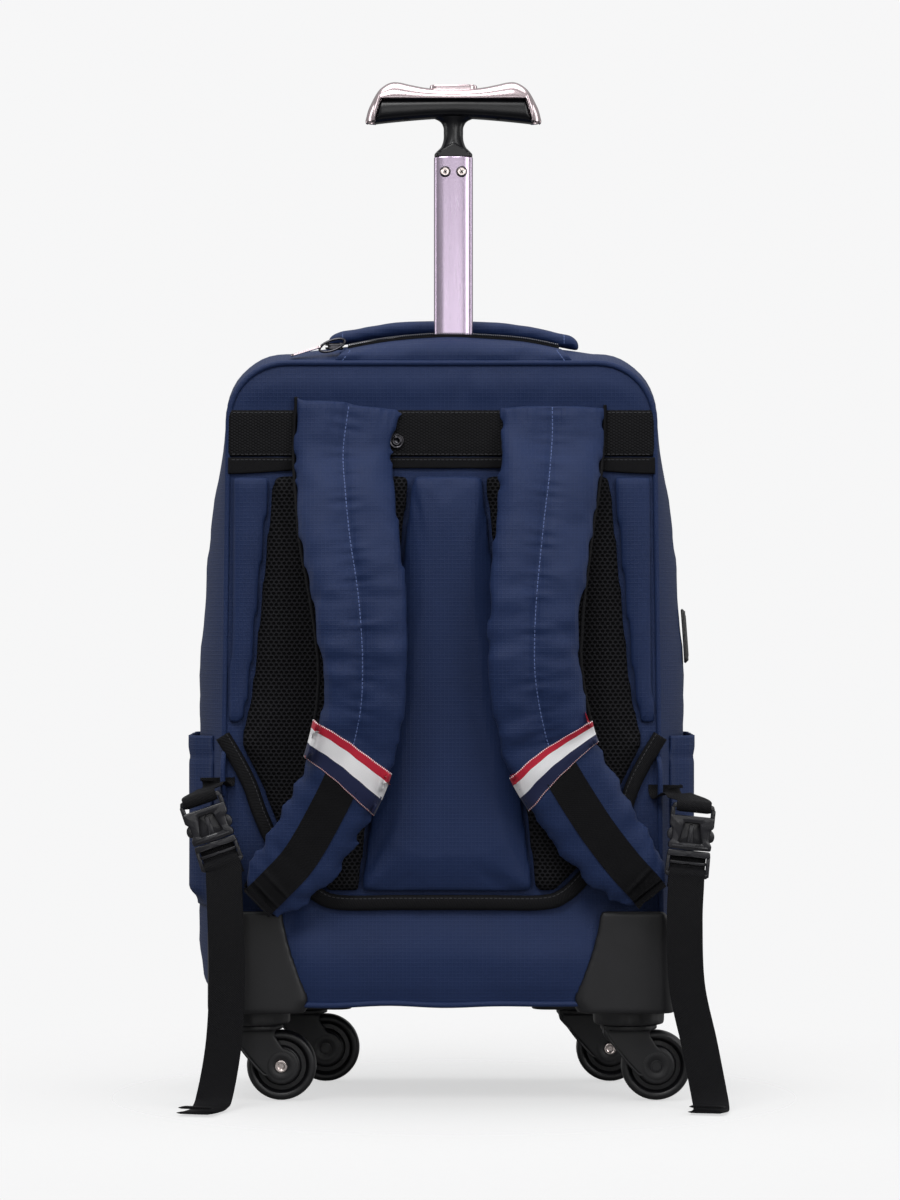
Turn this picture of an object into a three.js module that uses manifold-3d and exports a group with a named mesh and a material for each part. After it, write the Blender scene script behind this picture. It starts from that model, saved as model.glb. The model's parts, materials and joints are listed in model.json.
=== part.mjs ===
// Wheeled backpack: a soft bag on four swivel casters, with a sliding towing handle,
// shoulder straps and a padded back. Millimetres, +Z up. The back faces -Y.

import * as THREE from 'three';
import { mergeVertices } from 'three/addons/utils/BufferGeometryUtils.js';
import Module from 'manifold-3d';

const wasm = await Module();
wasm.setup();

// Clearances
const SEAM_GAP = 0.4;
const RUNNING_GAP = 0.4;
const MERGE_DISTANCE = 0.001;

// Casters
const WHEEL_DIAMETER = 50;
const WHEEL_WIDTH = 17;
const WHEEL_SIDES = 24;
const CASTER_TRAIL = 19.5;
const WHEEL_HEADROOM = 0.8;
const FORK_CROWN = 4;
const FORK_RADIUS = 20.5;
const FORK_ARM = 3.2;
const FORK_BOSS = 13;
const WHEEL_SIDE_PLAY = 1.2;
const AXLE_RADIUS = 3;
const AXLE_HEAD_RADIUS = 4.4;
const AXLE_HEAD = 1;
const STEM_RADIUS = 5;
const STEM_LENGTH = 8;
const HOUSING_HEIGHT = 15.5;
const COLLAR_RADIUS = 25;
const BACK_CASTER_X = 134.5;
const BACK_CASTER_Y = 35;
const FRONT_CASTER_X = 106;
const FRONT_CASTER_INSET = 30;
const FRONT_PLATE_WIDTH = 78;
const FRONT_PLATE_DEPTH = 56;
const FRONT_PLATE_CORNER = 12;

// Bag
const FABRIC_WALL = 2.4;
const BACK_WIDTH_BOTTOM = 316;
const BACK_WIDTH_TOP = 303;
const BAG_HEIGHT = 457;
const BAG_DEPTH = 195;
const SIDE_BULGE = 23;
const TOP_CROWN = 18;
const FRONT_BULGE = 13;
const TOP_CORNER_RADIUS = 42;
const BOTTOM_CORNER_RADIUS = 20;
const ZIP_THICKNESS = 1.4;
const POCKET_STANDOFF = 1.6;
const POCKET_BOTTOM = 69;
const POCKET_HEIGHT = 122;
const POCKET_FRONT = 136;
const POCKET_BACK = 14;
const POCKET_WALL = 1.8;
const PATCH_HEIGHT = 38;
const PATCH_DEPTH = 30;
const PATCH_THICKNESS = 2;
const PATCH_BOTTOM = 243;
const PATCH_BACK = 55;

// Caster housings on the back corners
const HOUSING_RISE = 66;
const HOUSING_PROUD = 5;
const HOUSING_FLANGE = 5;
const HOUSING_INNER = 97;
const HOUSING_OUTER = 166;
const HOUSING_DEPTH = 64;
const HOUSING_CHAMFER = 8;
const HOUSING_CORNER = 10;
const HOUSING_SLANT = 14;

// Back padding and the webbing band across it
const BAND_TOP = 34;
const BAND_HEIGHT = 33;
const BAND_THICKNESS = 1.8;
const BINDING_HEIGHT = 12;
const BINDING_DROP = 4;
const BINDING_THICKNESS = 2.6;
const RIVET_RADIUS = 5.3;
const RIVET_THICKNESS = 1.4;
const RIVET_X = -32;
const PAD_THICKNESS = 12;
const PAD_BOTTOM = 67;
const PAD_EDGE = 10;
const PAD_CENTRE_X = 4;
const PAD_CENTRE_TOP = 51;
const PAD_CENTRE_BOTTOM = 128;
const PAD_SEAM_INSET = 3;

// Shoulder straps
const STRAP_WIDTH = 72;
const STRAP_THICKNESS = 14;
const STRAP_TOP = 28;
const STRAP_DROP = 356;
const STRAP_BOW = 38;
const STRAP_GROOVE = 2.6;
const STRAP_SECTIONS = 32;
const GATHER_DEPTH = 0.7;
const WEBBING_WIDTH = 25.4;
const WEBBING_THICKNESS = 1.6;
const RIBBON_THICKNESS = 1;

// Buckles and webbing tails
const BUCKLE_WIDTH = 31.5;
const BUCKLE_LENGTH = 52;
const BUCKLE_THICKNESS = 9;
const BUCKLE_STANDOFF = 17.5;
const BUCKLE_RAIL = 2.6;
const BUCKLE_BAR = 3.4;
const LADDER_WINDOW = 10;
const TAIL_REACH = 76;

// Towing handle
const TUBE_X = 8.5;
const TUBE_Y = 32;
const TUBE_WIDTH = 28;
const TUBE_DEPTH = 20;
const TUBE_WALL = 1.6;
const TUBE_LENGTH = 442;
const TUBE_SHOWN = 149;
const TUBE_CORNER = 5;
const SLEEVE_WALL = 2.6;
const SLEEVE_FLOOR = 3;
const SLEEVE_BELOW_TOP = 10;
const GRIP_WIDTH = 124;
const GRIP_HEIGHT = 28.5;
const GRIP_DIP = 5.5;
const GRIP_DEPTH = 26;
const GRIP_SKIN = 5.5;
const GRIP_CORE_HEIGHT = 17.5;
const NECK_WIDTH = 14;
const NECK_DEPTH = 16;
const NECK_HEIGHT = 24;
const BUTTON_WIDTH = 34;
const BUTTON_DEPTH = 11;
const BUTTON_PROUD = 4.6;
const BUTTON_TRAVEL = 3;
const SCREW_RADIUS = 3.3;
const SCREW_SPACING = 11.8;
const SCREW_BELOW_TOP = 11;
const SCREW_HEAD = 1;

// Top of the bag
const SLIT_LENGTH = 178;
const SLIT_BACK = 18;
const SLIT_FRONT = 46;
const FLAP_LENGTH = 171;
const FLAP_THICKNESS = 2;
const FLAP_RISE = 18.5;
const TEETH_HEIGHT = 3;
const GRAB_LENGTH = 182;
const GRAB_THICKNESS = 9;
const GRAB_DEPTH = 20;
const GRAB_RISE = 5.4;
const PULL_LENGTH = 24;
const PULL_WIDTH = 6.5;
const PULL_THICKNESS = 1.6;
const SLIDER_LENGTH = 13;
const SLIDER_SIZE = 6;
const SLIDER_GAP = 1.6;

// Heights and places that follow from the sizes above
const WHEEL_Z = WHEEL_DIAMETER / 2;
const CROWN_Z = WHEEL_DIAMETER + WHEEL_HEADROOM;
const FORK_TOP_Z = CROWN_Z + FORK_CROWN;
const COLLAR_Z = FORK_TOP_Z + RUNNING_GAP;
const HOUSING_TOP_Z = COLLAR_Z + HOUSING_HEIGHT;
const FLOOR_Z = HOUSING_TOP_Z + SEAM_GAP;
const FRONT_CASTER_Y = BAG_DEPTH - FRONT_CASTER_INSET;
const TOP_Z = FLOOR_Z + BAG_HEIGHT;
const HALF_BACK = BACK_WIDTH_BOTTOM / 2;
const ARM_INNER = WHEEL_WIDTH / 2 + WHEEL_SIDE_PLAY;
const ARM_OUTER = ARM_INNER + FORK_ARM;
const TUBE_TOP_Z = TOP_Z + TUBE_SHOWN;
const TUBE_BOTTOM_Z = TUBE_TOP_Z - TUBE_LENGTH;
const NECK_Z = TUBE_TOP_Z + SEAM_GAP;
const GRIP_Z = NECK_Z + NECK_HEIGHT;
const GRIP_TOP_Z = GRIP_Z + GRIP_HEIGHT;
const BAND_TOP_Z = TOP_Z - BAND_TOP;
const BAND_Z = BAND_TOP_Z - BAND_HEIGHT;
const BINDING_Z = BAND_Z - SEAM_GAP;
const PAD_TOP_Z = BINDING_Z - BINDING_HEIGHT - SEAM_GAP;
const PAD_BOTTOM_Z = FLOOR_Z + PAD_BOTTOM;
const STRAP_TOP_Z = TOP_Z - STRAP_TOP;
const STRAP_BASE = SEAM_GAP + BAND_THICKNESS + SEAM_GAP;
const FRONT_REACH = BAG_DEPTH + SEAM_GAP + FABRIC_WALL + FRONT_BULGE;
const ORIGIN_SHIFT_Y = (TAIL_REACH - FRONT_REACH) / 2;

// How far the sides and the top swell at each share of the bag's depth
const DEPTH_ROWS = [
  { at: 0.0, side: 0.0, top: 0.0 },
  { at: 0.06, side: 0.3, top: 0.34 },
  { at: 0.13, side: 0.55, top: 0.6 },
  { at: 0.24, side: 0.82, top: 0.88 },
  { at: 0.4, side: 0.97, top: 1.0 },
  { at: 0.58, side: 1.0, top: 1.0 },
  { at: 0.72, side: 0.9, top: 0.92 },
  { at: 0.78, side: 0.8, top: 0.84 },
  { at: 0.91, side: 0.42, top: 0.46 },
  { at: 1.0, side: 0.0, top: 0.0 },
];

// How much of the side bulge is reached at each share of the bag's height
const HEIGHT_ROWS = [
  { at: 0.0, side: 0.66 },
  { at: 0.1, side: 0.84 },
  { at: 0.25, side: 0.9 },
  { at: 0.4, side: 0.93 },
  { at: 0.47, side: 1.0 },
  { at: 0.63, side: 0.87 },
  { at: 0.79, side: 0.6 },
  { at: 0.91, side: 0.17 },
  { at: 1.0, side: 0.0 },
];
const CORNER_CROWN = 0.55;

// Edge between the mesh pad and the side pad: x as a share of half the back's width
const PAD_ROWS = [
  { at: 0.0, mesh: 0.42 },
  { at: 0.04, mesh: 0.5 },
  { at: 0.1, mesh: 0.62 },
  { at: 0.2, mesh: 0.77 },
  { at: 0.3, mesh: 0.86 },
  { at: 0.36, mesh: 0.9 },
  { at: 0.5, mesh: 0.86 },
  { at: 0.7, mesh: 0.82 },
  { at: 0.88, mesh: 0.785 },
  { at: 1.0, mesh: 0.76 },
];

// Run of the binding round the lower corner of the padding, from the side seam down
const CORNER_ROWS = [
  { across: 0.985, rise: 0.385 },
  { across: 0.92, rise: 0.33 },
  { across: 0.862, rise: 0.272 },
  { across: 0.815, rise: 0.205 },
  { across: 0.745, rise: 0.13 },
  { across: 0.655, rise: 0.07 },
  { across: 0.555, rise: 0.02 },
  { across: 0.45, rise: 0.003 },
  { across: 0.2, rise: 0.003 },
  { across: 0.0, rise: 0.003 },
];

// Shoulder straps, from the top down. across and down place the middle line as shares of
// half the back's width and of the strap's drop. lift is a share of the bow.
const LEFT_STRAP = [
  { across: -0.414, down: 0.0, width: 1.06, lift: 0.0, thick: 0.55 },
  { across: -0.441, down: 0.097, width: 0.99, lift: 0.07, thick: 0.85 },
  { across: -0.43, down: 0.178, width: 0.99, lift: 0.4, thick: 1.0 },
  { across: -0.408, down: 0.272, width: 0.99, lift: 0.66, thick: 1.0 },
  { across: -0.377, down: 0.362, width: 0.96, lift: 0.84, thick: 1.0 },
  { across: -0.36, down: 0.431, width: 0.925, lift: 0.94, thick: 1.0 },
  { across: -0.35, down: 0.521, width: 0.87, lift: 1.0, thick: 1.0 },
  { across: -0.361, down: 0.618, width: 0.86, lift: 0.95, thick: 0.95 },
  { across: -0.421, down: 0.727, width: 0.85, lift: 0.8, thick: 0.85 },
  { across: -0.512, down: 0.815, width: 0.83, lift: 0.6, thick: 0.75 },
  { across: -0.632, down: 0.907, width: 0.81, lift: 0.42, thick: 0.65 },
  { across: -0.75, down: 0.965, width: 0.68, lift: 0.32, thick: 0.55 },
  { across: -0.83, down: 1.0, width: 0.46, lift: 0.28, thick: 0.45 },
];
const RIGHT_STRAP = [
  { across: 0.498, down: 0.003, width: 1.05, lift: 0.0, thick: 0.55 },
  { across: 0.497, down: 0.069, width: 1.03, lift: 0.05, thick: 0.8 },
  { across: 0.482, down: 0.15, width: 1.01, lift: 0.34, thick: 1.0 },
  { across: 0.46, down: 0.228, width: 0.98, lift: 0.56, thick: 1.0 },
  { across: 0.44, down: 0.309, width: 0.96, lift: 0.76, thick: 1.0 },
  { across: 0.422, down: 0.392, width: 0.94, lift: 0.9, thick: 1.0 },
  { across: 0.413, down: 0.479, width: 0.92, lift: 0.98, thick: 1.0 },
  { across: 0.417, down: 0.551, width: 0.92, lift: 1.0, thick: 1.0 },
  { across: 0.446, down: 0.631, width: 0.93, lift: 0.93, thick: 0.95 },
  { across: 0.49, down: 0.7, width: 0.92, lift: 0.82, thick: 0.9 },
  { across: 0.563, down: 0.76, width: 0.91, lift: 0.7, thick: 0.85 },
  { across: 0.69, down: 0.848, width: 0.88, lift: 0.54, thick: 0.75 },
  { across: 0.81, down: 0.918, width: 0.78, lift: 0.4, thick: 0.65 },
  { across: 0.905, down: 0.965, width: 0.58, lift: 0.32, thick: 0.5 },
  { across: 0.94, down: 0.985, width: 0.4, lift: 0.3, thick: 0.42 },
];

// Where a strap's ribbon crosses it, as a share of its run, and how far the ribbon slants
const STRAPS = {
  l: { rows: LEFT_STRAP, ribbonAt: 0.665, slant: 0.023 },
  r: { rows: RIGHT_STRAP, ribbonAt: 0.66, slant: -0.026 },
};

// Buckles: the middle as shares of half the back's width and of the straps' drop
const BUCKLES = {
  l: { across: -1.03, down: 0.856, tilt: 19 },
  r: { across: 1.112, down: 0.874, tilt: -6 },
};

// A tail hangs from its ladder lock to the floor: x as a share of half the back's width,
// y as a share of the reach, z as a share of the ladder lock's height, turn in degrees
const TAIL_ROWS = {
  l: [
    { across: -0.965, reach: 0.4, up: 0.8, turn: -8 },
    { across: -0.957, reach: 0.42, up: 0.53, turn: 0 },
    { across: -0.97, reach: 0.43, up: 0.28, turn: 4 },
    { across: -1.005, reach: 0.46, up: 0.08, turn: 6 },
    { across: -1.03, reach: 0.56, up: 0.016, turn: -12 },
    { across: -1.06, reach: 0.76, up: 0.008, turn: -16 },
    { across: -1.09, reach: 0.97, up: 0.012, turn: -18 },
  ],
  r: [
    { across: 1.085, reach: 0.4, up: 0.8, turn: 2 },
    { across: 1.095, reach: 0.42, up: 0.53, turn: -4 },
    { across: 1.15, reach: 0.43, up: 0.28, turn: -7 },
    { across: 1.19, reach: 0.46, up: 0.08, turn: -6 },
    { across: 1.2, reach: 0.54, up: 0.016, turn: -4 },
    { across: 1.19, reach: 0.7, up: 0.008, turn: -8 },
    { across: 1.165, reach: 0.88, up: 0.012, turn: -10 },
  ],
};

// The tails reach furthest to each side
const tailSpan = [...TAIL_ROWS.l, ...TAIL_ROWS.r].map(row => row.across * HALF_BACK);
const ORIGIN_SHIFT_X = -(Math.min(...tailSpan) + Math.max(...tailSpan)) / 2;

// Value of a named column of a table at a share between its rows
function tableAt(rows, share, column) {
  const last = rows.length - 1;
  const clamped = Math.min(Math.max(share, rows[0].at), rows[last].at);
  let index = 0;
  while (index < last - 1 && rows[index + 1].at < clamped) index += 1;
  const low = rows[index];
  const high = rows[index + 1];
  const mix = (clamped - low.at) / (high.at - low.at);
  return low[column] + (high[column] - low[column]) * mix;
}

function vector(x, y, z) {
  return new THREE.Vector3(x, y, z);
}

function range(count) {
  return Array.from({ length: count }, (unused, index) => index);
}

// A geometry with its shared corners merged and its faces pointing out
function closed(geometry) {
  const bare = new THREE.BufferGeometry();
  bare.setAttribute('position', geometry.getAttribute('position').clone());
  if (geometry.index) bare.setIndex(geometry.index.clone());
  const merged = mergeVertices(bare, MERGE_DISTANCE);
  const place = merged.getAttribute('position');
  const corner = index => new THREE.Vector3().fromBufferAttribute(place, index);
  const faces = range(merged.index.count / 3).map(face => [0, 1, 2].map(k => merged.index.getX(3 * face + k)));
  const whole = faces.filter(([a, b, c]) => a !== b && b !== c && c !== a);
  let volume = 0;
  for (const [a, b, c] of whole) volume += corner(a).dot(corner(b).cross(corner(c)));
  const outward = volume < 0 ? whole.map(([a, b, c]) => [a, c, b]) : whole;
  merged.setIndex(outward.flat());
  merged.computeVertexNormals();
  return merged;
}

function fromPoints(points, faces) {
  const geometry = new THREE.BufferGeometry();
  const numbers = points.flatMap(point => [point.x, point.y, point.z]);
  geometry.setAttribute('position', new THREE.Float32BufferAttribute(numbers, 3));
  geometry.setIndex(faces.flat());
  return closed(geometry);
}

// Solid through a row of closed loops of equal length, with fan caps, or wrapped into a ring
function loft(loops, wrap = false) {
  const size = loops[0].length;
  const points = loops.flat();
  const faces = [];
  const bands = wrap ? loops.length : loops.length - 1;
  for (const band of range(bands)) {
    const here = band * size;
    const next = ((band + 1) % loops.length) * size;
    for (const step of range(size)) {
      const turn = (step + 1) % size;
      faces.push([here + step, here + turn, next + turn], [here + step, next + turn, next + step]);
    }
  }
  if (!wrap) {
    const start = points.length;
    const middle = loop => loop.reduce((sum, point) => sum.add(point), vector(0, 0, 0)).divideScalar(size);
    points.push(middle(loops[0]), middle(loops[loops.length - 1]));
    const end = (loops.length - 1) * size;
    for (const step of range(size)) {
      const turn = (step + 1) % size;
      faces.push([start, turn, step], [start + 1, end + step, end + turn]);
    }
  }
  return fromPoints(points, faces);
}

// Thin solid between two grids of points, one over the other
function sheet(upper, lower) {
  const rows = upper.length;
  const columns = upper[0].length;
  const points = [...upper.flat(), ...lower.flat()];
  const top = (row, column) => row * columns + column;
  const under = (row, column) => rows * columns + top(row, column);
  const faces = [];
  const quad = (a, b, c, d) => faces.push([a, b, c], [a, c, d]);
  for (const row of range(rows - 1)) {
    for (const column of range(columns - 1)) {
      quad(top(row, column), top(row + 1, column), top(row + 1, column + 1), top(row, column + 1));
      quad(under(row, column), under(row, column + 1), under(row + 1, column + 1), under(row + 1, column));
    }
    const far = columns - 1;
    quad(top(row, 0), under(row, 0), under(row + 1, 0), top(row + 1, 0));
    quad(top(row, far), top(row + 1, far), under(row + 1, far), under(row, far));
  }
  for (const column of range(columns - 1)) {
    const far = rows - 1;
    quad(top(0, column), top(0, column + 1), under(0, column + 1), under(0, column));
    quad(top(far, column), under(far, column), under(far, column + 1), top(far, column + 1));
  }
  return fromPoints(points, faces);
}

// Flat ribbon along a path: each step has its place and the direction of its width
function ribbon(steps, width, thickness) {
  const loops = steps.map((step, index) => {
    const before = steps[Math.max(index - 1, 0)].place;
    const after = steps[Math.min(index + 1, steps.length - 1)].place;
    const along = after.clone().sub(before).normalize();
    const across = step.across.clone().normalize();
    const normal = along.clone().cross(across).normalize();
    const corner = (side, face) => step.place.clone()
      .addScaledVector(across, side * width / 2)
      .addScaledVector(normal, face * thickness / 2);
    return [corner(-1, -1), corner(1, -1), corner(1, 1), corner(-1, 1)];
  });
  return loft(loops);
}

// Upright plate with its outline in x and z, between two depths
function plate(shape, fromY, toY) {
  const solid = new THREE.ExtrudeGeometry(shape, { depth: toY - fromY, bevelEnabled: false, curveSegments: 5 });
  solid.rotateX(Math.PI / 2);
  solid.translate(0, toY, 0);
  return closed(solid);
}

// Level plate with its outline in x and y, between two heights
function slab(shape, fromZ, toZ) {
  const solid = new THREE.ExtrudeGeometry(shape, { depth: toZ - fromZ, bevelEnabled: false, curveSegments: 3 });
  solid.translate(0, 0, fromZ);
  return closed(solid);
}

function outlineShape(corners) {
  return new THREE.Shape(corners.map(([x, y]) => new THREE.Vector2(x, y)));
}

function roundedShape(x, y, width, height, radius) {
  const left = x - width / 2;
  const right = x + width / 2;
  const low = y - height / 2;
  const high = y + height / 2;
  const shape = new THREE.Shape();
  shape.moveTo(left + radius, low);
  shape.lineTo(right - radius, low);
  shape.absarc(right - radius, low + radius, radius, -Math.PI / 2, 0);
  shape.lineTo(right, high - radius);
  shape.absarc(right - radius, high - radius, radius, 0, Math.PI / 2);
  shape.lineTo(left + radius, high);
  shape.absarc(left + radius, high - radius, radius, Math.PI / 2, Math.PI);
  shape.lineTo(left, low + radius);
  shape.absarc(left + radius, low + radius, radius, Math.PI, Math.PI * 1.5);
  return shape;
}

// Box between two corners
function block(low, high) {
  const size = high.clone().sub(low);
  const solid = new THREE.BoxGeometry(size.x, size.y, size.z);
  solid.translate((low.x + high.x) / 2, (low.y + high.y) / 2, (low.z + high.z) / 2);
  return closed(solid);
}

function upright(radius, x, y, fromZ, toZ, sides) {
  const solid = new THREE.CylinderGeometry(radius, radius, toZ - fromZ, sides);
  solid.rotateX(Math.PI / 2);
  solid.translate(x, y, (fromZ + toZ) / 2);
  return closed(solid);
}

function crosswise(radius, x, z, fromY, toY, sides) {
  const solid = new THREE.CylinderGeometry(radius, radius, toY - fromY, sides);
  solid.translate(x, (fromY + toY) / 2, z);
  return closed(solid);
}

// Cutting and joining of solids
function asManifold(geometry) {
  const vertProperties = Float32Array.from(geometry.getAttribute('position').array);
  const triVerts = Uint32Array.from(geometry.index.array);
  return new wasm.Manifold(new wasm.Mesh({ numProp: 3, vertProperties, triVerts }));
}

function asGeometry(manifold) {
  const mesh = manifold.getMesh();
  const geometry = new THREE.BufferGeometry();
  geometry.setAttribute('position', new THREE.BufferAttribute(Float32Array.from(mesh.vertProperties), 3));
  geometry.setIndex(Array.from(mesh.triVerts));
  return closed(geometry);
}

function join(...parts) {
  return asGeometry(parts.map(asManifold).reduce((sum, part) => sum.add(part)));
}

function cut(body, ...tools) {
  return asGeometry(tools.map(asManifold).reduce((rest, tool) => rest.subtract(tool), asManifold(body)));
}

// Half the bag's width at a height and a depth
function halfWidth(z, y) {
  const share = (z - FLOOR_Z) / BAG_HEIGHT;
  const back = (BACK_WIDTH_BOTTOM + (BACK_WIDTH_TOP - BACK_WIDTH_BOTTOM) * share) / 2;
  return back + SIDE_BULGE * tableAt(DEPTH_ROWS, y / BAG_DEPTH, 'side') * tableAt(HEIGHT_ROWS, share, 'side');
}

// Height of the top face at a place, between its two rounded corners
function topHeight(x, y) {
  const crown = TOP_CROWN * tableAt(DEPTH_ROWS, y / BAG_DEPTH, 'top');
  const flat = BACK_WIDTH_TOP / 2 - TOP_CORNER_RADIUS;
  return TOP_Z + crown * (1 - (1 - CORNER_CROWN) * Math.min(Math.abs(x) / flat, 1) ** 2);
}

// Right half of the bag's outline at a depth, from the middle of the bottom to the top
function halfOutline(y, inset) {
  const floor = FLOOR_Z + inset;
  const low = floor + BOTTOM_CORNER_RADIUS - inset;
  const lowX = halfWidth(low, y) - BOTTOM_CORNER_RADIUS;
  const cornerTop = topHeight(BACK_WIDTH_TOP / 2, y);
  const high = cornerTop - TOP_CORNER_RADIUS;
  const highX = halfWidth(high, y) - TOP_CORNER_RADIUS;
  const points = [[0, floor], [lowX * 0.5, floor]];
  const lowRadius = BOTTOM_CORNER_RADIUS - inset;
  for (const step of range(3)) {
    const angle = (step / 2 - 1) * Math.PI / 2;
    points.push([lowX + lowRadius * Math.cos(angle), low + lowRadius * Math.sin(angle)]);
  }
  for (const row of HEIGHT_ROWS) {
    const z = FLOOR_Z + BAG_HEIGHT * row.at;
    if (z > low && row.at > 0 && row.at < 0.9) points.push([halfWidth(z, y) - inset, z]);
  }
  const highRadius = TOP_CORNER_RADIUS - inset;
  for (const step of range(6)) {
    const angle = (step / 5) * Math.PI / 2;
    points.push([highX + highRadius * Math.cos(angle), high + highRadius * Math.sin(angle)]);
  }
  for (const share of [0.7, 0.35, 0]) points.push([highX * share, topHeight(highX * share, y) - inset]);
  return points;
}

function outline(y, inset) {
  const right = halfOutline(y, inset);
  const left = right.slice(1, -1).reverse().map(([x, z]) => [-x, z]);
  return [...right, ...left];
}

function outlineLoop(y, inset, depth = y) {
  return outline(depth, inset).map(([x, z]) => vector(x, y, z));
}

// Bag body
function makeBackPanel() {
  return plate(outlineShape(outline(0, 0)), 0, FABRIC_WALL);
}

function makeGusset() {
  const start = FABRIC_WALL + SEAM_GAP;
  const inner = DEPTH_ROWS.slice(1, -1).map(row => row.at * BAG_DEPTH).filter(y => y > start);
  const depths = [start, ...inner, BAG_DEPTH];
  const outer = depths.map(y => outlineLoop(y, 0));
  const lining = depths.map(y => outlineLoop(y, FABRIC_WALL)).reverse();
  const ring = loft([...outer, ...lining], true);
  const mouth = block(
    vector(TUBE_X - SLIT_LENGTH / 2, -FABRIC_WALL, TOP_Z - TOP_CORNER_RADIUS / 2),
    vector(TUBE_X + SLIT_LENGTH / 2, SLIT_FRONT, TOP_Z + TOP_CORNER_RADIUS),
  );
  return cut(ring, mouth);
}

function makeFrontPanel() {
  const middle = FLOOR_Z + BAG_HEIGHT / 2;
  const rim = outline(BAG_DEPTH, 0);
  const ring = (share, y) => rim.map(([x, z]) => vector(x * share, y, middle + (z - middle) * share));
  const back = BAG_DEPTH + SEAM_GAP;
  const depthAt = share => back + FRONT_BULGE * (1 - share ** 3);
  const shares = [1, 0.9, 0.66, 0.3];
  const front = shares.map(share => ring(share, depthAt(share) + FABRIC_WALL));
  const lining = shares.map(share => ring(share, depthAt(share))).reverse();
  return loft([...lining, ...front]);
}

// Zip round the gusset, between two stations of its depth
function makeMainZip() {
  const near = DEPTH_ROWS[6].at * BAG_DEPTH;
  const far = DEPTH_ROWS[7].at * BAG_DEPTH;
  const low = FLOOR_Z + BAG_HEIGHT * 0.2;
  const reach = inset => [near, far].map(y => outline(y, inset).map(([x, z]) => vector(x, y, z)));
  const [nearOut, farOut] = reach(-2 * SEAM_GAP - ZIP_THICKNESS);
  const [nearIn, farIn] = reach(-2 * SEAM_GAP);
  const kept = range(nearOut.length).filter(index => nearOut[index].z > low);
  return loft(kept.map(index => [nearOut[index], farOut[index], farIn[index], nearIn[index]]));
}

function makeMainPull() {
  const y = (DEPTH_ROWS[6].at + DEPTH_ROWS[7].at) / 2 * BAG_DEPTH;
  const x = TUBE_X + SLIT_LENGTH / 4;
  const z = topHeight(x - PULL_LENGTH / 2, DEPTH_ROWS[6].at * BAG_DEPTH) + 3 * SEAM_GAP + ZIP_THICKNESS;
  const low = vector(x - PULL_LENGTH / 2, y - PULL_WIDTH / 2, z);
  return block(low, vector(x + PULL_LENGTH / 2, y + PULL_WIDTH / 2, z + PULL_THICKNESS));
}

// Open-topped pocket that stands off the side, joined to it along three edges
function makePocket(side) {
  const zs = [0, 0.08, 0.3, 0.55, 0.8, 1].map(share => FLOOR_Z + POCKET_BOTTOM + POCKET_HEIGHT * share);
  const ys = [0, 0.07, 0.2, 0.45, 0.75, 0.93, 1].map(share => POCKET_BACK + (POCKET_FRONT - POCKET_BACK) * share);
  const seam = (z, y) => halfWidth(z, y) + SEAM_GAP * 3;
  const face = Math.max(...zs.flatMap(z => ys.map(y => seam(z, y)))) + POCKET_STANDOFF;
  const reach = (z, y, row, column) => {
    const sewn = row === 0 || column === 0 || column === ys.length - 1;
    return sewn ? seam(z, y) : face;
  };
  const grid = wall => zs.map((z, row) => ys.map((y, column) => {
    return vector(side * (reach(z, y, row, column) + wall), y, z);
  }));
  return sheet(grid(POCKET_WALL), grid(0));
}

function makeSidePatch() {
  const zs = [0, 0.5, 1].map(share => FLOOR_Z + PATCH_BOTTOM + PATCH_HEIGHT * share);
  const ys = [0, 0.5, 1].map(share => PATCH_BACK + PATCH_DEPTH * share);
  const grid = lift => zs.map(z => ys.map(y => vector(halfWidth(z, y) + lift, y, z)));
  return sheet(grid(2 * SEAM_GAP + PATCH_THICKNESS), grid(2 * SEAM_GAP));
}

// Back padding
function cornerCurve(side) {
  const height = PAD_TOP_Z - PAD_BOTTOM_Z;
  const points = CORNER_ROWS.map(row => {
    return vector(side * row.across * HALF_BACK, 0, PAD_BOTTOM_Z + PAD_EDGE / 2 + row.rise * height);
  });
  return points;
}

function makePadBinding() {
  const left = cornerCurve(-1);
  const right = cornerCurve(1).slice(0, -1).reverse();
  const middle = [...left, ...right];
  const thickness = PAD_THICKNESS / 2;
  const curve = new THREE.CatmullRomCurve3(middle);
  const steps = range(middle.length).map(index => {
    const share = index / (middle.length - 1);
    const place = curve.getPoint(share);
    const along = curve.getTangent(share);
    place.y = -SEAM_GAP - thickness / 2;
    return { place, across: vector(-along.z, 0, along.x) };
  });
  return ribbon(steps, PAD_EDGE, thickness);
}

// x of the binding's inner edge at a height, on the right side
function bindingInner(z) {
  const height = PAD_TOP_Z - PAD_BOTTOM_Z;
  const rise = (z - PAD_BOTTOM_Z - PAD_EDGE / 2) / height;
  const rows = [...CORNER_ROWS].reverse().slice(3).map(row => ({ at: row.rise, x: row.across * HALF_BACK }));
  return tableAt(rows, rise, 'x') - PAD_EDGE * 0.8;
}

// One panel of the padding, with rounded edges, between two edges given by functions of z
function makePad(zs, leftEdge, rightEdge, depth) {
  const columns = [0, 0.12, 0.88, 1];
  const rise = [0.55, 1, 1, 0.55];
  const front = zs.map((z, row) => columns.map((share, column) => {
    const x = leftEdge(z) + (rightEdge(z) - leftEdge(z)) * share;
    const end = row === 0 || row === zs.length - 1 ? 0.55 : rise[column];
    return vector(x, -SEAM_GAP - depth * Math.min(end, rise[column]), z);
  }));
  const back = front.map(line => line.map(point => vector(point.x, -SEAM_GAP, point.z)));
  return sheet(front, back);
}

function padHeights(from, shares) {
  return shares.map(share => from + (PAD_TOP_Z - from) * share);
}

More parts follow.
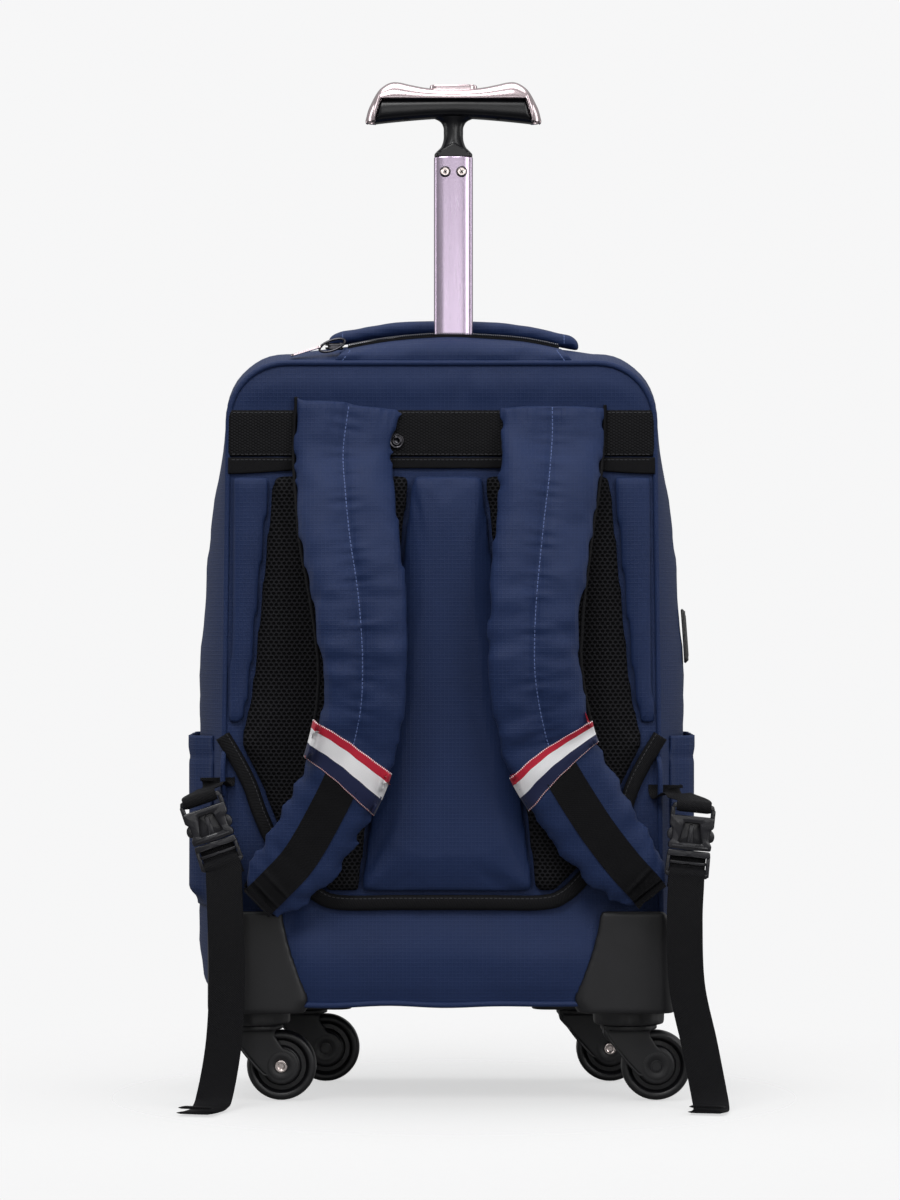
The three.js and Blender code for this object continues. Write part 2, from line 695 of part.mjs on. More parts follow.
function centreEdge(z, side) {
  const share = (z - PAD_BOTTOM_Z) / (PAD_TOP_Z - PAD_BOTTOM_Z);
  return PAD_CENTRE_X + side * (PAD_CENTRE_BOTTOM + (PAD_CENTRE_TOP - PAD_CENTRE_BOTTOM) * share) / 2;
}

function meshEdge(z) {
  const share = (z - PAD_BOTTOM_Z) / (PAD_TOP_Z - PAD_BOTTOM_Z);
  return Math.min(tableAt(PAD_ROWS, share, 'mesh') * HALF_BACK, bindingInner(z));
}

const PAD_START_Z = PAD_BOTTOM_Z + PAD_EDGE * 1.5;

function makePadCentre() {
  const zs = padHeights(PAD_START_Z, [0, 0.04, 0.5, 0.96, 1]);
  return makePad(zs, z => centreEdge(z, -1) + SEAM_GAP, z => centreEdge(z, 1) - SEAM_GAP, PAD_THICKNESS);
}

function makePadMesh(side) {
  const zs = padHeights(PAD_START_Z, [0, 0.04, 0.1, 0.18, 0.3, 0.5, 0.75, 0.96, 1]);
  const inner = z => centreEdge(z, side) + side * SEAM_GAP;
  const outer = z => side * (meshEdge(z) - SEAM_GAP);
  return makePad(zs, inner, outer, PAD_THICKNESS);
}

function makePadSide(side) {
  const start = PAD_BOTTOM_Z + (PAD_TOP_Z - PAD_BOTTOM_Z) * (CORNER_ROWS[0].rise + 0.045);
  const zs = padHeights(start, [0, 0.08, 0.4, 0.7, 0.94, 1]);
  const inner = z => side * (meshEdge(z) + SEAM_GAP);
  const outer = z => side * (halfWidth(z, 0) - PAD_SEAM_INSET);
  return makePad(zs, inner, outer, PAD_THICKNESS * 0.6);
}

// Webbing band, its binding and the rivet
function seamWidth(z) {
  return halfWidth(z, 0) - 0.5 * FABRIC_WALL;
}

function makeBand() {
  const shape = outlineShape([
    [-seamWidth(BAND_Z), BAND_Z], [seamWidth(BAND_Z), BAND_Z],
    [seamWidth(BAND_TOP_Z), BAND_TOP_Z], [-seamWidth(BAND_TOP_Z), BAND_TOP_Z],
  ]);
  return plate(shape, -SEAM_GAP - BAND_THICKNESS, -SEAM_GAP);
}

function makeBandBinding() {
  const low = BINDING_Z - BINDING_HEIGHT;
  const half = seamWidth(BINDING_Z);
  const shape = outlineShape([
    [-half, BINDING_Z], [-half, low], [-half * 0.5, low + BINDING_DROP],
    [half * 0.5, low + BINDING_DROP], [half, low], [half, BINDING_Z],
  ]);
  return plate(shape, -SEAM_GAP - BINDING_THICKNESS, -SEAM_GAP);
}

function makeRivet() {
  const back = -2 * SEAM_GAP - BAND_THICKNESS;
  const z = BAND_Z + BAND_HEIGHT / 3;
  return crosswise(RIVET_RADIUS, RIVET_X, z, back - RIVET_THICKNESS, back, 16);
}

// Shoulder strap: its frame at a share of its run
function strapFrame(rows, share) {
  const places = rows.map(row => vector(
    row.across * HALF_BACK,
    -(STRAP_BASE + row.lift * (STRAP_BOW - STRAP_BASE)),
    STRAP_TOP_Z - row.down * STRAP_DROP,
  ));
  const sizes = rows.map(row => vector(row.width * STRAP_WIDTH, row.thick * STRAP_THICKNESS, 0));
  const middle = new THREE.CatmullRomCurve3(places);
  const size = new THREE.CatmullRomCurve3(sizes).getPoint(share);
  const along = middle.getTangent(share);
  const across = vector(-along.z, 0, along.x).normalize();
  return { place: middle.getPoint(share), across, half: size.x / 2, thick: size.y };
}

// Point of the strap's front face, across from -1 to 1, lifted off it by a distance
function strapFront(frame, across, lift) {
  const crown = 0.3 + 0.7 * Math.sqrt(Math.max(1 - Math.abs(across) ** 2.6, 0));
  const point = frame.place.clone().addScaledVector(frame.across, across * frame.half);
  point.y -= frame.thick * crown + lift;
  return point;
}

function strapBack(frame, across) {
  const hollow = 0.3 - 0.3 * Math.sqrt(Math.max(1 - Math.abs(across) ** 2.6, 0));
  const point = frame.place.clone().addScaledVector(frame.across, across * frame.half);
  point.y -= frame.thick * hollow;
  return point;
}

const STRAP_FRONT_COLUMNS = [-1, -0.86, -0.45, 0, 0.45, 0.86, 1];
const STRAP_BACK_COLUMNS = [0.7, 0, -0.7];

function makeStrap({ rows, ribbonAt }) {
  const loops = range(STRAP_SECTIONS + 1).map(index => {
    const share = index / STRAP_SECTIONS;
    const frame = strapFrame(rows, share);
    const sewn = share < ribbonAt - 2 / STRAP_SECTIONS ? 1 : 0;
    const gather = sewn * GATHER_DEPTH * (index % 2 ? 1 : -1);
    const front = STRAP_FRONT_COLUMNS.map(across => {
      const groove = across === 0 ? sewn * STRAP_GROOVE : 0;
      return strapFront(frame, across, -groove - gather * (Math.abs(across) < 0.6 ? 1 : 0));
    });
    return [...front, ...STRAP_BACK_COLUMNS.map(across => strapBack(frame, across))];
  });
  return loft(loops);
}

// Half a strip's width as a share of the strap's run
function runShare(rows, width) {
  const places = rows.map(row => vector(row.across * HALF_BACK, 0, STRAP_TOP_Z - row.down * STRAP_DROP));
  return width / 2 / new THREE.CatmullRomCurve3(places).getLength();
}

// Sheet that lies on the front of a strap, from one share of its run to another
function strapSheet(rows, starts, ends, columns, steps, lift, thickness) {
  const grid = height => range(steps + 1).map(step => columns.map((across, column) => {
    const share = starts[column] + (ends[column] - starts[column]) * step / steps;
    const frame = strapFrame(rows, Math.min(share, 1));
    return strapFront(frame, typeof across === 'function' ? across(frame) : across, height);
  }));
  return sheet(grid(lift + thickness), grid(lift));
}

const RIBBON_COLUMNS = [-0.97, -0.86, -0.45, 0, 0.45, 0.86, 0.97];
const SHEET_LIFT = 2 * SEAM_GAP;

function makeRibbon({ rows, ribbonAt, slant }) {
  const half = runShare(rows, WEBBING_WIDTH);
  const starts = RIBBON_COLUMNS.map(across => ribbonAt + slant * across - half);
  const ends = RIBBON_COLUMNS.map(across => ribbonAt + slant * across + half);
  return strapSheet(rows, starts, ends, RIBBON_COLUMNS, 3, SHEET_LIFT, RIBBON_THICKNESS);
}

function makeStrapWebbing({ rows, ribbonAt, slant }) {
  const half = runShare(rows, WEBBING_WIDTH);
  const gap = 2 * runShare(rows, 2 * SEAM_GAP);
  const columns = [-1, 0, 1].map(side => frame => Math.sign(side) * Math.min(WEBBING_WIDTH / 2 / frame.half, 0.85));
  const starts = [-0.4, 0, 0.4].map(across => ribbonAt + slant * across + half + gap);
  return strapSheet(rows, starts, [1, 1, 1], columns, 12, SHEET_LIFT, WEBBING_THICKNESS);
}

// Buckle, made upright about its own middle and then tilted into place
function buckleMiddle({ across, down }) {
  const y = -BUCKLE_STANDOFF - BUCKLE_THICKNESS / 2;
  return vector(across * HALF_BACK, y, STRAP_TOP_Z - down * STRAP_DROP);
}

function placeBuckle(geometry, buckle) {
  const middle = buckleMiddle(buckle);
  geometry.rotateY(-THREE.MathUtils.degToRad(buckle.tilt));
  geometry.translate(middle.x, middle.y, middle.z);
  return geometry;
}

// Where a point given in the buckle's own frame comes to lie
function bucklePoint(buckle, x, y, z) {
  const turn = -THREE.MathUtils.degToRad(buckle.tilt);
  return vector(x, y, z).applyAxisAngle(vector(0, 1, 0), turn).add(buckleMiddle(buckle));
}

const SEAT_BELOW_MIDDLE = 0.12 * BUCKLE_LENGTH;
const SOCKET_BODY_TOP = BUCKLE_LENGTH / 2 - BUCKLE_BAR - 2 * WEBBING_THICKNESS - 2;

function windowShape(x, z, width, height) {
  return outlineShape([
    [x - width / 2, z - height / 2], [x + width / 2, z - height / 2],
    [x + width / 2, z + height / 2], [x - width / 2, z + height / 2],
  ]);
}

function makeSocket(buckle) {
  const half = BUCKLE_WIDTH / 2;
  const top = BUCKLE_LENGTH / 2;
  const low = -SEAT_BELOW_MIDDLE;
  const body = plate(outlineShape([
    [-half + 2, top], [half - 2, top], [half, top - 2], [half, SOCKET_BODY_TOP], [half - 1, low],
    [-half + 1, low], [-half, SOCKET_BODY_TOP], [-half, top - 2],
  ]), -BUCKLE_THICKNESS / 2, BUCKLE_THICKNESS / 2);
  const slotHeight = top - BUCKLE_BAR - SOCKET_BODY_TOP;
  const slotZ = SOCKET_BODY_TOP + slotHeight / 2;
  const slot = plate(windowShape(0, slotZ, BUCKLE_WIDTH - 2 * BUCKLE_RAIL, slotHeight), -BUCKLE_THICKNESS, BUCKLE_THICKNESS);
  const windowHigh = SOCKET_BODY_TOP - 5;
  const windowLow = low + 4;
  const opening = plate(outlineShape([
    [-BUCKLE_WIDTH * 0.27, windowLow], [BUCKLE_WIDTH * 0.27, windowLow],
    [BUCKLE_WIDTH * 0.17, windowHigh], [-BUCKLE_WIDTH * 0.17, windowHigh],
  ]), -BUCKLE_THICKNESS, -BUCKLE_THICKNESS / 2 + 2);
  return placeBuckle(cut(body, slot, opening), buckle);
}

function makePlug(buckle) {
  const half = BUCKLE_WIDTH / 2;
  const top = -SEAT_BELOW_MIDDLE - RUNNING_GAP;
  const low = -BUCKLE_LENGTH / 2;
  const thick = BUCKLE_THICKNESS * 0.6;
  const body = plate(outlineShape([
    [-half + 1, top], [half - 1, top], [half - 0.5, low + 2], [half - 2.5, low], [-half + 2.5, low], [-half + 0.5, low + 2],
  ]), -thick / 2, thick / 2);
  const windowZ = low + BUCKLE_BAR + LADDER_WINDOW / 2;
  const opening = plate(windowShape(0, windowZ, WEBBING_WIDTH + 1.6, LADDER_WINDOW), -thick, thick);
  return placeBuckle(cut(body, opening), buckle);
}

// Webbing loop from the side seam round the socket's bar
function makeAnchor(buckle) {
  const side = Math.sign(buckle.across);
  const barZ = BUCKLE_LENGTH / 2 - BUCKLE_BAR / 2;
  const clear = BUCKLE_BAR / 2 + WEBBING_THICKNESS / 2 + SEAM_GAP;
  const front = BUCKLE_THICKNESS / 2 + WEBBING_THICKNESS / 2 + SEAM_GAP;
  const width = BUCKLE_WIDTH - 2 * BUCKLE_RAIL - 2 * RUNNING_GAP;
  const along = bucklePoint(buckle, 1, 0, 0).sub(bucklePoint(buckle, 0, 0, 0));
  const seat = vector(side * (halfWidth(buckleMiddle(buckle).z, 0) + WEBBING_WIDTH * 0.12),
    -SEAM_GAP * 2 - WEBBING_THICKNESS / 2, 0);
  const seatZ = bucklePoint(buckle, 0, 0, barZ).z;
  const bar = bucklePoint(buckle, 0, 0, barZ);
  const places = [
    vector(seat.x, seat.y, seatZ + clear * 5),
    vector(seat.x, seat.y, seatZ + clear * 3.8),
    vector((seat.x + bar.x) / 2, -BUCKLE_STANDOFF * 0.6, seatZ + clear * 2.6),
    bucklePoint(buckle, 0, -front * 0.1, barZ + clear + 1),
    bucklePoint(buckle, 0, -front * 0.92, barZ + clear),
    bucklePoint(buckle, 0, -front * 1.1, barZ),
    bucklePoint(buckle, 0, -front * 0.92, barZ - clear),
    bucklePoint(buckle, 0, -front * 0.3, barZ - clear - 0.6),
  ];
  return ribbon(places.map(place => ({ place, across: along })), width, WEBBING_THICKNESS);
}

// Webbing tail: up behind the ladder lock's bar, over it and down to the floor
function makeTail(buckle, rows) {
  const lockZ = bucklePoint(buckle, 0, 0, -BUCKLE_LENGTH / 2 + BUCKLE_BAR / 2).z;
  const along = bucklePoint(buckle, 1, 0, 0).sub(bucklePoint(buckle, 0, 0, 0));
  const barZ = -BUCKLE_LENGTH / 2 + BUCKLE_BAR / 2;
  const clear = BUCKLE_BAR / 2 + WEBBING_THICKNESS / 2 + SEAM_GAP;
  const face = BUCKLE_THICKNESS * 0.3 + WEBBING_THICKNESS / 2 + SEAM_GAP;
  const over = [
    [face, -clear * 3.4], [face, -clear], [face * 1.05, clear * 0.7], [face * 0.55, clear * 1.45],
    [-face * 0.55, clear * 1.45], [-face * 1.05, clear * 0.7], [-face * 1.15, -clear],
  ].map(([y, z]) => ({ place: bucklePoint(buckle, 0, y, barZ + z), across: along.clone() }));
  const curve = new THREE.CatmullRomCurve3([
    over[over.length - 1].place,
    ...rows.map(row => vector(row.across * HALF_BACK, -row.reach * TAIL_REACH, row.up * lockZ)),
  ]);
  const tilts = [-buckle.tilt, ...rows.map(row => row.turn)];
  const count = rows.length * 2;
  const hanging = range(count).map(index => {
    const share = (index + 1) / count;
    const low = Math.min(Math.floor(share * rows.length), rows.length - 1);
    const mix = share * rows.length - low;
    const turn = THREE.MathUtils.degToRad(tilts[low] + (tilts[low + 1] - tilts[low]) * mix);
    const laid = Math.min(Math.max(share * 6 - 3.2, 0), 1);
    const across = vector(Math.cos(turn), Math.sin(turn) * laid, -Math.sin(turn) * (1 - laid));
    return { place: curve.getPoint(share), across };
  });
  return ribbon([...over, ...hanging], WEBBING_WIDTH, WEBBING_THICKNESS);
}

// Top of the bag: flap, teeth, slider, pull and grab handle
function zipLine(share) {
  const x = TUBE_X + (share - 0.5) * FLAP_LENGTH;
  const arch = 1 - (2 * share - 1) ** 2;
  return { x, z: TOP_Z + FLAP_RISE * (0.55 + 0.45 * arch) };
}

const FLAP_SHARES = [0, 0.12, 0.3, 0.5, 0.7, 0.88, 1];
const FLAP_LEAN = [0.06, 0.55, 1];

function flapPoint(share, up, lift) {
  const edge = zipLine(share);
  const taper = 1 - 0.1 * up;
  const back = SLIT_BACK - FLAP_THICKNESS - SEAM_GAP;
  const y = back * (1 - Math.sqrt(1 - up * up * 0.98)) + 0.2;
  const x = TUBE_X + (edge.x - TUBE_X) * taper;
  return vector(x, y + lift, TOP_Z + SEAM_GAP + (edge.z - TOP_Z) * up);
}

function makeZipFlap() {
  const ups = [0, 0.35, 0.75, 1];
  const grid = lift => ups.map(up => FLAP_SHARES.map(share => flapPoint(share, up, lift)));
  return sheet(grid(0), grid(FLAP_THICKNESS));
}

function makeTopZip() {
  const rowsAt = height => FLAP_SHARES.map(share => flapPoint(share, 1, 0).add(vector(0, 0, SEAM_GAP + height)));
  const grid = lift => [0, TEETH_HEIGHT].map(height => rowsAt(height).map(point => point.add(vector(0, lift, 0))));
  return sheet(grid(0), grid(FLAP_THICKNESS));
}

function makeSlider() {
  const end = flapPoint(0, 1, 0);
  const low = vector(end.x - SLIDER_GAP - SLIDER_LENGTH, end.y - SLIDER_SIZE / 2, end.z - SLIDER_SIZE / 4);
  return block(low, low.clone().add(vector(SLIDER_LENGTH, SLIDER_SIZE, SLIDER_SIZE)));
}

function makeZipPull() {
  const end = flapPoint(0, 1, 0);
  const from = vector(end.x - SLIDER_GAP - SLIDER_LENGTH - 2 * SEAM_GAP, end.y, end.z);
  const to = vector(from.x - PULL_LENGTH, from.y * 0.8, 0);
  to.z = topHeight(to.x, to.y) + PULL_THICKNESS + SEAM_GAP;
  const steps = [from, to].map(place => ({ place, across: vector(0, 1, 0) }));
  return ribbon(steps, PULL_WIDTH, PULL_THICKNESS);
}

function makeGrabHandle() {
  const shares = [0, 0.06, 0.16, 0.3, 0.5, 0.7, 0.84, 0.94, 1];
  const y = SLIT_FRONT + GRAB_DEPTH / 2 + 1;
  const loops = shares.map(share => {
    const x = TUBE_X + (share - 0.5) * GRAB_LENGTH;
    const arch = Math.min(1, Math.sin(Math.PI * share) * 1.25);
    const end = Math.min(share, 1 - share) < 0.01 ? 0.55 : 1;
    const z = topHeight(x, y + GRAB_DEPTH / 2) + SEAM_GAP + end * GRAB_THICKNESS / 2 + GRAB_RISE * arch;
    return range(10).map(step => {
      const angle = step / 10 * 2 * Math.PI;
      return vector(x, y + Math.cos(angle) * GRAB_DEPTH / 2 * end, z + Math.sin(angle) * GRAB_THICKNESS / 2 * end);
    });
  });
  return loft(loops);
}

// Towing handle
function tubeShape(grow) {
  return roundedShape(TUBE_X, TUBE_Y, TUBE_WIDTH + grow, TUBE_DEPTH + grow, TUBE_CORNER + grow / 2);
}

function makeTube() {
  const shape = tubeShape(0);
  shape.holes.push(tubeShape(-2 * TUBE_WALL));
  return slab(shape, TUBE_BOTTOM_Z, TUBE_TOP_Z);
}

function makeSleeve() {
  const low = FLOOR_Z + FABRIC_WALL + SEAM_GAP;
  const high = TOP_Z - SLEEVE_BELOW_TOP;
  const outer = slab(tubeShape(2 * RUNNING_GAP + 2 * SLEEVE_WALL), low, high);
  return cut(outer, slab(tubeShape(2 * RUNNING_GAP), low + SLEEVE_FLOOR, high + SLEEVE_FLOOR));
}

// Outline of the grip's outside, or of the core inside its skin, about the tube's middle
function gripCorners(skin) {
  const half = GRIP_WIDTH / 2 - skin;
  const dip = GRIP_TOP_Z - GRIP_DIP;
  return { half, dip };
}

function gripShape() {
  const { half, dip } = gripCorners(0);
  const shape = new THREE.Shape();
  shape.moveTo(TUBE_X - half, GRIP_Z);
  shape.quadraticCurveTo(TUBE_X - half * 0.92, GRIP_TOP_Z - GRIP_DIP, TUBE_X - half * 0.67, GRIP_TOP_Z);
  shape.quadraticCurveTo(TUBE_X - half * 0.35, dip, TUBE_X, dip);
  shape.quadraticCurveTo(TUBE_X + half * 0.35, dip, TUBE_X + half * 0.67, GRIP_TOP_Z);
  shape.quadraticCurveTo(TUBE_X + half * 0.92, GRIP_TOP_Z - GRIP_DIP, TUBE_X + half, GRIP_Z);
  return shape;
}

function coreShape(grow) {
  const { half } = gripCorners(GRIP_SKIN - grow);
  const top = GRIP_Z + GRIP_CORE_HEIGHT + grow;
  return outlineShape([
    [TUBE_X - half, GRIP_Z - grow * 4], [TUBE_X + half, GRIP_Z - grow * 4],
    [TUBE_X + half * 0.985, top - 9], [TUBE_X + half * 0.93, top],
    [TUBE_X - half * 0.93, top], [TUBE_X - half * 0.985, top - 9],
  ]);
}

function neckShape() {
  const half = NECK_WIDTH / 2;
  const collar = (TUBE_WIDTH - 1) / 2;
  const arch = GRIP_Z + 4;
  const shape = new THREE.Shape();
  shape.moveTo(TUBE_X - collar, NECK_Z);
  shape.lineTo(TUBE_X - collar, NECK_Z + 2);
  shape.quadraticCurveTo(TUBE_X - half, NECK_Z + NECK_HEIGHT * 0.3, TUBE_X - half, NECK_Z + NECK_HEIGHT * 0.5);
  shape.quadraticCurveTo(TUBE_X - half, arch - 2, TUBE_X - half * 2, arch);
  shape.lineTo(TUBE_X + half * 2, arch);
  shape.quadraticCurveTo(TUBE_X + half, arch - 2, TUBE_X + half, NECK_Z + NECK_HEIGHT * 0.5);
  shape.quadraticCurveTo(TUBE_X + half, NECK_Z + NECK_HEIGHT * 0.3, TUBE_X + collar, NECK_Z + 2);
  shape.lineTo(TUBE_X + collar, NECK_Z);
  return shape;
}

function makeGripCore() {
  const half = GRIP_DEPTH / 2 - 1;
  const core = plate(coreShape(0), TUBE_Y - half, TUBE_Y + half);
  const underside = plate(outlineShape([
    [TUBE_X - GRIP_WIDTH * 0.46, GRIP_Z - 1], [TUBE_X + GRIP_WIDTH * 0.46, GRIP_Z - 1],
    [TUBE_X + NECK_WIDTH, GRIP_Z + 3.6], [TUBE_X - NECK_WIDTH, GRIP_Z + 3.6],
  ]), TUBE_Y - GRIP_DEPTH, TUBE_Y + GRIP_DEPTH);
  const neck = plate(neckShape(), TUBE_Y - NECK_DEPTH / 2, TUBE_Y + NECK_DEPTH / 2);
  const plug = slab(tubeShape(-2 * TUBE_WALL - 2 * RUNNING_GAP), NECK_Z - NECK_HEIGHT / 2, NECK_Z + 1);
  return join(cut(core, underside), neck, plug);
}

function makeGripCover() {
  const outer = plate(gripShape(), TUBE_Y - GRIP_DEPTH / 2, TUBE_Y + GRIP_DEPTH / 2);
  const hollow = plate(coreShape(SEAM_GAP), TUBE_Y - GRIP_DEPTH, TUBE_Y + GRIP_DEPTH);
  const play = 2 * RUNNING_GAP;
  const low = vector(TUBE_X - (BUTTON_WIDTH + play) / 2, TUBE_Y - (BUTTON_DEPTH + play) / 2, GRIP_Z);
  const high = vector(TUBE_X + (BUTTON_WIDTH + play) / 2, TUBE_Y + (BUTTON_DEPTH + play) / 2, GRIP_TOP_Z + GRIP_DIP);
  return cut(outer, hollow, block(low, high));
}

function makeButton() {
  const low = GRIP_Z + GRIP_CORE_HEIGHT + BUTTON_TRAVEL + SEAM_GAP;
  const high = GRIP_TOP_Z - GRIP_DIP + BUTTON_PROUD;
  return slab(roundedShape(TUBE_X, TUBE_Y, BUTTON_WIDTH, BUTTON_DEPTH, BUTTON_DEPTH * 0.4), low, high);
}

function makeScrew(side) {
  const face = TUBE_Y - TUBE_DEPTH / 2 - SEAM_GAP;
  const x = TUBE_X + side * SCREW_SPACING / 2;
  return crosswise(SCREW_RADIUS, x, TUBE_TOP_Z - SCREW_BELOW_TOP, face - SCREW_HEAD, face, 12);
}

// Caster housings
function stemHole(x, y) {
  return upright(STEM_RADIUS + RUNNING_GAP, x, y, COLLAR_Z - 1, COLLAR_Z + STEM_LENGTH + RUNNING_GAP, 12);
}

function makeBackHousing(side) {
  const low = FLOOR_Z - SEAM_GAP - HOUSING_FLANGE;
  const front = new THREE.Shape();
  front.moveTo(side * HOUSING_INNER, low);
  front.lineTo(side * HOUSING_OUTER, low);
  front.lineTo(side * HOUSING_OUTER, FLOOR_Z + HOUSING_RISE * 0.8);
  front.lineTo(side * (HOUSING_OUTER - HOUSING_CHAMFER), FLOOR_Z + HOUSING_RISE);
  front.lineTo(side * (HOUSING_INNER + HOUSING_SLANT), FLOOR_Z + HOUSING_RISE);
  const waist = side * (HOUSING_INNER + HOUSING_SLANT * 0.8);
  front.quadraticCurveTo(waist, FLOOR_Z + HOUSING_RISE * 0.4, side * HOUSING_INNER, FLOOR_Z);
  const shell = plate(front, -HOUSING_PROUD, HOUSING_DEPTH);
  const middleX = (HOUSING_INNER + HOUSING_OUTER) / 2;
  const middleY = (HOUSING_DEPTH - HOUSING_PROUD) / 2;
  const plan = slab(roundedShape(
    side * middleX, middleY, HOUSING_OUTER - HOUSING_INNER, HOUSING_DEPTH + HOUSING_PROUD, HOUSING_CORNER,
  ), low - 1, FLOOR_Z + HOUSING_RISE + 1);
  const start = -SEAM_GAP;
  const depths = [start, ...DEPTH_ROWS.slice(1, 6).map(row => row.at * BAG_DEPTH)];
  const bag = loft(depths.map(y => outlineLoop(y, -SEAM_GAP, Math.max(y, 0))));
  const wrapped = asManifold(shell).intersect(asManifold(plan)).subtract(asManifold(bag));
  const collar = upright(COLLAR_RADIUS, side * BACK_CASTER_X, BACK_CASTER_Y, COLLAR_Z, HOUSING_TOP_Z, 20);
  return cut(join(asGeometry(wrapped), collar), stemHole(side * BACK_CASTER_X, BACK_CASTER_Y));
}

function makeFrontPlate(side) {
  const x = side * FRONT_CASTER_X;
  const outline = roundedShape(x, FRONT_CASTER_Y, FRONT_PLATE_WIDTH, FRONT_PLATE_DEPTH, FRONT_PLATE_CORNER);
  const base = slab(outline, COLLAR_Z, HOUSING_TOP_Z);
  return cut(base, stemHole(x, FRONT_CASTER_Y));
}

// Fork, axle and wheel, about their own swivel axis
function armShape() {
  const z = WHEEL_Z;
  const x = CASTER_TRAIL;
  const shape = new THREE.Shape();
  shape.moveTo(-FORK_RADIUS * 0.93, FORK_TOP_Z);
  shape.lineTo(FORK_RADIUS * 0.78, FORK_TOP_Z);
  shape.lineTo(FORK_RADIUS * 0.72, CROWN_Z - 4);
  shape.lineTo(x * 1.05, z + FORK_BOSS);
  shape.absarc(x, z, FORK_BOSS, Math.PI * 0.42, -Math.PI * 0.8, true);
  shape.lineTo(-FORK_RADIUS * 0.85, CROWN_Z - 5);
  return shape;
}

function makeFork() {
  const crown = upright(FORK_RADIUS, 0, 0, CROWN_Z, FORK_TOP_Z, 20);
  const near = plate(armShape(), -ARM_OUTER, -ARM_INNER);
  const far = plate(armShape(), ARM_INNER, ARM_OUTER);
  const spine = block(
    vector(-FORK_RADIUS * 0.9, -ARM_OUTER, CROWN_Z - 4),
    vector(CASTER_TRAIL - WHEEL_DIAMETER / 2 - 4, ARM_OUTER, FORK_TOP_Z - 0.5),
  );
  const stem = upright(STEM_RADIUS, 0, 0, FORK_TOP_Z - 1, COLLAR_Z + STEM_LENGTH, 12);
  const bore = crosswise(AXLE_RADIUS + RUNNING_GAP, CASTER_TRAIL, WHEEL_Z, -2 * ARM_OUTER, 2 * ARM_OUTER, 10);
  return cut(join(crown, near, far, spine, stem), bore);
}

function revolved(profile, sides) {
  const points = profile.map(([radius, height]) => new THREE.Vector2(radius, height));
  const solid = new THREE.LatheGeometry(points, sides, Math.PI / sides);
  solid.translate(CASTER_TRAIL, 0, WHEEL_Z);
  return closed(solid);
}

function makeAxle() {
  const inner = ARM_OUTER + SEAM_GAP;
  const outer = inner + AXLE_HEAD;
  const well = outer - 1.6;
  return revolved([
    [0, -well], [AXLE_RADIUS * 0.75, -well], [AXLE_RADIUS * 0.85, -outer], [AXLE_HEAD_RADIUS, -outer],
    [AXLE_HEAD_RADIUS, -inner], [AXLE_RADIUS, -inner], [AXLE_RADIUS, inner], [AXLE_HEAD_RADIUS, inner],
    [AXLE_HEAD_RADIUS, outer], [AXLE_RADIUS * 0.85, outer], [AXLE_RADIUS * 0.75, well], [0, well],
  ], 8);
}

function makeWheel() {
  const across = 1 / Math.cos(Math.PI / WHEEL_SIDES);
  const tread = WHEEL_DIAMETER / 2 * across;
  const bore = AXLE_RADIUS + RUNNING_GAP;
  const half = WHEEL_WIDTH / 2;
  const side = [
    [bore, half * 0.94], [tread * 0.56, half * 0.94], [tread * 0.62, half * 0.5],
    [tread * 0.76, half * 0.5], [tread * 0.8, half], [tread, half * 0.86],
  ];
  const mirrored = [...side].reverse().map(([radius, height]) => [radius, -height]);
  return revolved([...side, ...mirrored, side[0]], WHEEL_SIDES);
}

// Finishes
function finish(color, roughness, metalness = 0) {
  return new THREE.MeshStandardMaterial({ color, roughness, metalness });
}

const FINISHES = {
  navyFabric: finish(0x36476e, 0.75),
  blackMesh: finish(0x17181b, 0.95),
  blackWebbing: finish(0x1b1b1d, 0.85),
  blackPlastic: finish(0x2c2b2e, 0.5),
  tyre: finish(0x2a2728, 0.55),
  striped: finish(0xc3c2c8, 0.8),
  zipMetal: finish(0xc9c9cc, 0.35, 1),
  roseMetal: finish(0xd9c5c8, 0.25, 1),
  tubeMetal: finish(0xd6cbd8, 0.3, 1),
  rivetMetal: finish(0x8f8f94, 0.35, 1),
};

const bag = new THREE.Group();

function add(name, geometry, material, parent = bag) {
  const mesh = new THREE.Mesh(geometry, material);
  mesh.name = name;
  parent.add(mesh);
  return mesh;
}

const SIDES = [['l', -1], ['r', 1]];

function addBody() {
  add('back_panel', makeBackPanel(), FINISHES.navyFabric);
  add('gusset', makeGusset(), FINISHES.navyFabric);
  add('front_panel', makeFrontPanel(), FINISHES.navyFabric);
  add('main_zip', makeMainZip(), FINISHES.blackWebbing);
  add('main_zip_pull', makeMainPull(), FINISHES.roseMetal);
  for (const [name, side] of SIDES) add(`side_pocket_${name}`, makePocket(side), FINISHES.navyFabric);
  add('side_patch', makeSidePatch(), FINISHES.blackWebbing);
}

function addBack() {
  add('pad_centre', makePadCentre(), FINISHES.navyFabric);
  add('pad_binding', makePadBinding(), FINISHES.blackWebbing);
  for (const [name, side] of SIDES) {
    add(`pad_mesh_${name}`, makePadMesh(side), FINISHES.blackMesh);
    add(`pad_side_${name}`, makePadSide(side), FINISHES.navyFabric);
  }
  add('trolley_band', makeBand(), FINISHES.blackWebbing);
  add('band_binding', makeBandBinding(), FINISHES.blackWebbing);
  add('band_rivet', makeRivet(), FINISHES.rivetMetal);
}

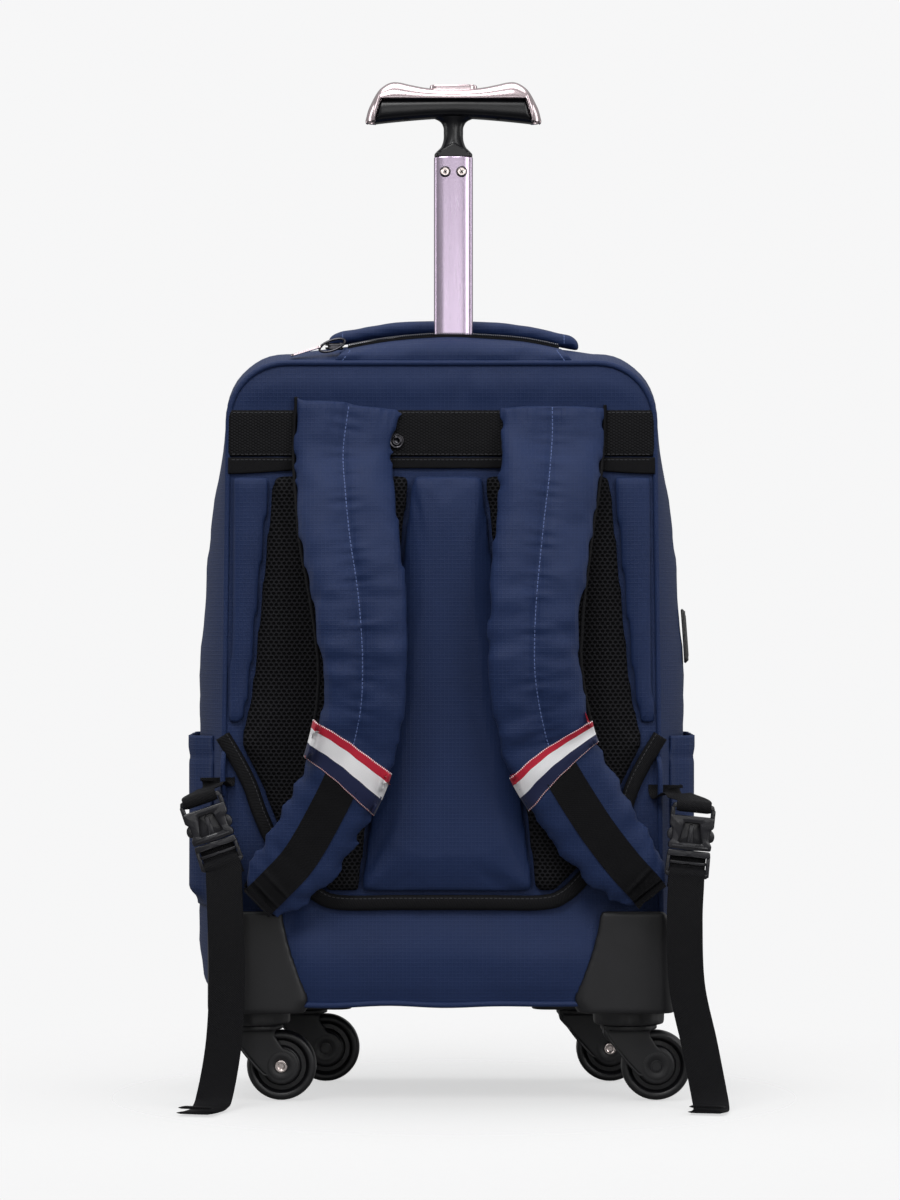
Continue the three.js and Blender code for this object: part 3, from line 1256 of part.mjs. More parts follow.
function addCarrying() {
  for (const [name] of SIDES) {
    const strap = STRAPS[name];
    const buckle = BUCKLES[name];
    add(`shoulder_strap_${name}`, makeStrap(strap), FINISHES.navyFabric);
    add(`strap_ribbon_${name}`, makeRibbon(strap), FINISHES.striped);
    add(`strap_webbing_${name}`, makeStrapWebbing(strap), FINISHES.blackWebbing);
    add(`buckle_socket_${name}`, makeSocket(buckle), FINISHES.blackPlastic);
    add(`buckle_plug_${name}`, makePlug(buckle), FINISHES.blackPlastic);
    add(`anchor_webbing_${name}`, makeAnchor(buckle), FINISHES.blackWebbing);
    add(`tail_webbing_${name}`, makeTail(buckle, TAIL_ROWS[name]), FINISHES.blackWebbing);
  }
}

function addTop() {
  add('zip_flap', makeZipFlap(), FINISHES.navyFabric);
  add('top_zip', makeTopZip(), FINISHES.zipMetal);
  add('top_zip_slider', makeSlider(), FINISHES.blackPlastic);
  add('top_zip_pull', makeZipPull(), FINISHES.roseMetal);
  add('grab_handle', makeGrabHandle(), FINISHES.navyFabric);
}

function addTrolley() {
  add('handle_sleeve', makeSleeve(), FINISHES.blackPlastic);
  add('handle_tube', makeTube(), FINISHES.tubeMetal);
  add('grip_core', makeGripCore(), FINISHES.blackPlastic);
  add('grip_cover', makeGripCover(), FINISHES.roseMetal);
  add('grip_button', makeButton(), FINISHES.roseMetal);
  add('grip_screw_l', makeScrew(-1), FINISHES.rivetMetal);
  add('grip_screw_r', makeScrew(1), FINISHES.rivetMetal);
}

function addCaster(name, x, y) {
  const caster = new THREE.Group();
  caster.position.set(x, y, 0);
  add(`fork_${name}`, makeFork(), FINISHES.blackPlastic, caster);
  add(`axle_${name}`, makeAxle(), FINISHES.rivetMetal, caster);
  add(`wheel_${name}`, makeWheel(), FINISHES.tyre, caster);
  bag.add(caster);
}

function addCasters() {
  for (const [name, side] of SIDES) {
    add(`caster_housing_${name}`, makeBackHousing(side), FINISHES.blackPlastic);
    add(`caster_plate_${name}`, makeFrontPlate(side), FINISHES.blackPlastic);
    addCaster(`back_${name}`, side * BACK_CASTER_X, BACK_CASTER_Y);
    addCaster(`front_${name}`, side * FRONT_CASTER_X, FRONT_CASTER_Y);
  }
}

addBody();
addBack();
addCarrying();
addTop();
addTrolley();
addCasters();
bag.position.set(ORIGIN_SHIFT_X, ORIGIN_SHIFT_Y, 0);

export default bag;
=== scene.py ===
# Wheeled backpack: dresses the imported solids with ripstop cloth, air mesh, webbing, metal and moulded
# plastic. Shapes are worked out in millimetres in the bag's own frame: x from its middle, y from the
# plane of its back towards its front, z up from the floor.

import json

import bmesh
import bpy
import numpy as np
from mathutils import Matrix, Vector

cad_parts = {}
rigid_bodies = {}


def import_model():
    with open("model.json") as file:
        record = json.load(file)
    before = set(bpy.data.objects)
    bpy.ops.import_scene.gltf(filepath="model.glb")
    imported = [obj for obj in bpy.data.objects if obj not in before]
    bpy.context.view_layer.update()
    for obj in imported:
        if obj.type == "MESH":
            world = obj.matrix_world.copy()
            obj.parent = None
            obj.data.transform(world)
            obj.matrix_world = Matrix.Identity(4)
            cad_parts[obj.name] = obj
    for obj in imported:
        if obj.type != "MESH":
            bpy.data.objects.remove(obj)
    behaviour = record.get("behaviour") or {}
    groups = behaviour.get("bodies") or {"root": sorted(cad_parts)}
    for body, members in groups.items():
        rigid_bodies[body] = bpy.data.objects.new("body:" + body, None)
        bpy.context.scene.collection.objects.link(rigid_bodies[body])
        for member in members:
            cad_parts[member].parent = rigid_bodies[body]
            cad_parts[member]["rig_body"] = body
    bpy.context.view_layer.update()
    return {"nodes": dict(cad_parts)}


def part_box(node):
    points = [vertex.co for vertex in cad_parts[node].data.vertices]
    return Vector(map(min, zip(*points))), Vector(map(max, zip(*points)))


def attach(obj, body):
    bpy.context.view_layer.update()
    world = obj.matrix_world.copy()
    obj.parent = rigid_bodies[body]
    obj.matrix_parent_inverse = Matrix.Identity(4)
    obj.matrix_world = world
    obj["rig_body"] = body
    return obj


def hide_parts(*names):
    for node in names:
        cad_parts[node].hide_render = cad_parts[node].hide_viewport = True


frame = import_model()

bl_info = {
    "name": "Wheeled Backpack",
    "version": (1, 0, 0),
    "blender": (4, 5, 0),
    "location": "3D View > Sidebar > Backpack",
    "description": "Cloth, straps, handle and casters of a wheeled backpack over its packed solids",
    "category": "Object",
}

MM = 0.001
PANEL_LOW, PANEL_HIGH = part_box("back_panel")
SHIFT = np.array([(PANEL_LOW.x + PANEL_HIGH.x) / 2, PANEL_LOW.y, 0.0])

# Sizes of the solids that the dressing follows, in millimetres
FLOOR_Z = 71.1
BAG_HEIGHT = 457.0
TOP_Z = FLOOR_Z + BAG_HEIGHT
BAG_DEPTH = 195.0
BACK_WIDTH_BOTTOM = 316.0
BACK_WIDTH_TOP = 303.0
HALF_BACK = BACK_WIDTH_BOTTOM / 2
SIDE_BULGE = 23.0
TOP_CROWN = 18.0
CORNER_CROWN = 0.55
FRONT_BULGE = 13.0
TOP_CORNER = 42.0
BOTTOM_CORNER = 20.0
FABRIC_WALL = 2.4
TUBE_X = 8.5
TUBE_Y = 32.0
SLIT_FRONT = 46.0
SLIT_LENGTH = 178.0
BAND_LOW, BAND_HIGH = 461.1, 494.1
PAD_LOW, PAD_HIGH = 138.1, 448.3
STRAP_TOP_Z = 500.1
STRAP_DROP = 356.0
STRAP_WIDTH = 72.0
STRAP_THICKNESS = 14.0
STRAP_BASE = 2.6
STRAP_BOW = 38.0
WEBBING = 25.4
CASTER_TRAIL = 19.5
WHEEL_Z = 25.0
GRIP_Z = 701.5

# How far the sides and the top swell over the bag's depth and height
DEPTH_AT = [0, 0.06, 0.13, 0.24, 0.4, 0.58, 0.72, 0.78, 0.91, 1]
DEPTH_SIDE = [0, 0.3, 0.55, 0.82, 0.97, 1, 0.9, 0.8, 0.42, 0]
DEPTH_TOP = [0, 0.34, 0.6, 0.88, 1, 1, 0.92, 0.84, 0.46, 0]
HEIGHT_AT = [0, 0.1, 0.25, 0.4, 0.47, 0.63, 0.79, 0.91, 1]
HEIGHT_SIDE = [0.66, 0.84, 0.9, 0.93, 1, 0.87, 0.6, 0.17, 0]

# Shoulder straps from the top down: across and down place the middle line, then the width,
# the lift off the back and the thickness, as shares of the sizes above
STRAP_ROWS = {
    "l": np.array([
        (-0.414, 0.0, 1.06, 0.0, 0.55), (-0.441, 0.097, 0.99, 0.07, 0.85), (-0.43, 0.178, 0.99, 0.4, 1.0),
        (-0.408, 0.272, 0.99, 0.66, 1.0), (-0.377, 0.362, 0.96, 0.84, 1.0), (-0.36, 0.431, 0.925, 0.94, 1.0),
        (-0.35, 0.521, 0.87, 1.0, 1.0), (-0.361, 0.618, 0.86, 0.95, 0.95), (-0.421, 0.727, 0.85, 0.8, 0.85),
        (-0.512, 0.815, 0.83, 0.6, 0.75), (-0.632, 0.907, 0.81, 0.42, 0.65), (-0.75, 0.965, 0.68, 0.32, 0.55),
        (-0.83, 1.0, 0.46, 0.28, 0.45),
    ]),
    "r": np.array([
        (0.498, 0.003, 1.05, 0.0, 0.55), (0.497, 0.069, 1.03, 0.05, 0.8), (0.482, 0.15, 1.01, 0.34, 1.0),
        (0.46, 0.228, 0.98, 0.56, 1.0), (0.44, 0.309, 0.96, 0.76, 1.0), (0.422, 0.392, 0.94, 0.9, 1.0),
        (0.413, 0.479, 0.92, 0.98, 1.0), (0.417, 0.551, 0.92, 1.0, 1.0), (0.446, 0.631, 0.93, 0.93, 0.95),
        (0.49, 0.7, 0.92, 0.82, 0.9), (0.563, 0.76, 0.91, 0.7, 0.85), (0.69, 0.848, 0.88, 0.54, 0.75),
        (0.81, 0.918, 0.78, 0.4, 0.65), (0.905, 0.965, 0.58, 0.32, 0.5), (0.94, 0.985, 0.4, 0.3, 0.42),
    ]),
}
RIBBON_AT = {"l": (0.665, 0.023), "r": (0.66, -0.026)}

# Edge between the mesh pad and the side pad, and the binding round the padding's lower corner
PAD_AT = [0, 0.04, 0.1, 0.2, 0.3, 0.36, 0.5, 0.7, 0.88, 1]
PAD_MESH = [0.42, 0.5, 0.62, 0.77, 0.86, 0.9, 0.86, 0.82, 0.785, 0.76]
CORNER_ROWS = np.array([
    (0.985, 0.385), (0.92, 0.33), (0.862, 0.272), (0.815, 0.205), (0.745, 0.13), (0.655, 0.07),
    (0.555, 0.02), (0.45, 0.003), (0.2, 0.003), (0.0, 0.003),
])

# Buckles: middle as shares of half the back and of the straps' drop, then the tilt in degrees
BUCKLES = {"l": (-1.03, 0.856, 19.0), "r": (1.112, 0.874, -6.0)}
BUCKLE_WIDTH = 31.5
BUCKLE_LENGTH = 52.0
BUCKLE_THICKNESS = 9.0
BUCKLE_MIDDLE_Y = -22.0
BUCKLE_BAR = 3.4

# Webbing tails from the ladder lock to the floor: across, reach, up and turn in degrees
TAIL_ROWS = {
    "l": np.array([
        (-0.965, 0.4, 0.8, -8), (-0.957, 0.42, 0.53, 0), (-0.97, 0.43, 0.28, 4), (-1.005, 0.46, 0.08, 6),
        (-1.03, 0.56, 0.016, -12), (-1.06, 0.76, 0.008, -16), (-1.09, 0.97, 0.012, -18),
    ]),
    "r": np.array([
        (1.085, 0.4, 0.8, 2), (1.095, 0.42, 0.53, -4), (1.15, 0.43, 0.28, -7), (1.19, 0.46, 0.08, -6),
        (1.2, 0.54, 0.016, -4), (1.19, 0.7, 0.008, -8), (1.165, 0.88, 0.012, -10),
    ]),
}
TAIL_REACH = 76.0


# Arithmetic on rows and waves

def through(at, xs, ys):
    """Cubic through rows: between two rows the value follows both rows' slopes, each slope being that of
    the parabola through a row and its neighbours. Past the ends it keeps the end's value."""
    at, xs, ys = (np.asarray(values, float) for values in (at, xs, ys))
    table = ys[:, None] if ys.ndim == 1 else ys
    slope = np.gradient(table, xs, axis=0)
    index = np.clip(np.searchsorted(xs, at, side="right") - 1, 0, len(xs) - 2)
    span = (xs[index + 1] - xs[index])[..., None]
    t = (np.clip(at, xs[0], xs[-1]) - xs[index])[..., None] / span
    value = (
        (2 * t**3 - 3 * t**2 + 1) * table[index] + (t**3 - 2 * t**2 + t) * span * slope[index]
        + (3 * t**2 - 2 * t**3) * table[index + 1] + (t**3 - t**2) * span * slope[index + 1]
    )
    return value[..., 0] if ys.ndim == 1 else value


def bump(value, middle, reach):
    """Smooth hill of height 1 at the middle, falling to nothing at the reach: (1 - d squared) squared."""
    return np.clip(1 - ((value - middle) / reach) ** 2, 0, 1) ** 2


def ease(value, low, high):
    """Smooth step from 0 at low to 1 at high."""
    t = np.clip((value - low) / (high - low), 0, 1)
    return t * t * (3 - 2 * t)


def waves(value, length, seed, other=0.0):
    """Irregular waves about 0 along a value: sines of unlike lengths near the given one, with turns drawn
    from the seed, each bent a little by the other value."""
    draw = np.random.default_rng(seed)
    total = np.zeros(np.broadcast(value, other).shape)
    for share in (0.63, 0.81, 1.0, 1.37, 1.9):
        turn, bend = draw.uniform(0, 2 * np.pi), draw.uniform(-0.6, 0.6)
        total = total + np.sin(2 * np.pi * (value / (length * share) + bend * other) + turn)
    return total / 5


def unit(vectors):
    return vectors / np.maximum(np.linalg.norm(vectors, axis=-1, keepdims=True), 1e-9)


# Meshes from arrays

def mesh_piece(name, points, faces, uv=None, merge=0.0):
    """Object whose mesh has the given points, in the bag's millimetres, and faces: arrays of corner
    numbers, one array for each number of corners. uv gives every point its place on the cloth."""
    points = np.asarray(points, float).reshape(-1, 3)
    corners = np.concatenate([np.asarray(block).ravel() for block in faces])
    sizes = np.concatenate([np.full(len(block), np.shape(block)[1]) for block in faces])
    mesh = bpy.data.meshes.new(name)
    mesh.vertices.add(len(points))
    mesh.vertices.foreach_set("co", (points * MM + SHIFT).ravel())
    mesh.loops.add(len(corners))
    mesh.loops.foreach_set("vertex_index", corners)
    mesh.polygons.add(len(sizes))
    mesh.polygons.foreach_set("loop_start", np.concatenate([[0], np.cumsum(sizes)[:-1]]))
    if uv is not None:
        layer = mesh.uv_layers.new(name="cloth")
        layer.data.foreach_set("uv", np.asarray(uv, float).reshape(-1, 2)[corners].ravel())
    mesh.update(calc_edges=True)
    mesh.shade_smooth()
    piece = bpy.data.objects.new(name, mesh)
    bpy.context.scene.collection.objects.link(piece)
    if merge:
        weld(piece, merge)
    return piece


def weld(piece, distance=0.01, outward=False):
    """Merges points closer than the distance, in millimetres, and turns the faces out where asked."""
    work = bmesh.new()
    work.from_mesh(piece.data)
    bmesh.ops.remove_doubles(work, verts=work.verts, dist=distance * MM)
    bmesh.ops.dissolve_degenerate(work, edges=work.edges, dist=distance * MM / 10)
    if outward:
        bmesh.ops.recalc_face_normals(work, faces=work.faces)
    work.to_mesh(piece.data)
    work.free()
    return piece


def grid_faces(rows, columns, start=0):
    """Quads between neighbouring points of a grid that is numbered row by row."""
    corner = np.arange(rows - 1)[:, None] * columns + np.arange(columns - 1)[None, :]
    return np.stack([corner, corner + 1, corner + columns + 1, corner + columns], -1).reshape(-1, 4) + start


def surface(name, points, uv=None, merge=0.0, keep=None):
    """Open or rolled-up surface through a grid of points. keep drops the cells that it marks as false."""
    rows, columns = points.shape[:2]
    faces = grid_faces(rows, columns)
    if keep is not None:
        faces = faces[keep.reshape(-1)]
    return mesh_piece(name, points, [faces], uv, merge)


def solid(name, loops, uv=None):
    """Closed solid through rings of points: the rings' ends are shut by fans about their middles."""
    count, size = loops.shape[:2]
    rings = np.concatenate([loops, loops[:, :1]], axis=1)
    middles = np.stack([loops[0].mean(0), loops[-1].mean(0)])
    first, last = np.arange(size), (count - 1) * (size + 1) + np.arange(size)
    hub = count * (size + 1)
    fans = np.concatenate([
        np.stack([np.full(size, hub), first + 1, first], -1),
        np.stack([np.full(size, hub + 1), last, last + 1], -1),
    ])
    points = np.concatenate([rings.reshape(-1, 3), middles])
    if uv is not None:
        uv = np.concatenate([uv.reshape(-1, 2), uv[0].mean(0)[None], uv[-1].mean(0)[None]])
    piece = mesh_piece(name, points, [grid_faces(count, size + 1), fans], uv)
    return weld(piece, 0.001, outward=True)


def stacked(flat, levels):
    """Loops of a flat outline, one for each height and share that the outline is drawn in to."""
    return np.stack([np.insert(flat * share, 2, height, axis=1) for height, share in levels])


def directions(path):
    """Unit directions along a path, from each point's two neighbours."""
    return unit(np.gradient(np.asarray(path, float), axis=0))


def sweep(path, across, profile):
    """Rings of a profile carried along a path: each profile point goes its first number along across and
    its second along the cross product of the direction and across."""
    along = directions(path)
    side = unit(across - along * (across * along).sum(-1, keepdims=True))
    lift = np.cross(along, side)
    profile = np.broadcast_to(profile, (len(path),) + np.shape(profile)[-2:])
    return path[:, None] + side[:, None] * profile[..., :1] + lift[:, None] * profile[..., 1:]


def circle(radius, count, squash=1.0):
    angle = np.linspace(0, 2 * np.pi, count, endpoint=False)
    return np.stack([np.cos(angle) * radius, np.sin(angle) * radius * squash], -1)


def rounded_box(width, height, radius, steps=5):
    """Corners of a rounded rectangle, counter-clockwise."""
    angle = np.linspace(0, np.pi / 2, steps)
    corners = [
        (width / 2 - radius, height / 2 - radius, 0), (radius - width / 2, height / 2 - radius, 1),
        (radius - width / 2, radius - height / 2, 2), (width / 2 - radius, radius - height / 2, 3),
    ]
    return np.concatenate([
        np.stack([x + radius * np.cos(angle + turn * np.pi / 2), y + radius * np.sin(angle + turn * np.pi / 2)], -1)
        for x, y, turn in corners
    ])


def cord_along(name, path, radius, sides=8, squash=1.0, across=(0.0, 1.0, 0.0), closed=False):
    """Round cord along a path; a closed one joins its last ring to its first."""
    path = np.asarray(path, float)
    rings = sweep(path, np.broadcast_to(np.asarray(across, float), path.shape), circle(radius, sides, squash))
    if not closed:
        return solid(name, rings)
    rings = np.concatenate([rings, rings[:1]])
    rings = np.concatenate([rings, rings[:, :1]], axis=1)
    return weld(surface(name, rings), 0.05, outward=True)


def turned(name, profile, middle, axis="y", sides=48):
    """Solid of revolution: the profile's radius and height turned about an axis through the middle."""
    profile = np.asarray(profile, float)
    angle = np.linspace(0, 2 * np.pi, sides, endpoint=False)
    radius, height = profile[:, :1], np.broadcast_to(profile[:, 1:], (len(profile), sides))
    first, second = radius * np.cos(angle), radius * np.sin(angle)
    order = (first, height, second) if axis == "y" else (first, second, height)
    return solid(name, np.stack(order, -1) + np.asarray(middle, float))


def repeated(name, points, faces, places, turns):
    """One small shape set down at many places: its points are turned by each place's three unit
    directions and moved there, all in one mesh."""
    points, places, turns = np.asarray(points, float), np.asarray(places, float), np.asarray(turns, float)
    laid = np.einsum("pk,nkd->npd", points, turns) + places[:, None]
    offset = np.arange(len(places))[:, None, None] * len(points)
    copies = [(np.asarray(block)[None] + offset).reshape(-1, np.shape(block)[1]) for block in faces]
    return mesh_piece(name, laid, copies)


def combine(name, pieces):
    """Joins pieces of one finish into one object."""
    work = bmesh.new()
    for piece in pieces:
        work.from_mesh(piece.data)
    mesh = bpy.data.meshes.new(name)
    work.to_mesh(mesh)
    work.free()
    for piece in pieces:
        bpy.data.objects.remove(piece)
    mesh.shade_smooth()
    joined = bpy.data.objects.new(name, mesh)
    bpy.context.scene.collection.objects.link(joined)
    return joined


STITCH_FACES = [np.array([[0, 1, 5, 4], [1, 2, 6, 5], [2, 3, 7, 6], [4, 5, 9, 8], [5, 6, 10, 9], [6, 7, 11, 10]])]


def stitches(name, path, normal, pitch=2.8, length=2.0, width=0.55, height=0.4):
    """Row of raised threads on a path: a small arched strip every pitch, its arch along the normal."""
    path = np.asarray(path, float)
    run = np.concatenate([[0], np.cumsum(np.linalg.norm(np.diff(path, axis=0), axis=1))])
    at = np.arange(pitch / 2, run[-1], pitch)
    places = np.stack([np.interp(at, run, path[:, k]) for k in range(3)], -1)
    along = unit(np.stack([np.interp(at, run, directions(path)[:, k]) for k in range(3)], -1))
    normal = np.broadcast_to(np.asarray(normal, float), path.shape)
    lift = unit(np.stack([np.interp(at, run, normal[:, k]) for k in range(3)], -1))
    side = np.cross(lift, along)
    xs = np.array([-0.5, -0.25, 0.25, 0.5]) * length
    strip = np.array([(x, y, height * (1 - (2 * x / length) ** 2) * (1 if y == 0 else 0.25))
                      for y in (-width / 2, 0, width / 2) for x in xs])
    return repeated(name, strip, STITCH_FACES, places, np.stack([along, side, lift], 1))


# Finishing of meshes

def points_of(piece):
    """The piece's points in the bag's millimetres."""
    flat = np.empty(len(piece.data.vertices) * 3)
    piece.data.vertices.foreach_get("co", flat)
    return (flat.reshape(-1, 3) - SHIFT) / MM


def move_points(piece, points):
    piece.data.vertices.foreach_set("co", (points * MM + SHIFT).ravel())
    piece.data.update()


def modified(piece, kind, **settings):
    """Adds a modifier and makes its result the piece's mesh."""
    modifier = piece.modifiers.new(kind.lower(), kind)
    for name, value in settings.items():
        setattr(modifier, name, value)
    bpy.context.view_layer.update()
    result = bpy.data.meshes.new_from_object(piece.evaluated_get(bpy.context.evaluated_depsgraph_get()))
    piece.modifiers.remove(modifier)
    piece.data = result
    piece.data.shade_smooth()
    return piece


def remeshed(piece, voxel):
    return modified(piece, "REMESH", mode="VOXEL", voxel_size=voxel * MM)


def softened(piece, rounds, factor=0.5):
    return modified(piece, "SMOOTH", iterations=rounds, factor=factor)


def walled(piece, thickness, offset=-1.0):
    """Gives a sheet a wall of the thickness, in millimetres, behind its faces."""
    return modified(piece, "SOLIDIFY", thickness=thickness * MM, offset=offset, use_even_offset=True)


def filled_out(piece, pressure, cap, held=None, slack=0.0, frames=20):
    """Cloth under pressure: the closed piece swells for some frames with no gravity, and no point may end
    further from its start than the cap, in millimetres. held marks points that stay."""
    start = points_of(piece)
    cloth = piece.modifiers.new("cloth", "CLOTH")
    settings = cloth.settings
    settings.quality = 4
    settings.mass = 0.3
    settings.tension_stiffness = settings.compression_stiffness = 12
    settings.bending_stiffness = 0.4
    settings.use_pressure = True
    settings.uniform_pressure_force = pressure
    settings.shrink_min = -slack
    settings.effector_weights.gravity = 0
    cloth.collision_settings.use_collision = False
    if held is not None:
        group = piece.vertex_groups.new(name="held")
        group.add(np.flatnonzero(held).tolist(), 1.0, "REPLACE")
        settings.vertex_group_mass = "held"
    cloth.point_cache.frame_start, cloth.point_cache.frame_end = 1, frames
    scene = bpy.context.scene
    for step in range(1, frames + 1):
        scene.frame_set(step)
    result = bpy.data.meshes.new_from_object(piece.evaluated_get(bpy.context.evaluated_depsgraph_get()))
    piece.modifiers.remove(cloth)
    piece.vertex_groups.clear()
    piece.data = result
    scene.frame_set(1)
    move = points_of(piece) - start
    length = np.linalg.norm(move, axis=1, keepdims=True)
    move_points(piece, start + move * np.minimum(1, cap / np.maximum(length, 1e-6)))
    piece.data.shade_smooth()
    return piece


def rounded_copy(node, name, width=0.8, segments=2, angle=30.0):
    """Welded copy of a CAD node with its corners rounded by a bevel."""
    copy = bpy.data.objects.new(name, frame["nodes"][node].data.copy())
    bpy.context.scene.collection.objects.link(copy)
    weld(copy, 0.005)
    work = bmesh.new()
    work.from_mesh(copy.data)
    bmesh.ops.dissolve_limit(work, angle_limit=np.radians(2), verts=work.verts, edges=work.edges)
    work.to_mesh(copy.data)
    work.free()
    copy = modified(copy, "BEVEL", width=width * MM, segments=segments, limit_method="ANGLE",
                    angle_limit=np.radians(angle), harden_normals=False, use_clamp_overlap=True)
    copy.data.shade_smooth()
    return sharpened(copy)


def sharpened(piece, angle=35.0):
    """Keeps the shading flat across edges steeper than the angle."""
    piece.data.set_sharp_from_angle(angle=np.radians(angle))
    return piece


def dress(piece, finish, body, slot, *nodes):
    """Gives a piece its finish, lets it ride on its body and stand for its CAD nodes."""
    piece.data.materials.clear()
    piece.data.materials.append(finish)
    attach(piece, body)
    if nodes:
        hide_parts(*nodes)
    return piece


# Finishes

def shade(code, alpha=1.0):
    """Linear colour from a hexadecimal screen colour."""
    parts = np.array([(code >> 16) & 255, (code >> 8) & 255, code & 255]) / 255
    linear = np.where(parts <= 0.04045, parts / 12.92, ((parts + 0.055) / 1.055) ** 2.4)
    return (*linear.tolist(), alpha)


def tinted(color, share):
    """The color made darker or lighter by a share."""
    return tuple(part * share for part in color[:3]) + (1,)


class Value:
    """A number flowing through a finish. Arithmetic on it adds the Math nodes that work it out."""

    def __init__(self, finish, socket):
        self.finish, self.socket = finish, socket

    def _math(self, operation, *values):
        return self.finish.node("ShaderNodeMath", {"operation": operation}, dict(enumerate(values)))

    def __add__(self, other):
        return self._math("ADD", self, other)

    def __sub__(self, other):
        return self._math("SUBTRACT", self, other)

    def __rsub__(self, other):
        return self._math("SUBTRACT", other, self)

    def __mul__(self, other):
        return self._math("MULTIPLY", self, other)

    def __truediv__(self, other):
        return self._math("DIVIDE", self, other)

    def __gt__(self, other):
        return self._math("GREATER_THAN", self, other)

    __radd__ = __add__
    __rmul__ = __mul__

    def sine(self):
        return self._math("SINE", self)

    def size(self):
        return self._math("ABSOLUTE", self)

    def share(self):
        """What is left over after taking away whole numbers."""
        return self._math("FRACT", self)

    def most(self, other):
        return self._math("MAXIMUM", self, other)

    def least(self, other):
        return self._math("MINIMUM", self, other)

    def step(self, low, high, start=0.0, end=1.0):
        """Smooth step from start to end as the value goes from low to high."""
        sockets = {0: self, 1: low, 2: high, 3: start, 4: end}
        return self.finish.node("ShaderNodeMapRange", {"interpolation_type": "SMOOTHSTEP"}, sockets)


class Finish:
    """A material and its one shader. Patterns are worked out in millimetres."""

    def __init__(self, name, **constants):
        self.material = bpy.data.materials.new(name)
        self.material.use_nodes = True
        self.tree = self.material.node_tree
        self.shader = self.tree.nodes["Principled BSDF"]
        for socket, value in constants.items():
            self.shader.inputs[socket.replace("_", " ")].default_value = value

    def node(self, kind, settings=None, sockets=None, output=0):
        """Adds a node, makes its settings, fills its sockets and returns one of its outputs."""
        node = self.tree.nodes.new(kind)
        for name, value in (settings or {}).items():
            setattr(node, name, value)
        for key, value in (sockets or {}).items():
            self.fill(node.inputs[key], value)
        return Value(self, node.outputs[output])

    def fill(self, socket, value):
        if isinstance(value, Value):
            self.tree.links.new(value.socket, socket)
        else:
            socket.default_value = value

    def set(self, name, value):
        self.fill(self.shader.inputs[name], value)

    def place(self, turned=0.0):
        """x, y and z on the piece in millimetres, turned about y by an angle in degrees."""
        spot = self.node("ShaderNodeTexCoord", output=3)
        spot = self.node("ShaderNodeMapping", {}, {
            0: spot, "Rotation": (0, np.radians(turned), 0), "Scale": (1 / MM, 1 / MM, 1 / MM),
        })
        return self.split(spot)

    def cloth(self):
        """Distances across and along the cloth in millimetres, from the piece's own map."""
        return self.split(self.node("ShaderNodeTexCoord", output=2))[:2]

    def split(self, vector):
        node = self.tree.nodes.new("ShaderNodeSeparateXYZ")
        self.tree.links.new(vector.socket, node.inputs[0])
        return [Value(self, output) for output in node.outputs]

    def facing(self):
        """How far the surface faces along x, y and z, from 0 to 1."""
        return [part.size() for part in self.split(self.node("ShaderNodeTexCoord", output=1))]

    def cloud(self, scale, detail=2.0, stretch=(1, 1, 1)):
        """Soft noise from 0 to 1 with lumps of the scale in millimetres."""
        spot = self.node("ShaderNodeTexCoord", output=3)
        factor = 1 / (MM * scale)
        spot = self.node("ShaderNodeMapping", {}, {0: spot, "Scale": tuple(factor * s for s in stretch)})
        return self.node("ShaderNodeTexNoise", {}, {"Vector": spot, "Scale": 1.0, "Detail": detail})

    def blend(self, factor, first, second):
        """Colour between two others."""
        return self.node("ShaderNodeMix", {"data_type": "RGBA"}, {0: factor, 6: first, 7: second}, output=2)

    def raised(self, height, distance, strength=1.0):
        """Lets a height pattern of up to a distance in millimetres shade the surface."""
        self.set("Normal", self.node("ShaderNodeBump", {}, {
            "Height": height, "Distance": distance * MM, "Strength": strength,
        }))

    def done(self, color, roughness, metallic=None):
        self.set("Base Color", color)
        self.set("Roughness", roughness)
        if metallic is not None:
            self.set("Metallic", metallic)
        return self.material


def ripstop(name, color, cell):
    """Plain-woven cloth with a grid of thicker threads: thin lines every cell both ways, broken into dots
    where they run over and under, and a fine weave between them. The lines are painted darker as painted shade, and
    the dots lighter as a painted highlight."""
    finish = Finish(name, Sheen_Weight=0.02, Sheen_Roughness=0.4, Specular_IOR_Level=0.2)
    x, y, z = finish.place()
    face_x, _, face_z = finish.facing()
    sideways, level = face_x > 0.72, face_z > 0.72
    u = x * (1 - sideways) + y * sideways
    v = z * (1 - level) + y * level
    line_u = ((u / cell).share() - 0.5).size().step(0.0, 0.17, 1.0, 0.0)
    line_v = ((v / cell).share() - 0.5).size().step(0.0, 0.17, 1.0, 0.0)
    dots = ((u + v) * (2 * np.pi / (cell * 0.4))).sine() * 0.5 + 0.5
    lines = line_u.most(line_v)
    weave = (u * (2 * np.pi / 0.62)).sine() * (v * (2 * np.pi / 0.62)).sine()
    lumps = finish.cloud(55)
    light = tinted(color, 1.9)
    dark = tinted(color, 0.55)
    base = finish.blend(lumps.step(0.3, 0.7), color, tinted(color, 1.1))
    # Painted shade: the grid lines are painted darker beside the thicker threads
    base = finish.blend(lines * 0.45, base, dark)
    # Painted highlight: the lines are painted lighter in dots where the threads run over
    base = finish.blend(lines * dots * 0.62, base, light)
    finish.raised(lines * 0.8 + weave * 0.18 + dots * lines * 0.5, 0.13, 0.8)
    return finish.done(base, 0.5 + 0.1 * lumps - 0.06 * lines)


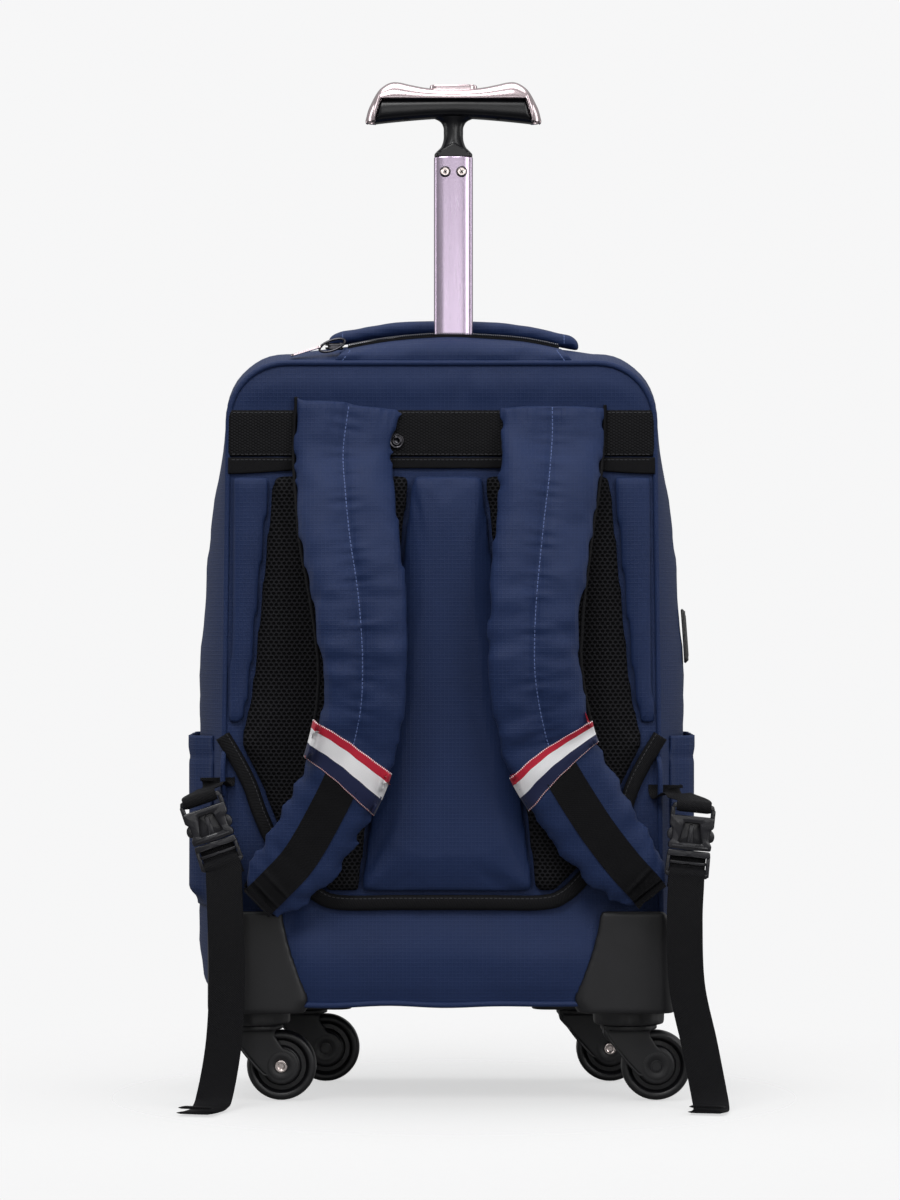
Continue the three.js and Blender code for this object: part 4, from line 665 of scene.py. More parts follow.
def air_mesh(name, color, pitch):
    """Knitted spacer mesh: rows of holes set half a step aside, deep between rounded cords. The holes are painted
    near black as painted shade, and the cords lighter along the knit as a painted sheen.
    """
    finish = Finish(name, Specular_IOR_Level=0.08)
    x, y, z = finish.place()
    face_x = finish.facing()[0]
    sideways = face_x > 0.72
    u = (x * (1 - sideways) + y * sideways) / pitch
    v = z / (pitch * 0.72)
    odd = ((v * 0.5).share() > 0.5) * 0.5
    hole_x = ((u + odd).share() - 0.5) * 2
    hole_z = (v.share() - 0.5) * 2
    far = (hole_x * hole_x + hole_z * hole_z * 0.8)
    cord = far.step(0.25, 0.75)
    knit = (u * 31).sine() * (v * 23).sine() * 0.5 + 0.5
    finish.raised(cord + knit * 0.12, 0.9)
    # Painted shade: the holes between the cords are painted near black
    base = finish.blend(cord, (0.0012, 0.0012, 0.0015, 1), color)
    # Painted sheen: the cords are painted lighter along the knit
    return finish.done(finish.blend(cord * knit * 0.5, base, tinted(color, 1.9)), 0.78 - cord * 0.12)


def webbing(name, color, rib, strand):
    """Woven tape: ribs across it, each made of strands side by side that dip between the ribs. The crests are painted
    lighter and the dips darker, as painted highlight and shade.
    """
    finish = Finish(name, Specular_IOR_Level=0.1)
    u, v = finish.cloth()
    turn = ((u / (strand * 2)).share() > 0.5) * 0.5
    across = ((v / rib + turn).share() - 0.5).size() * 2
    strands = ((u / strand).share() - 0.5).size() * 2
    height = (1 - across * across) * (1 - strands * strands * 0.6)
    # Painted highlight on the crests and painted shade in the dips, from the rib height
    base = finish.blend(height, tinted(color, 0.2), tinted(color, 2.1))
    finish.raised(height, 0.28)
    return finish.done(base, 0.66 - height * 0.16)


def twill(name, color):
    """Herringbone binding tape: slanting ridges that turn about along its middle. The ridges are painted lighter and
    the grooves darker, as painted highlight and shade.
    """
    finish = Finish(name, Specular_IOR_Level=0.1)
    u, v = finish.cloth()
    ridge = (((v + (u / 3.0).share().size() * 3) / 1.15).share() - 0.5).size() * 2
    height = 1 - ridge * ridge
    # Painted highlight on the ridges and painted shade in the grooves, from the ridge height
    base = finish.blend(height, tinted(color, 0.2), tinted(color, 2.0))
    finish.raised(height, 0.25)
    return finish.done(base, 0.7 - height * 0.14)


def striped_ribbon(name, red, white, blue):
    """Ribbed ribbon with three bands across its width and a thin edge of two threads on each side."""
    finish = Finish(name, Sheen_Weight=0.15, Specular_IOR_Level=0.35)
    u, v = finish.cloth()
    rib = (u * (2 * np.pi / 0.7)).sine() * 0.5 + 0.5
    base = finish.blend(v > WEBBING * 0.21, red, white)
    base = finish.blend(v > WEBBING * 0.585, base, blue)
    edge = (v - WEBBING / 2).size() > WEBBING * 0.472
    thread = ((u / 1.5).share() > 0.5)
    base = finish.blend(edge, base, finish.blend(thread, white, red))
    # Painted shade: the grooves between the ribs are painted darker
    base = finish.blend((1 - rib) * 0.18, base, (0.0, 0.0, 0.01, 1))
    finish.raised(rib, 0.1)
    return finish.done(base, 0.62 + rib * 0.06)


def moulded(name, color, grain=0.9, depth=0.05, rough=0.42):
    """Moulded plastic with a fine leathery grain, and finer scuffs that dull it here and there."""
    finish = Finish(name, Specular_IOR_Level=0.5)
    grains = finish.cloud(grain, 3.0)
    scuffs = finish.cloud(22.0, 4.0)
    finish.raised(grains, depth)
    base = finish.blend(scuffs.step(0.35, 0.75), color, tinted(color, 1.35))
    return finish.done(base, rough - 0.07 + grains * 0.08 + scuffs * 0.08)


def rubber(name, color):
    """Cast tyre and wheel plastic, satin, with faint turning marks."""
    finish = Finish(name, Specular_IOR_Level=0.5)
    marks = finish.cloud(6.0, 3.0)
    finish.raised(marks, 0.03)
    return finish.done(finish.blend(marks, color, tinted(color, 1.5)), 0.34 + marks * 0.12)


def brushed(name, color, rough, run=(1, 1, 0.03)):
    """Coloured metal with fine marks drawn out along its length."""
    finish = Finish(name, Specular_IOR_Level=0.5)
    marks = finish.cloud(0.55, 2.0, run)
    patches = finish.cloud(30.0, 2.0)
    base = finish.blend(patches, color, tuple(min(c * 1.06, 1.0) for c in color[:3]) + (1,))
    finish.raised(marks, 0.0008)
    return finish.done(base, rough + marks * 0.05, 1.0)


def polished(name, color, rough):
    """Plated metal, nearly a mirror, with the faintest smears."""
    finish = Finish(name)
    smears = finish.cloud(14.0, 3.0)
    base = finish.blend(smears.step(0.3, 0.8), color, tinted(color, 0.93))
    return finish.done(base, rough + smears * 0.05, 1.0)


def thread(name, color):
    """Twisted sewing thread, painted darker along its twist as painted shade between the plies."""
    finish = Finish(name, Sheen_Weight=0.2)
    x, y, z = finish.place()
    twist = ((x + z) * (2 * np.pi / 0.5)).sine() * 0.5 + 0.5
    # Painted shade: darker along the twist
    return finish.done(finish.blend(twist, color, tinted(color, 0.7)), 0.6)


def paint_all(sizes):
    """All finishes by name, from the colours and sizes that the user can change."""
    navy, black = tuple(sizes.cloth_color), tuple(sizes.webbing_color)
    plastic = tuple(sizes.plastic_color)
    return {
        "cloth": ripstop("navy_ripstop", navy, sizes.ripstop_cell / MM),
        # Black lining for the sleeve, and painted shade in the screws' cross recesses and the grip's underside holes
        "lining": moulded("black_lining_and_hole_shade", (0.01, 0.011, 0.016, 1), 1.4, 0.08, 0.75),
        "mesh": air_mesh("black_air_mesh", tinted(black, 2.2), sizes.mesh_pitch / MM),
        "webbing": webbing("black_webbing", black, 1.25, 0.9),
        "band": webbing("black_band_webbing", black, 2.1, 1.9),
        "twill": twill("black_binding", black),
        "ribbon": striped_ribbon("striped_ribbon", tuple(sizes.red_color), (0.95, 0.94, 0.96, 1), shade(0x101B44)),
        "thread": thread("blue_thread", shade(0x566CA4)),
        "black_thread": thread("black_thread", shade(0x2B2C31)),
        "plastic": moulded("black_moulding", plastic, 0.8, 0.045, 0.44),
        # The buckles' plastic is painted 2.4 times lighter than the other mouldings, as a painted highlight on their
        # satin faces
        "buckle": moulded("black_buckle_plastic", tinted(plastic, 2.4), 0.5, 0.012, 0.3),
        "grip": moulded("black_grip_plastic", plastic, 0.5, 0.008, 0.3),
        "tyre": rubber("black_tyre", tinted(plastic, 0.8)),
        "tube": brushed("rose_anodised_tube", tuple(sizes.tube_color), 0.24),
        "cover": polished("rose_polished_cover", tuple(sizes.grip_color), 0.16),
        "zip": polished("silver_zip_teeth", shade(0x77787E), 0.3),
        "gunmetal": polished("dark_slider_metal", shade(0x4B4A4E), 0.18),
        "steel": polished("screw_steel", shade(0xE6DAD6), 0.14),
    }


# Bag

def side_swell(share):
    return through(share, HEIGHT_AT, HEIGHT_SIDE)


def half_width(z, y):
    """Half the bag's width: the back panel's own half width, narrowing upwards, and the side's swelling."""
    share = (z - FLOOR_Z) / BAG_HEIGHT
    back = (BACK_WIDTH_BOTTOM + (BACK_WIDTH_TOP - BACK_WIDTH_BOTTOM) * share) / 2
    return back + SIDE_BULGE * through(y / BAG_DEPTH, DEPTH_AT, DEPTH_SIDE) * side_swell(share)


def top_height(x, y):
    """Height of the top: a crown that grows over the depth and falls off towards the corners."""
    crown = TOP_CROWN * through(y / BAG_DEPTH, DEPTH_AT, DEPTH_TOP)
    flat = BACK_WIDTH_TOP / 2 - TOP_CORNER
    return TOP_Z + crown * (1 - (1 - CORNER_CROWN) * np.minimum(np.abs(x) / flat, 1) ** 2)


# Edges of the slot as shares of the top's flat part, where columns of the cloth are laid
FLAT_TOP = 109.5
SLIT_RIGHT = (TUBE_X + SLIT_LENGTH / 2) / FLAT_TOP
SLIT_LEFT = TUBE_X / FLAT_TOP - SLIT_LENGTH / (2 * FLAT_TOP)
TOP_SAMPLES = np.concatenate([
    np.linspace(1, SLIT_RIGHT, 5)[:-1], np.linspace(SLIT_RIGHT, SLIT_LEFT, 60), np.linspace(SLIT_LEFT, -1, 12)[1:],
])


def outline(y, inset=0.0):
    """Loop of x and z round the bag at a depth, counter-clockwise from the middle of the bottom: a flat
    bottom, a round lower corner, the swelling side, a round upper corner and the crowned top."""
    low = FLOOR_Z + BOTTOM_CORNER
    low_x = half_width(low, y) - BOTTOM_CORNER
    corner_top = top_height(BACK_WIDTH_TOP / 2, y)
    high = corner_top - TOP_CORNER
    high_x = half_width(high, y) - TOP_CORNER
    quarter = np.linspace(0, np.pi / 2, 12)
    bottom = np.linspace(0, 1, 20)[:-1]
    low_arc, high_arc = BOTTOM_CORNER - inset, TOP_CORNER - inset
    sides = np.linspace(low, high, 58)[1:-1]
    right = np.concatenate([
        np.stack([low_x * bottom, np.full(len(bottom), FLOOR_Z + inset)], -1),
        np.stack([low_x + low_arc * np.sin(quarter), low - low_arc * np.cos(quarter)], -1),
        np.stack([half_width(sides, y) - inset, sides], -1),
        np.stack([high_x + high_arc * np.cos(quarter), high + high_arc * np.sin(quarter)], -1)[:-1],
    ])
    xs = TOP_SAMPLES * high_x
    top = np.stack([xs, top_height(xs, y) - inset], -1)
    left = right[1:][::-1] * [-1, 1]
    return np.concatenate([right, top, left])


def shell_points(depths, inset=0.0, lift=0.0):
    """Loops of the bag's side, one for each depth, with soft dents from wear in the tall sides."""
    loops = np.stack([np.concatenate([ring, ring[:1]]) for ring in (outline(y, inset - lift) for y in depths)])
    points = np.insert(loops, 1, 0.0, axis=2)
    points[..., 1] = np.asarray(depths)[:, None]
    side = ease(np.abs(points[..., 0]), 120, 150)
    reach = bump(points[..., 1], BAG_DEPTH * 0.5, BAG_DEPTH * 0.5)
    dents = waves(points[..., 2], 95, 3, points[..., 1] / 160) * 2.4 + waves(points[..., 2], 34, 5, points[...,
            1] / 90) * 0.8
    points[..., 0] += np.sign(points[..., 0]) * side * reach * (dents - 1.0)
    points[..., 2] += (1 - side) * reach * waves(points[..., 0], 60, 7, points[..., 1] / 120) * 0.8 * (points[...,
            2] > 300)
    return points


def run_map(points):
    """Distance round and across a grid of points, for a pattern that follows the cloth."""
    across = np.concatenate([[0], np.cumsum(np.linalg.norm(np.diff(points[:, len(points[0]) // 2], axis=0), axis=1))])
    along = np.concatenate([[0], np.cumsum(np.linalg.norm(np.diff(points[len(points) // 2], axis=0), axis=1))])
    return np.stack(np.broadcast_arrays(across[:, None], along[None, :]), -1)


def disc_points(y_at, y, rows=46):
    """Rings from the outline of a face down to its middle; y_at gives the depth from the x, z and share."""
    rim = outline(y)
    rim = np.concatenate([rim, rim[:1]])
    shares = np.linspace(1, 0.004, rows)[:, None, None]
    middle = np.array([0.0, FLOOR_Z + BAG_HEIGHT / 2])
    flat = middle + (rim - middle)[None] * shares
    points = np.insert(flat, 1, 0.0, axis=2)
    points[..., 1] = y_at(points[..., 0], points[..., 2], shares[..., 0])
    return points


def back_depth(x, z, share):
    """Depth of the back cloth: level under the padding, swelling over the lower part and a little above
    the band, with soft upright folds under the flap and long level ones low down."""
    low = bump(z, 103, 38) * ease(0.5 * np.abs(x) / 158, 0.5, 0.3)
    above = bump(z, 511, 17)
    folds = above * (waves(x, 42, 11, z / 40) * 1.5 + waves(x, 19, 12, z / 30) * 0.7) * bump(x, 10, 135)
    slack = low * (waves(x, 120, 13, z / 60) * 1.4 + waves(z, 30, 14, x / 240) * 0.5)
    level = -0.6 - 5.2 * low - 2.2 * above - folds - slack
    return level * ease(1 - share, 0.0, 0.045) - 0.1


def make_shell(paint):
    """The bag's cloth: a back, a band of cloth round it, and a front."""
    back = disc_points(back_depth, 0.0)
    back[..., 2] += np.where(back[..., 2] < 90, 1.4 * waves(back[..., 0], 110, 21), 0) * ease(90 - back[..., 2], 0,
            18)
    back[..., 1] += 3.6 * ease(np.abs(back[..., 0]), 96, 108) * ease(152 - back[..., 2], 0, 8)
    dress(weld(surface("back_cloth", back[:, ::-1]), 0.02), paint["cloth"], "bag", "navy_fabric", "back_panel")

    depths = np.concatenate([np.linspace(0.4, SLIT_FRONT, 14), np.linspace(SLIT_FRONT, BAG_DEPTH, 40)[1:]])
    points = shell_points(depths)
    x, y = points[..., 0], points[..., 1]
    middle = (x[1:, 1:] + x[:-1, :-1]) / 2
    inside = (np.abs(middle - TUBE_X) < SLIT_LENGTH / 2 - 9) & ((y[1:, 1:] + y[:-1, :-1]) / 2 < SLIT_FRONT)
    slot = inside & (points[1:, 1:, 2] > TOP_Z - 30)
    side = surface("side_cloth", points[:, ::-1], keep=~slot[:, ::-1])
    weld(side, 0.01)
    walled(side, FABRIC_WALL)
    dress(side, paint["cloth"], "bag", "navy_fabric", "gusset")

    def front_depth(x, z, share):
        soft = waves(x, 110, 31, z / 200) * 1.6 + waves(z, 80, 32, x / 200) * 1.2
        return BAG_DEPTH + FABRIC_WALL + (FRONT_BULGE + soft) * (1 - share**3)

    front = disc_points(front_depth, BAG_DEPTH)
    dress(weld(surface("front_cloth", front), 0.02), paint["cloth"], "bag", "navy_fabric", "front_panel")


def make_piping(paint):
    """Covered cords in the seams round the back and round the front, with the seams' own pleats."""
    for name, y in (("back_piping", -0.4), ("front_piping", BAG_DEPTH + 1.2)):
        ring = outline(np.clip(y, 0, BAG_DEPTH), 0.4)
        path = np.stack([ring[:, 0], np.full(len(ring), y), ring[:, 1]], -1)
        if y < 0:
            path[:, 2] += np.where(path[:, 2] < 90, 1.4 * waves(path[:, 0], 110, 21), 0) * ease(90 - path[:, 2], 0,
                    18)
        cord = cord_along(name, path, 2.1, 10, closed=True)
        dress(cord, paint["cloth"], "bag", "navy_fabric")


def make_main_zip(paint):
    """Tape and coil round the bag between its back half and its front half, with a slider and its pull."""
    low = FLOOR_Z + BAG_HEIGHT * 0.2
    near, far = BAG_DEPTH * 0.72, BAG_DEPTH * 0.78
    ridge = np.linspace(0, 1, 13)
    ups = 0.9 + 1.9 * np.exp(-((ridge - 0.5) / 0.16) ** 2)
    loops = []
    for share, up in zip(ridge, ups):
        ring = outline(near + (far - near) * share, -up)
        ring = ring[ring[:, 1] > low]
        ring = ring[np.argsort(np.arctan2(ring[:, 0], ring[:, 1] - FLOOR_Z - BAG_HEIGHT / 2))]
        steps = np.concatenate([[0], np.cumsum(np.linalg.norm(np.diff(ring, axis=0), axis=1))])
        ring = np.stack([np.interp(np.linspace(0, steps[-1], 260), steps, ring[:, k]) for k in range(2)], -1)
        loops.append(np.insert(ring, 1, near + (far - near) * share, axis=1))
    tape = np.stack(loops)
    dress(surface("main_zip_tape", tape, uv=run_map(tape)), paint["twill"], "bag", "black_webbing", "main_zip")

    middle = tape[6]
    steps = np.concatenate([[0], np.cumsum(np.linalg.norm(np.diff(middle, axis=0), axis=1))])
    at = np.arange(2, steps[-1] - 2, 1.9)
    places = np.stack([np.interp(at, steps, middle[:, k]) for k in range(3)], -1)
    along = unit(np.stack([np.interp(at, steps, directions(middle)[:, k]) for k in range(3)], -1))
    across = np.broadcast_to(np.array([0.0, 1.0, 0.0]), along.shape)
    lift = np.cross(along, across)
    lift = lift * np.sign(((places - [0, 0, 300]) * lift).sum(-1, keepdims=True))
    box = np.array([(x, y, z) for x in (-0.55, 0.55) for y in (-2.0, 2.0) for z in (-0.3, 0.7)])
    sides = [np.array([[0, 1, 3, 2], [4, 6, 7, 5], [0, 4, 5, 1], [2, 3, 7, 6], [1, 5, 7, 3], [0, 2, 6, 4]])]
    teeth = repeated("main_zip_teeth", box, sides, places + lift * 0.4, np.stack([along, across, lift], 1))
    dress(weld(teeth, 0.0001, outward=True), paint["black_thread"], "bag", "black_webbing")

    low_corner, high_corner = [(np.array(corner) - SHIFT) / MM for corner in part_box("main_zip_pull")]
    centre = (low_corner + high_corner) / 2
    make_pull("main_zip_tab", paint["cover"], centre + [-12, 0, 0], centre + [12, 0, 0], 6.5, 1.6, (0, 1, 0),
              "rose_metal", "main_zip_pull")
    slider = rounded_box(11, 7, 2.6)
    heights = np.array([(-1.6, 0.86), (-0.8, 1), (1.4, 1), (2.4, 0.82)])
    loops = stacked(slider, heights)
    dress(solid("main_zip_slider", loops + centre + [13, 0, -0.9]), paint["gunmetal"], "bag", "zip_metal")


def make_pull(name, finish, start, end, width, thickness, across, slot, *nodes):
    """Flat zip pull from its eye to its tip: rounded ends, a hole at the eye and a raised middle."""
    start, end, across = (np.asarray(part, float) for part in (start, end, across))
    along = unit(end - start)
    length = np.linalg.norm(end - start)
    lift = np.cross(along, across)
    outer = rounded_box(length, width, width * 0.48, 8)
    inner = circle(width * 0.24, len(outer)) + [width * 0.45 - length / 2, 0]
    start_at = np.argmin(np.abs(np.arctan2(outer[:, 1], outer[:, 0])))
    outer = np.roll(outer, -start_at, axis=0)
    rims = [(outer, -0.5), (outer, 0.3), (outer * [0.985, 0.9], 0.5), (inner * 1.0, 0.5), (inner, -0.5),
            (outer * 0.99, -0.5)]
    middle = (start + end) / 2
    rings = np.stack([middle + flat[:, :1] * along + flat[:, 1:] * across + lift * up * thickness for flat,
                      up in rims])
    rings = np.concatenate([rings, rings[:1]])
    rings = np.concatenate([rings, rings[:, :1]], axis=1)
    pull = weld(surface(name, rings), 0.01, outward=True)
    return dress(sharpened(pull), finish, "bag", slot, *nodes)


def make_pocket(name, side, paint):
    """Open-topped pocket: a sheet sewn to the bag's side along three edges that stands off it in the
    middle, gathered by the elastic in its turned and stitched upper edge."""
    low, high, back, front = FLOOR_Z + 69, FLOOR_Z + 191, 14.0, 136.0
    t, s = np.meshgrid(np.linspace(0, 1, 60), np.linspace(0, 1, 56), indexing="ij")
    z, y = low + (high - low) * t, back + (front - back) * s
    seam = half_width(z, y) + 1.0
    face = half_width(np.linspace(low, high, 30)[:, None], np.linspace(back, front, 30)[None]).max() + 3.6
    off = np.minimum(ease(s, 0, 0.16), ease(1 - s, 0, 0.1)) * ease(t, 0, 0.12)
    gather = 0.55 * waves(s * 122, 9, 41, t) * bump(t, 1.0, 0.35)
    sag = 0.9 * waves(s * 122, 46, 42, t * 1.3) * off
    hem = -0.7 * bump(t, 0.875, 0.035) + 0.5 * ease(t, 0.9, 0.94)
    x = seam + (face - seam) * off + gather + sag + hem - 1.4
    points = np.stack([side * x, y, z], -1)
    if side > 0:
        points = points[:, ::-1]
    cloth = surface(f"side_pocket_cloth_{name}", points)
    walled(cloth, 1.6)
    dress(cloth, paint["cloth"], "bag", "navy_fabric", f"side_pocket_{name}")
    row = points[int(0.875 * 59), 1:-1]
    seamline = stitches(f"side_pocket_stitches_{name}", row + [side * 0.4, 0, 0], (side, 0, 0))
    dress(seamline, paint["thread"], "bag", "navy_fabric")


def make_patch(paint):
    """Small bare patch on the right side: a rounded plate that follows the side, with a rolled edge."""
    low, back = FLOOR_Z + 243, 55.0
    t, s = np.meshgrid(np.linspace(0, 1, 24), np.linspace(0, 1, 20), indexing="ij")
    z, y = low + 38 * t, back + 30 * s
    edge = np.minimum(np.minimum(t, 1 - t) * 38, np.minimum(s, 1 - s) * 30)
    x = half_width(z, y) + 0.9 + 1.9 * np.sqrt(np.clip(edge / 2.2, 0, 1)) - 0.35 * bump(edge, 3.4, 0.9)
    patch = surface("bare_patch", np.stack([x, y, z], -1)[:, ::-1])
    dress(walled(patch, 1.0), paint["grip"], "bag", "black_webbing", "side_patch")


# Back padding and the band

def corner_edge(z):
    """x of the binding's inner edge at a height, on the right side."""
    rise = (z - PAD_LOW - 5) / (PAD_HIGH - PAD_LOW)
    rows = CORNER_ROWS[:7][::-1]
    return np.interp(rise, rows[:, 1], rows[:, 0] * HALF_BACK) - 8


def mesh_edge(z):
    share = (z - PAD_LOW) / (PAD_HIGH - PAD_LOW)
    return np.minimum(through(share, PAD_AT, PAD_MESH) * HALF_BACK, corner_edge(z))


def centre_edge(z, side):
    share = (z - PAD_LOW) / (PAD_HIGH - PAD_LOW)
    return 4 + side * (128 + (51 - 128) * share) / 2


def make_pad(name, finish, slot, low, left, right, depth, cap, node):
    """Padded panel between two edges given by height: a closed slab with round edges whose front swells
    under pressure while its back stays on the bag, then soft dents are pressed into it."""
    rows, columns = 64, 40
    z = np.linspace(low, PAD_HIGH, rows)[:, None]
    share = np.linspace(0, 1, columns)[None]
    x = left(z) + (right(z) - left(z)) * share
    width = np.abs(right(z) - left(z))
    edge = np.minimum(np.minimum(share, 1 - share) * width, np.minimum(z - low, PAD_HIGH - z))
    thick = depth * (0.5 + 0.5 * np.sqrt(np.clip(1 - (1 - np.clip(edge / 13, 0, 1)) ** 2, 0, 1)))
    front = np.stack(np.broadcast_arrays(x, -0.6 - thick, z), -1)
    back = front * [1, 0, 1] + [0, -0.5, 0]
    if right(z[:1])[0, 0] < left(z[:1])[0, 0]:
        front, back = front[:, ::-1], back[:, ::-1]
    count = rows * columns
    rim = np.concatenate([np.arange(columns), np.arange(1, rows) * columns + columns - 1,
                          count - 2 - np.arange(columns - 1), np.arange(rows - 2, 0, -1) * columns])
    after = np.roll(rim, -1)
    walls = np.stack([rim, rim + count, after + count, after], -1)
    faces = [grid_faces(rows, columns), grid_faces(rows, columns, count)[:, ::-1], walls]
    pad = weld(mesh_piece(name, np.concatenate([front.reshape(-1, 3), back.reshape(-1, 3)]), faces), 0.01,
               outward=True)
    remeshed(pad, 3.4)
    softened(pad, 4)
    filled_out(pad, 4.0, cap, held=points_of(pad)[:, 1] > -3.0)
    modified(pad, "SUBSURF", levels=1)
    points = points_of(pad)
    dents = waves(points[:, 2], 70, len(name), points[:, 0] / 150) * 0.5 + waves(points[:, 0], 38, 51, points[:,
            2] / 120) * 0.4
    points[:, 1] = np.clip(points[:, 1] - dents * ease(-points[:, 1], 2, depth * 0.8), -depth - 3.0, -0.3)
    move_points(pad, points)
    dress(pad, finish, "bag", slot, node)
    return pad


def make_padding(paint):
    """Middle panel of cloth, a mesh panel and a side panel on each side, and the binding under them."""
    start = PAD_LOW + 14
    make_pad("padding_middle", paint["cloth"], "navy_fabric", start, lambda z: centre_edge(z, -1) + 0.6,
             lambda z: centre_edge(z, 1) - 0.6, 10.5, 3.0, "pad_centre")
    side_start = PAD_LOW + (PAD_HIGH - PAD_LOW) * (CORNER_ROWS[0, 1] + 0.045)
    for name, side in (("l", -1), ("r", 1)):
        make_pad(f"padding_mesh_{name}", paint["mesh"], "black_mesh", start,
                 lambda z, s=side: centre_edge(z, s) + s * 0.6, lambda z, s=side: s * (mesh_edge(z) - 0.6), 10.5, 2.5,
                 f"pad_mesh_{name}")
        make_pad(f"padding_side_{name}", paint["cloth"], "navy_fabric", side_start,
                 lambda z, s=side: s * (mesh_edge(z) + 0.6), lambda z, s=side: s * (half_width(z, 0) - 3.4), 6.2, 2.0,
                 f"pad_side_{name}")

    right = np.stack([CORNER_ROWS[:, 0] * HALF_BACK, np.full(len(CORNER_ROWS), -3.6),
                      PAD_LOW + 5 + CORNER_ROWS[:, 1] * (PAD_HIGH - PAD_LOW)], -1)
    rows = np.concatenate([right * [-1, 1, 1], right[:-1][::-1]])
    path = through(np.linspace(0, 1, 260), np.linspace(0, 1, len(rows)), rows)
    path[:, 1] -= 0.5 * waves(path[:, 0], 60, 61)
    across = np.cross(directions(path), [0.0, 1.0, 0.0])
    angle = np.linspace(0, 2 * np.pi, 20, endpoint=False)
    profile = np.stack([5.4 * np.sign(np.cos(angle)) * np.abs(np.cos(angle)) ** 0.7, 3.1 * np.sin(angle)], -1)
    rings = sweep(path, across, profile)
    run = np.concatenate([[0], np.cumsum(np.linalg.norm(np.diff(path, axis=0), axis=1))])
    girth = np.arange(21) * 0.85
    cover = np.stack(np.broadcast_arrays(girth[None, :], run[:, None]), -1)
    tape = solid("padding_binding", rings, uv=cover)
    dress(tape, paint["twill"], "bag", "black_webbing", "pad_binding")
    seam = path + unit(across) * 3.2 + [0, -2.9, 0]
    dress(stitches("padding_binding_stitches", seam, (0, -1, 0), 3.2, 2.2), paint["black_thread"], "bag",
          "black_webbing")


def flat_band(name, low, high, front, sag, paint_name, paint, pattern_turn, *nodes):
    """Flat strip across the back between two heights: its edges are rolled a little, and it waves softly."""
    share = np.linspace(-1, 1, 180)[None]
    t = np.linspace(0, 1, 20)[:, None]
    z = low(share) + (high(share) - low(share)) * t
    x = share * (half_width(z, 0) - 0.8)
    rolled = 0.7 * (1 - np.sqrt(np.clip(1 - np.abs(2 * t - 1) ** 5, 0, 1)))
    y = front + rolled - sag * waves(x, 70, 71, z / 90) - 0.3 * waves(x, 24, 72, z / 50)
    points = np.stack(np.broadcast_arrays(x, y, z), -1)
    cloth = np.stack(np.broadcast_arrays(x, z), -1) if pattern_turn else np.stack(np.broadcast_arrays(z, x), -1)
    strip = surface(name, points, uv=cloth)
    return dress(walled(strip, 1.4), paint[paint_name], "bag", "black_webbing", *nodes)


def make_band(paint):
    """Webbing band that slides over a trolley, the binding under it, their stitches and a snap."""
    flat_band("band_webbing", lambda s: BAND_LOW + 0 * s, lambda s: BAND_HIGH + 0 * s, -2.3, 0.5, "band", paint, True,
              "trolley_band")
    flat_band("band_binding_tape", lambda s: BAND_LOW - 12.4 + 4 * ease(1 - np.abs(s), 0, 0.5),
              lambda s: BAND_LOW - 0.6 + 0 * s, -3.4, 0.3, "twill", paint, False, "band_binding")
    x = np.linspace(-152, 152, 200)
    for name, z, y in (("low", BAND_LOW + 1.6, -2.9), ("high", BAND_HIGH - 1.8, -2.5), ("binding", BAND_LOW - 2.4,
            -3.9)):
        path = np.stack([x * (half_width(z, 0) - 3) / 152, np.full(200, y), np.full(200, z)], -1)
        dress(stitches(f"band_stitches_{name}", path, (0, -1, 0), 3.1, 2.1), paint["black_thread"], "bag",
              "black_webbing")
    snap = [(0.001, -1.0), (1.9, -1.0), (2.1, -2.2), (3.1, -2.2), (3.4, -1.3), (4.2, -1.2), (4.7, -1.9), (5.2, -1.4),
            (5.3, 0.2), (0.001, 0.2)]
    dress(turned("band_snap", snap, (-32, -2.8, BAND_LOW + 11)), paint["gunmetal"], "bag", "rivet_metal",
          "band_rivet")


# Shoulder straps

class StrapRun:
    """Middle line of a shoulder strap: place, direction across, half width and thickness by share."""

    def __init__(self, name):
        rows = STRAP_ROWS[name]
        self.at = np.linspace(0, 1, len(rows))
        self.rows = np.stack([
            rows[:, 0] * HALF_BACK, -(STRAP_BASE + rows[:, 3] * (STRAP_BOW - STRAP_BASE)),
            STRAP_TOP_Z - rows[:, 1] * STRAP_DROP, rows[:, 2] * STRAP_WIDTH / 2, rows[:, 4] * STRAP_THICKNESS,
        ], -1)

    def frame(self, share):
        share = np.asarray(share, float)
        value = through(share, self.at, self.rows)
        ahead = through(share + 0.004, self.at, self.rows) - through(share - 0.004, self.at, self.rows)
        across = unit(np.stack([-ahead[..., 2], 0 * share, ahead[..., 0]], -1))
        return value[..., :3], across, value[..., 3], value[..., 4]

    def point(self, share, across, front=True, lift=0.0):
        """Point across the strap from -1 to 1 on its front, which crowns between the edges, or its back."""
        place, side, half, thick = self.frame(share)
        curve = np.sqrt(np.clip(1 - np.abs(across) ** 2.6, 0, 1))
        depth = 0.3 + 0.7 * curve if front else 0.3 - 0.3 * curve
        point = place + side * (across * half)[..., None]
        point[..., 1] -= thick * depth + lift
        return point

    def length(self):
        line = self.frame(np.linspace(0, 1, 200))[0]
        return np.linalg.norm(np.diff(line, axis=0), axis=1).sum()

    def locate(self, points):
        """Share of the run and place across of each point, from the nearest of many points of the line."""
        shares = np.linspace(0, 1, 420)
        place, side, half, _ = self.frame(shares)
        flat = points[:, None, [0, 2]] - place[None, :, [0, 2]]
        nearest = (flat**2).sum(-1).argmin(1)
        picked = np.take_along_axis(flat, nearest[:, None, None], 1)[:, 0]
        return shares[nearest], (picked * side[nearest][:, [0, 2]]).sum(-1) / half[nearest]


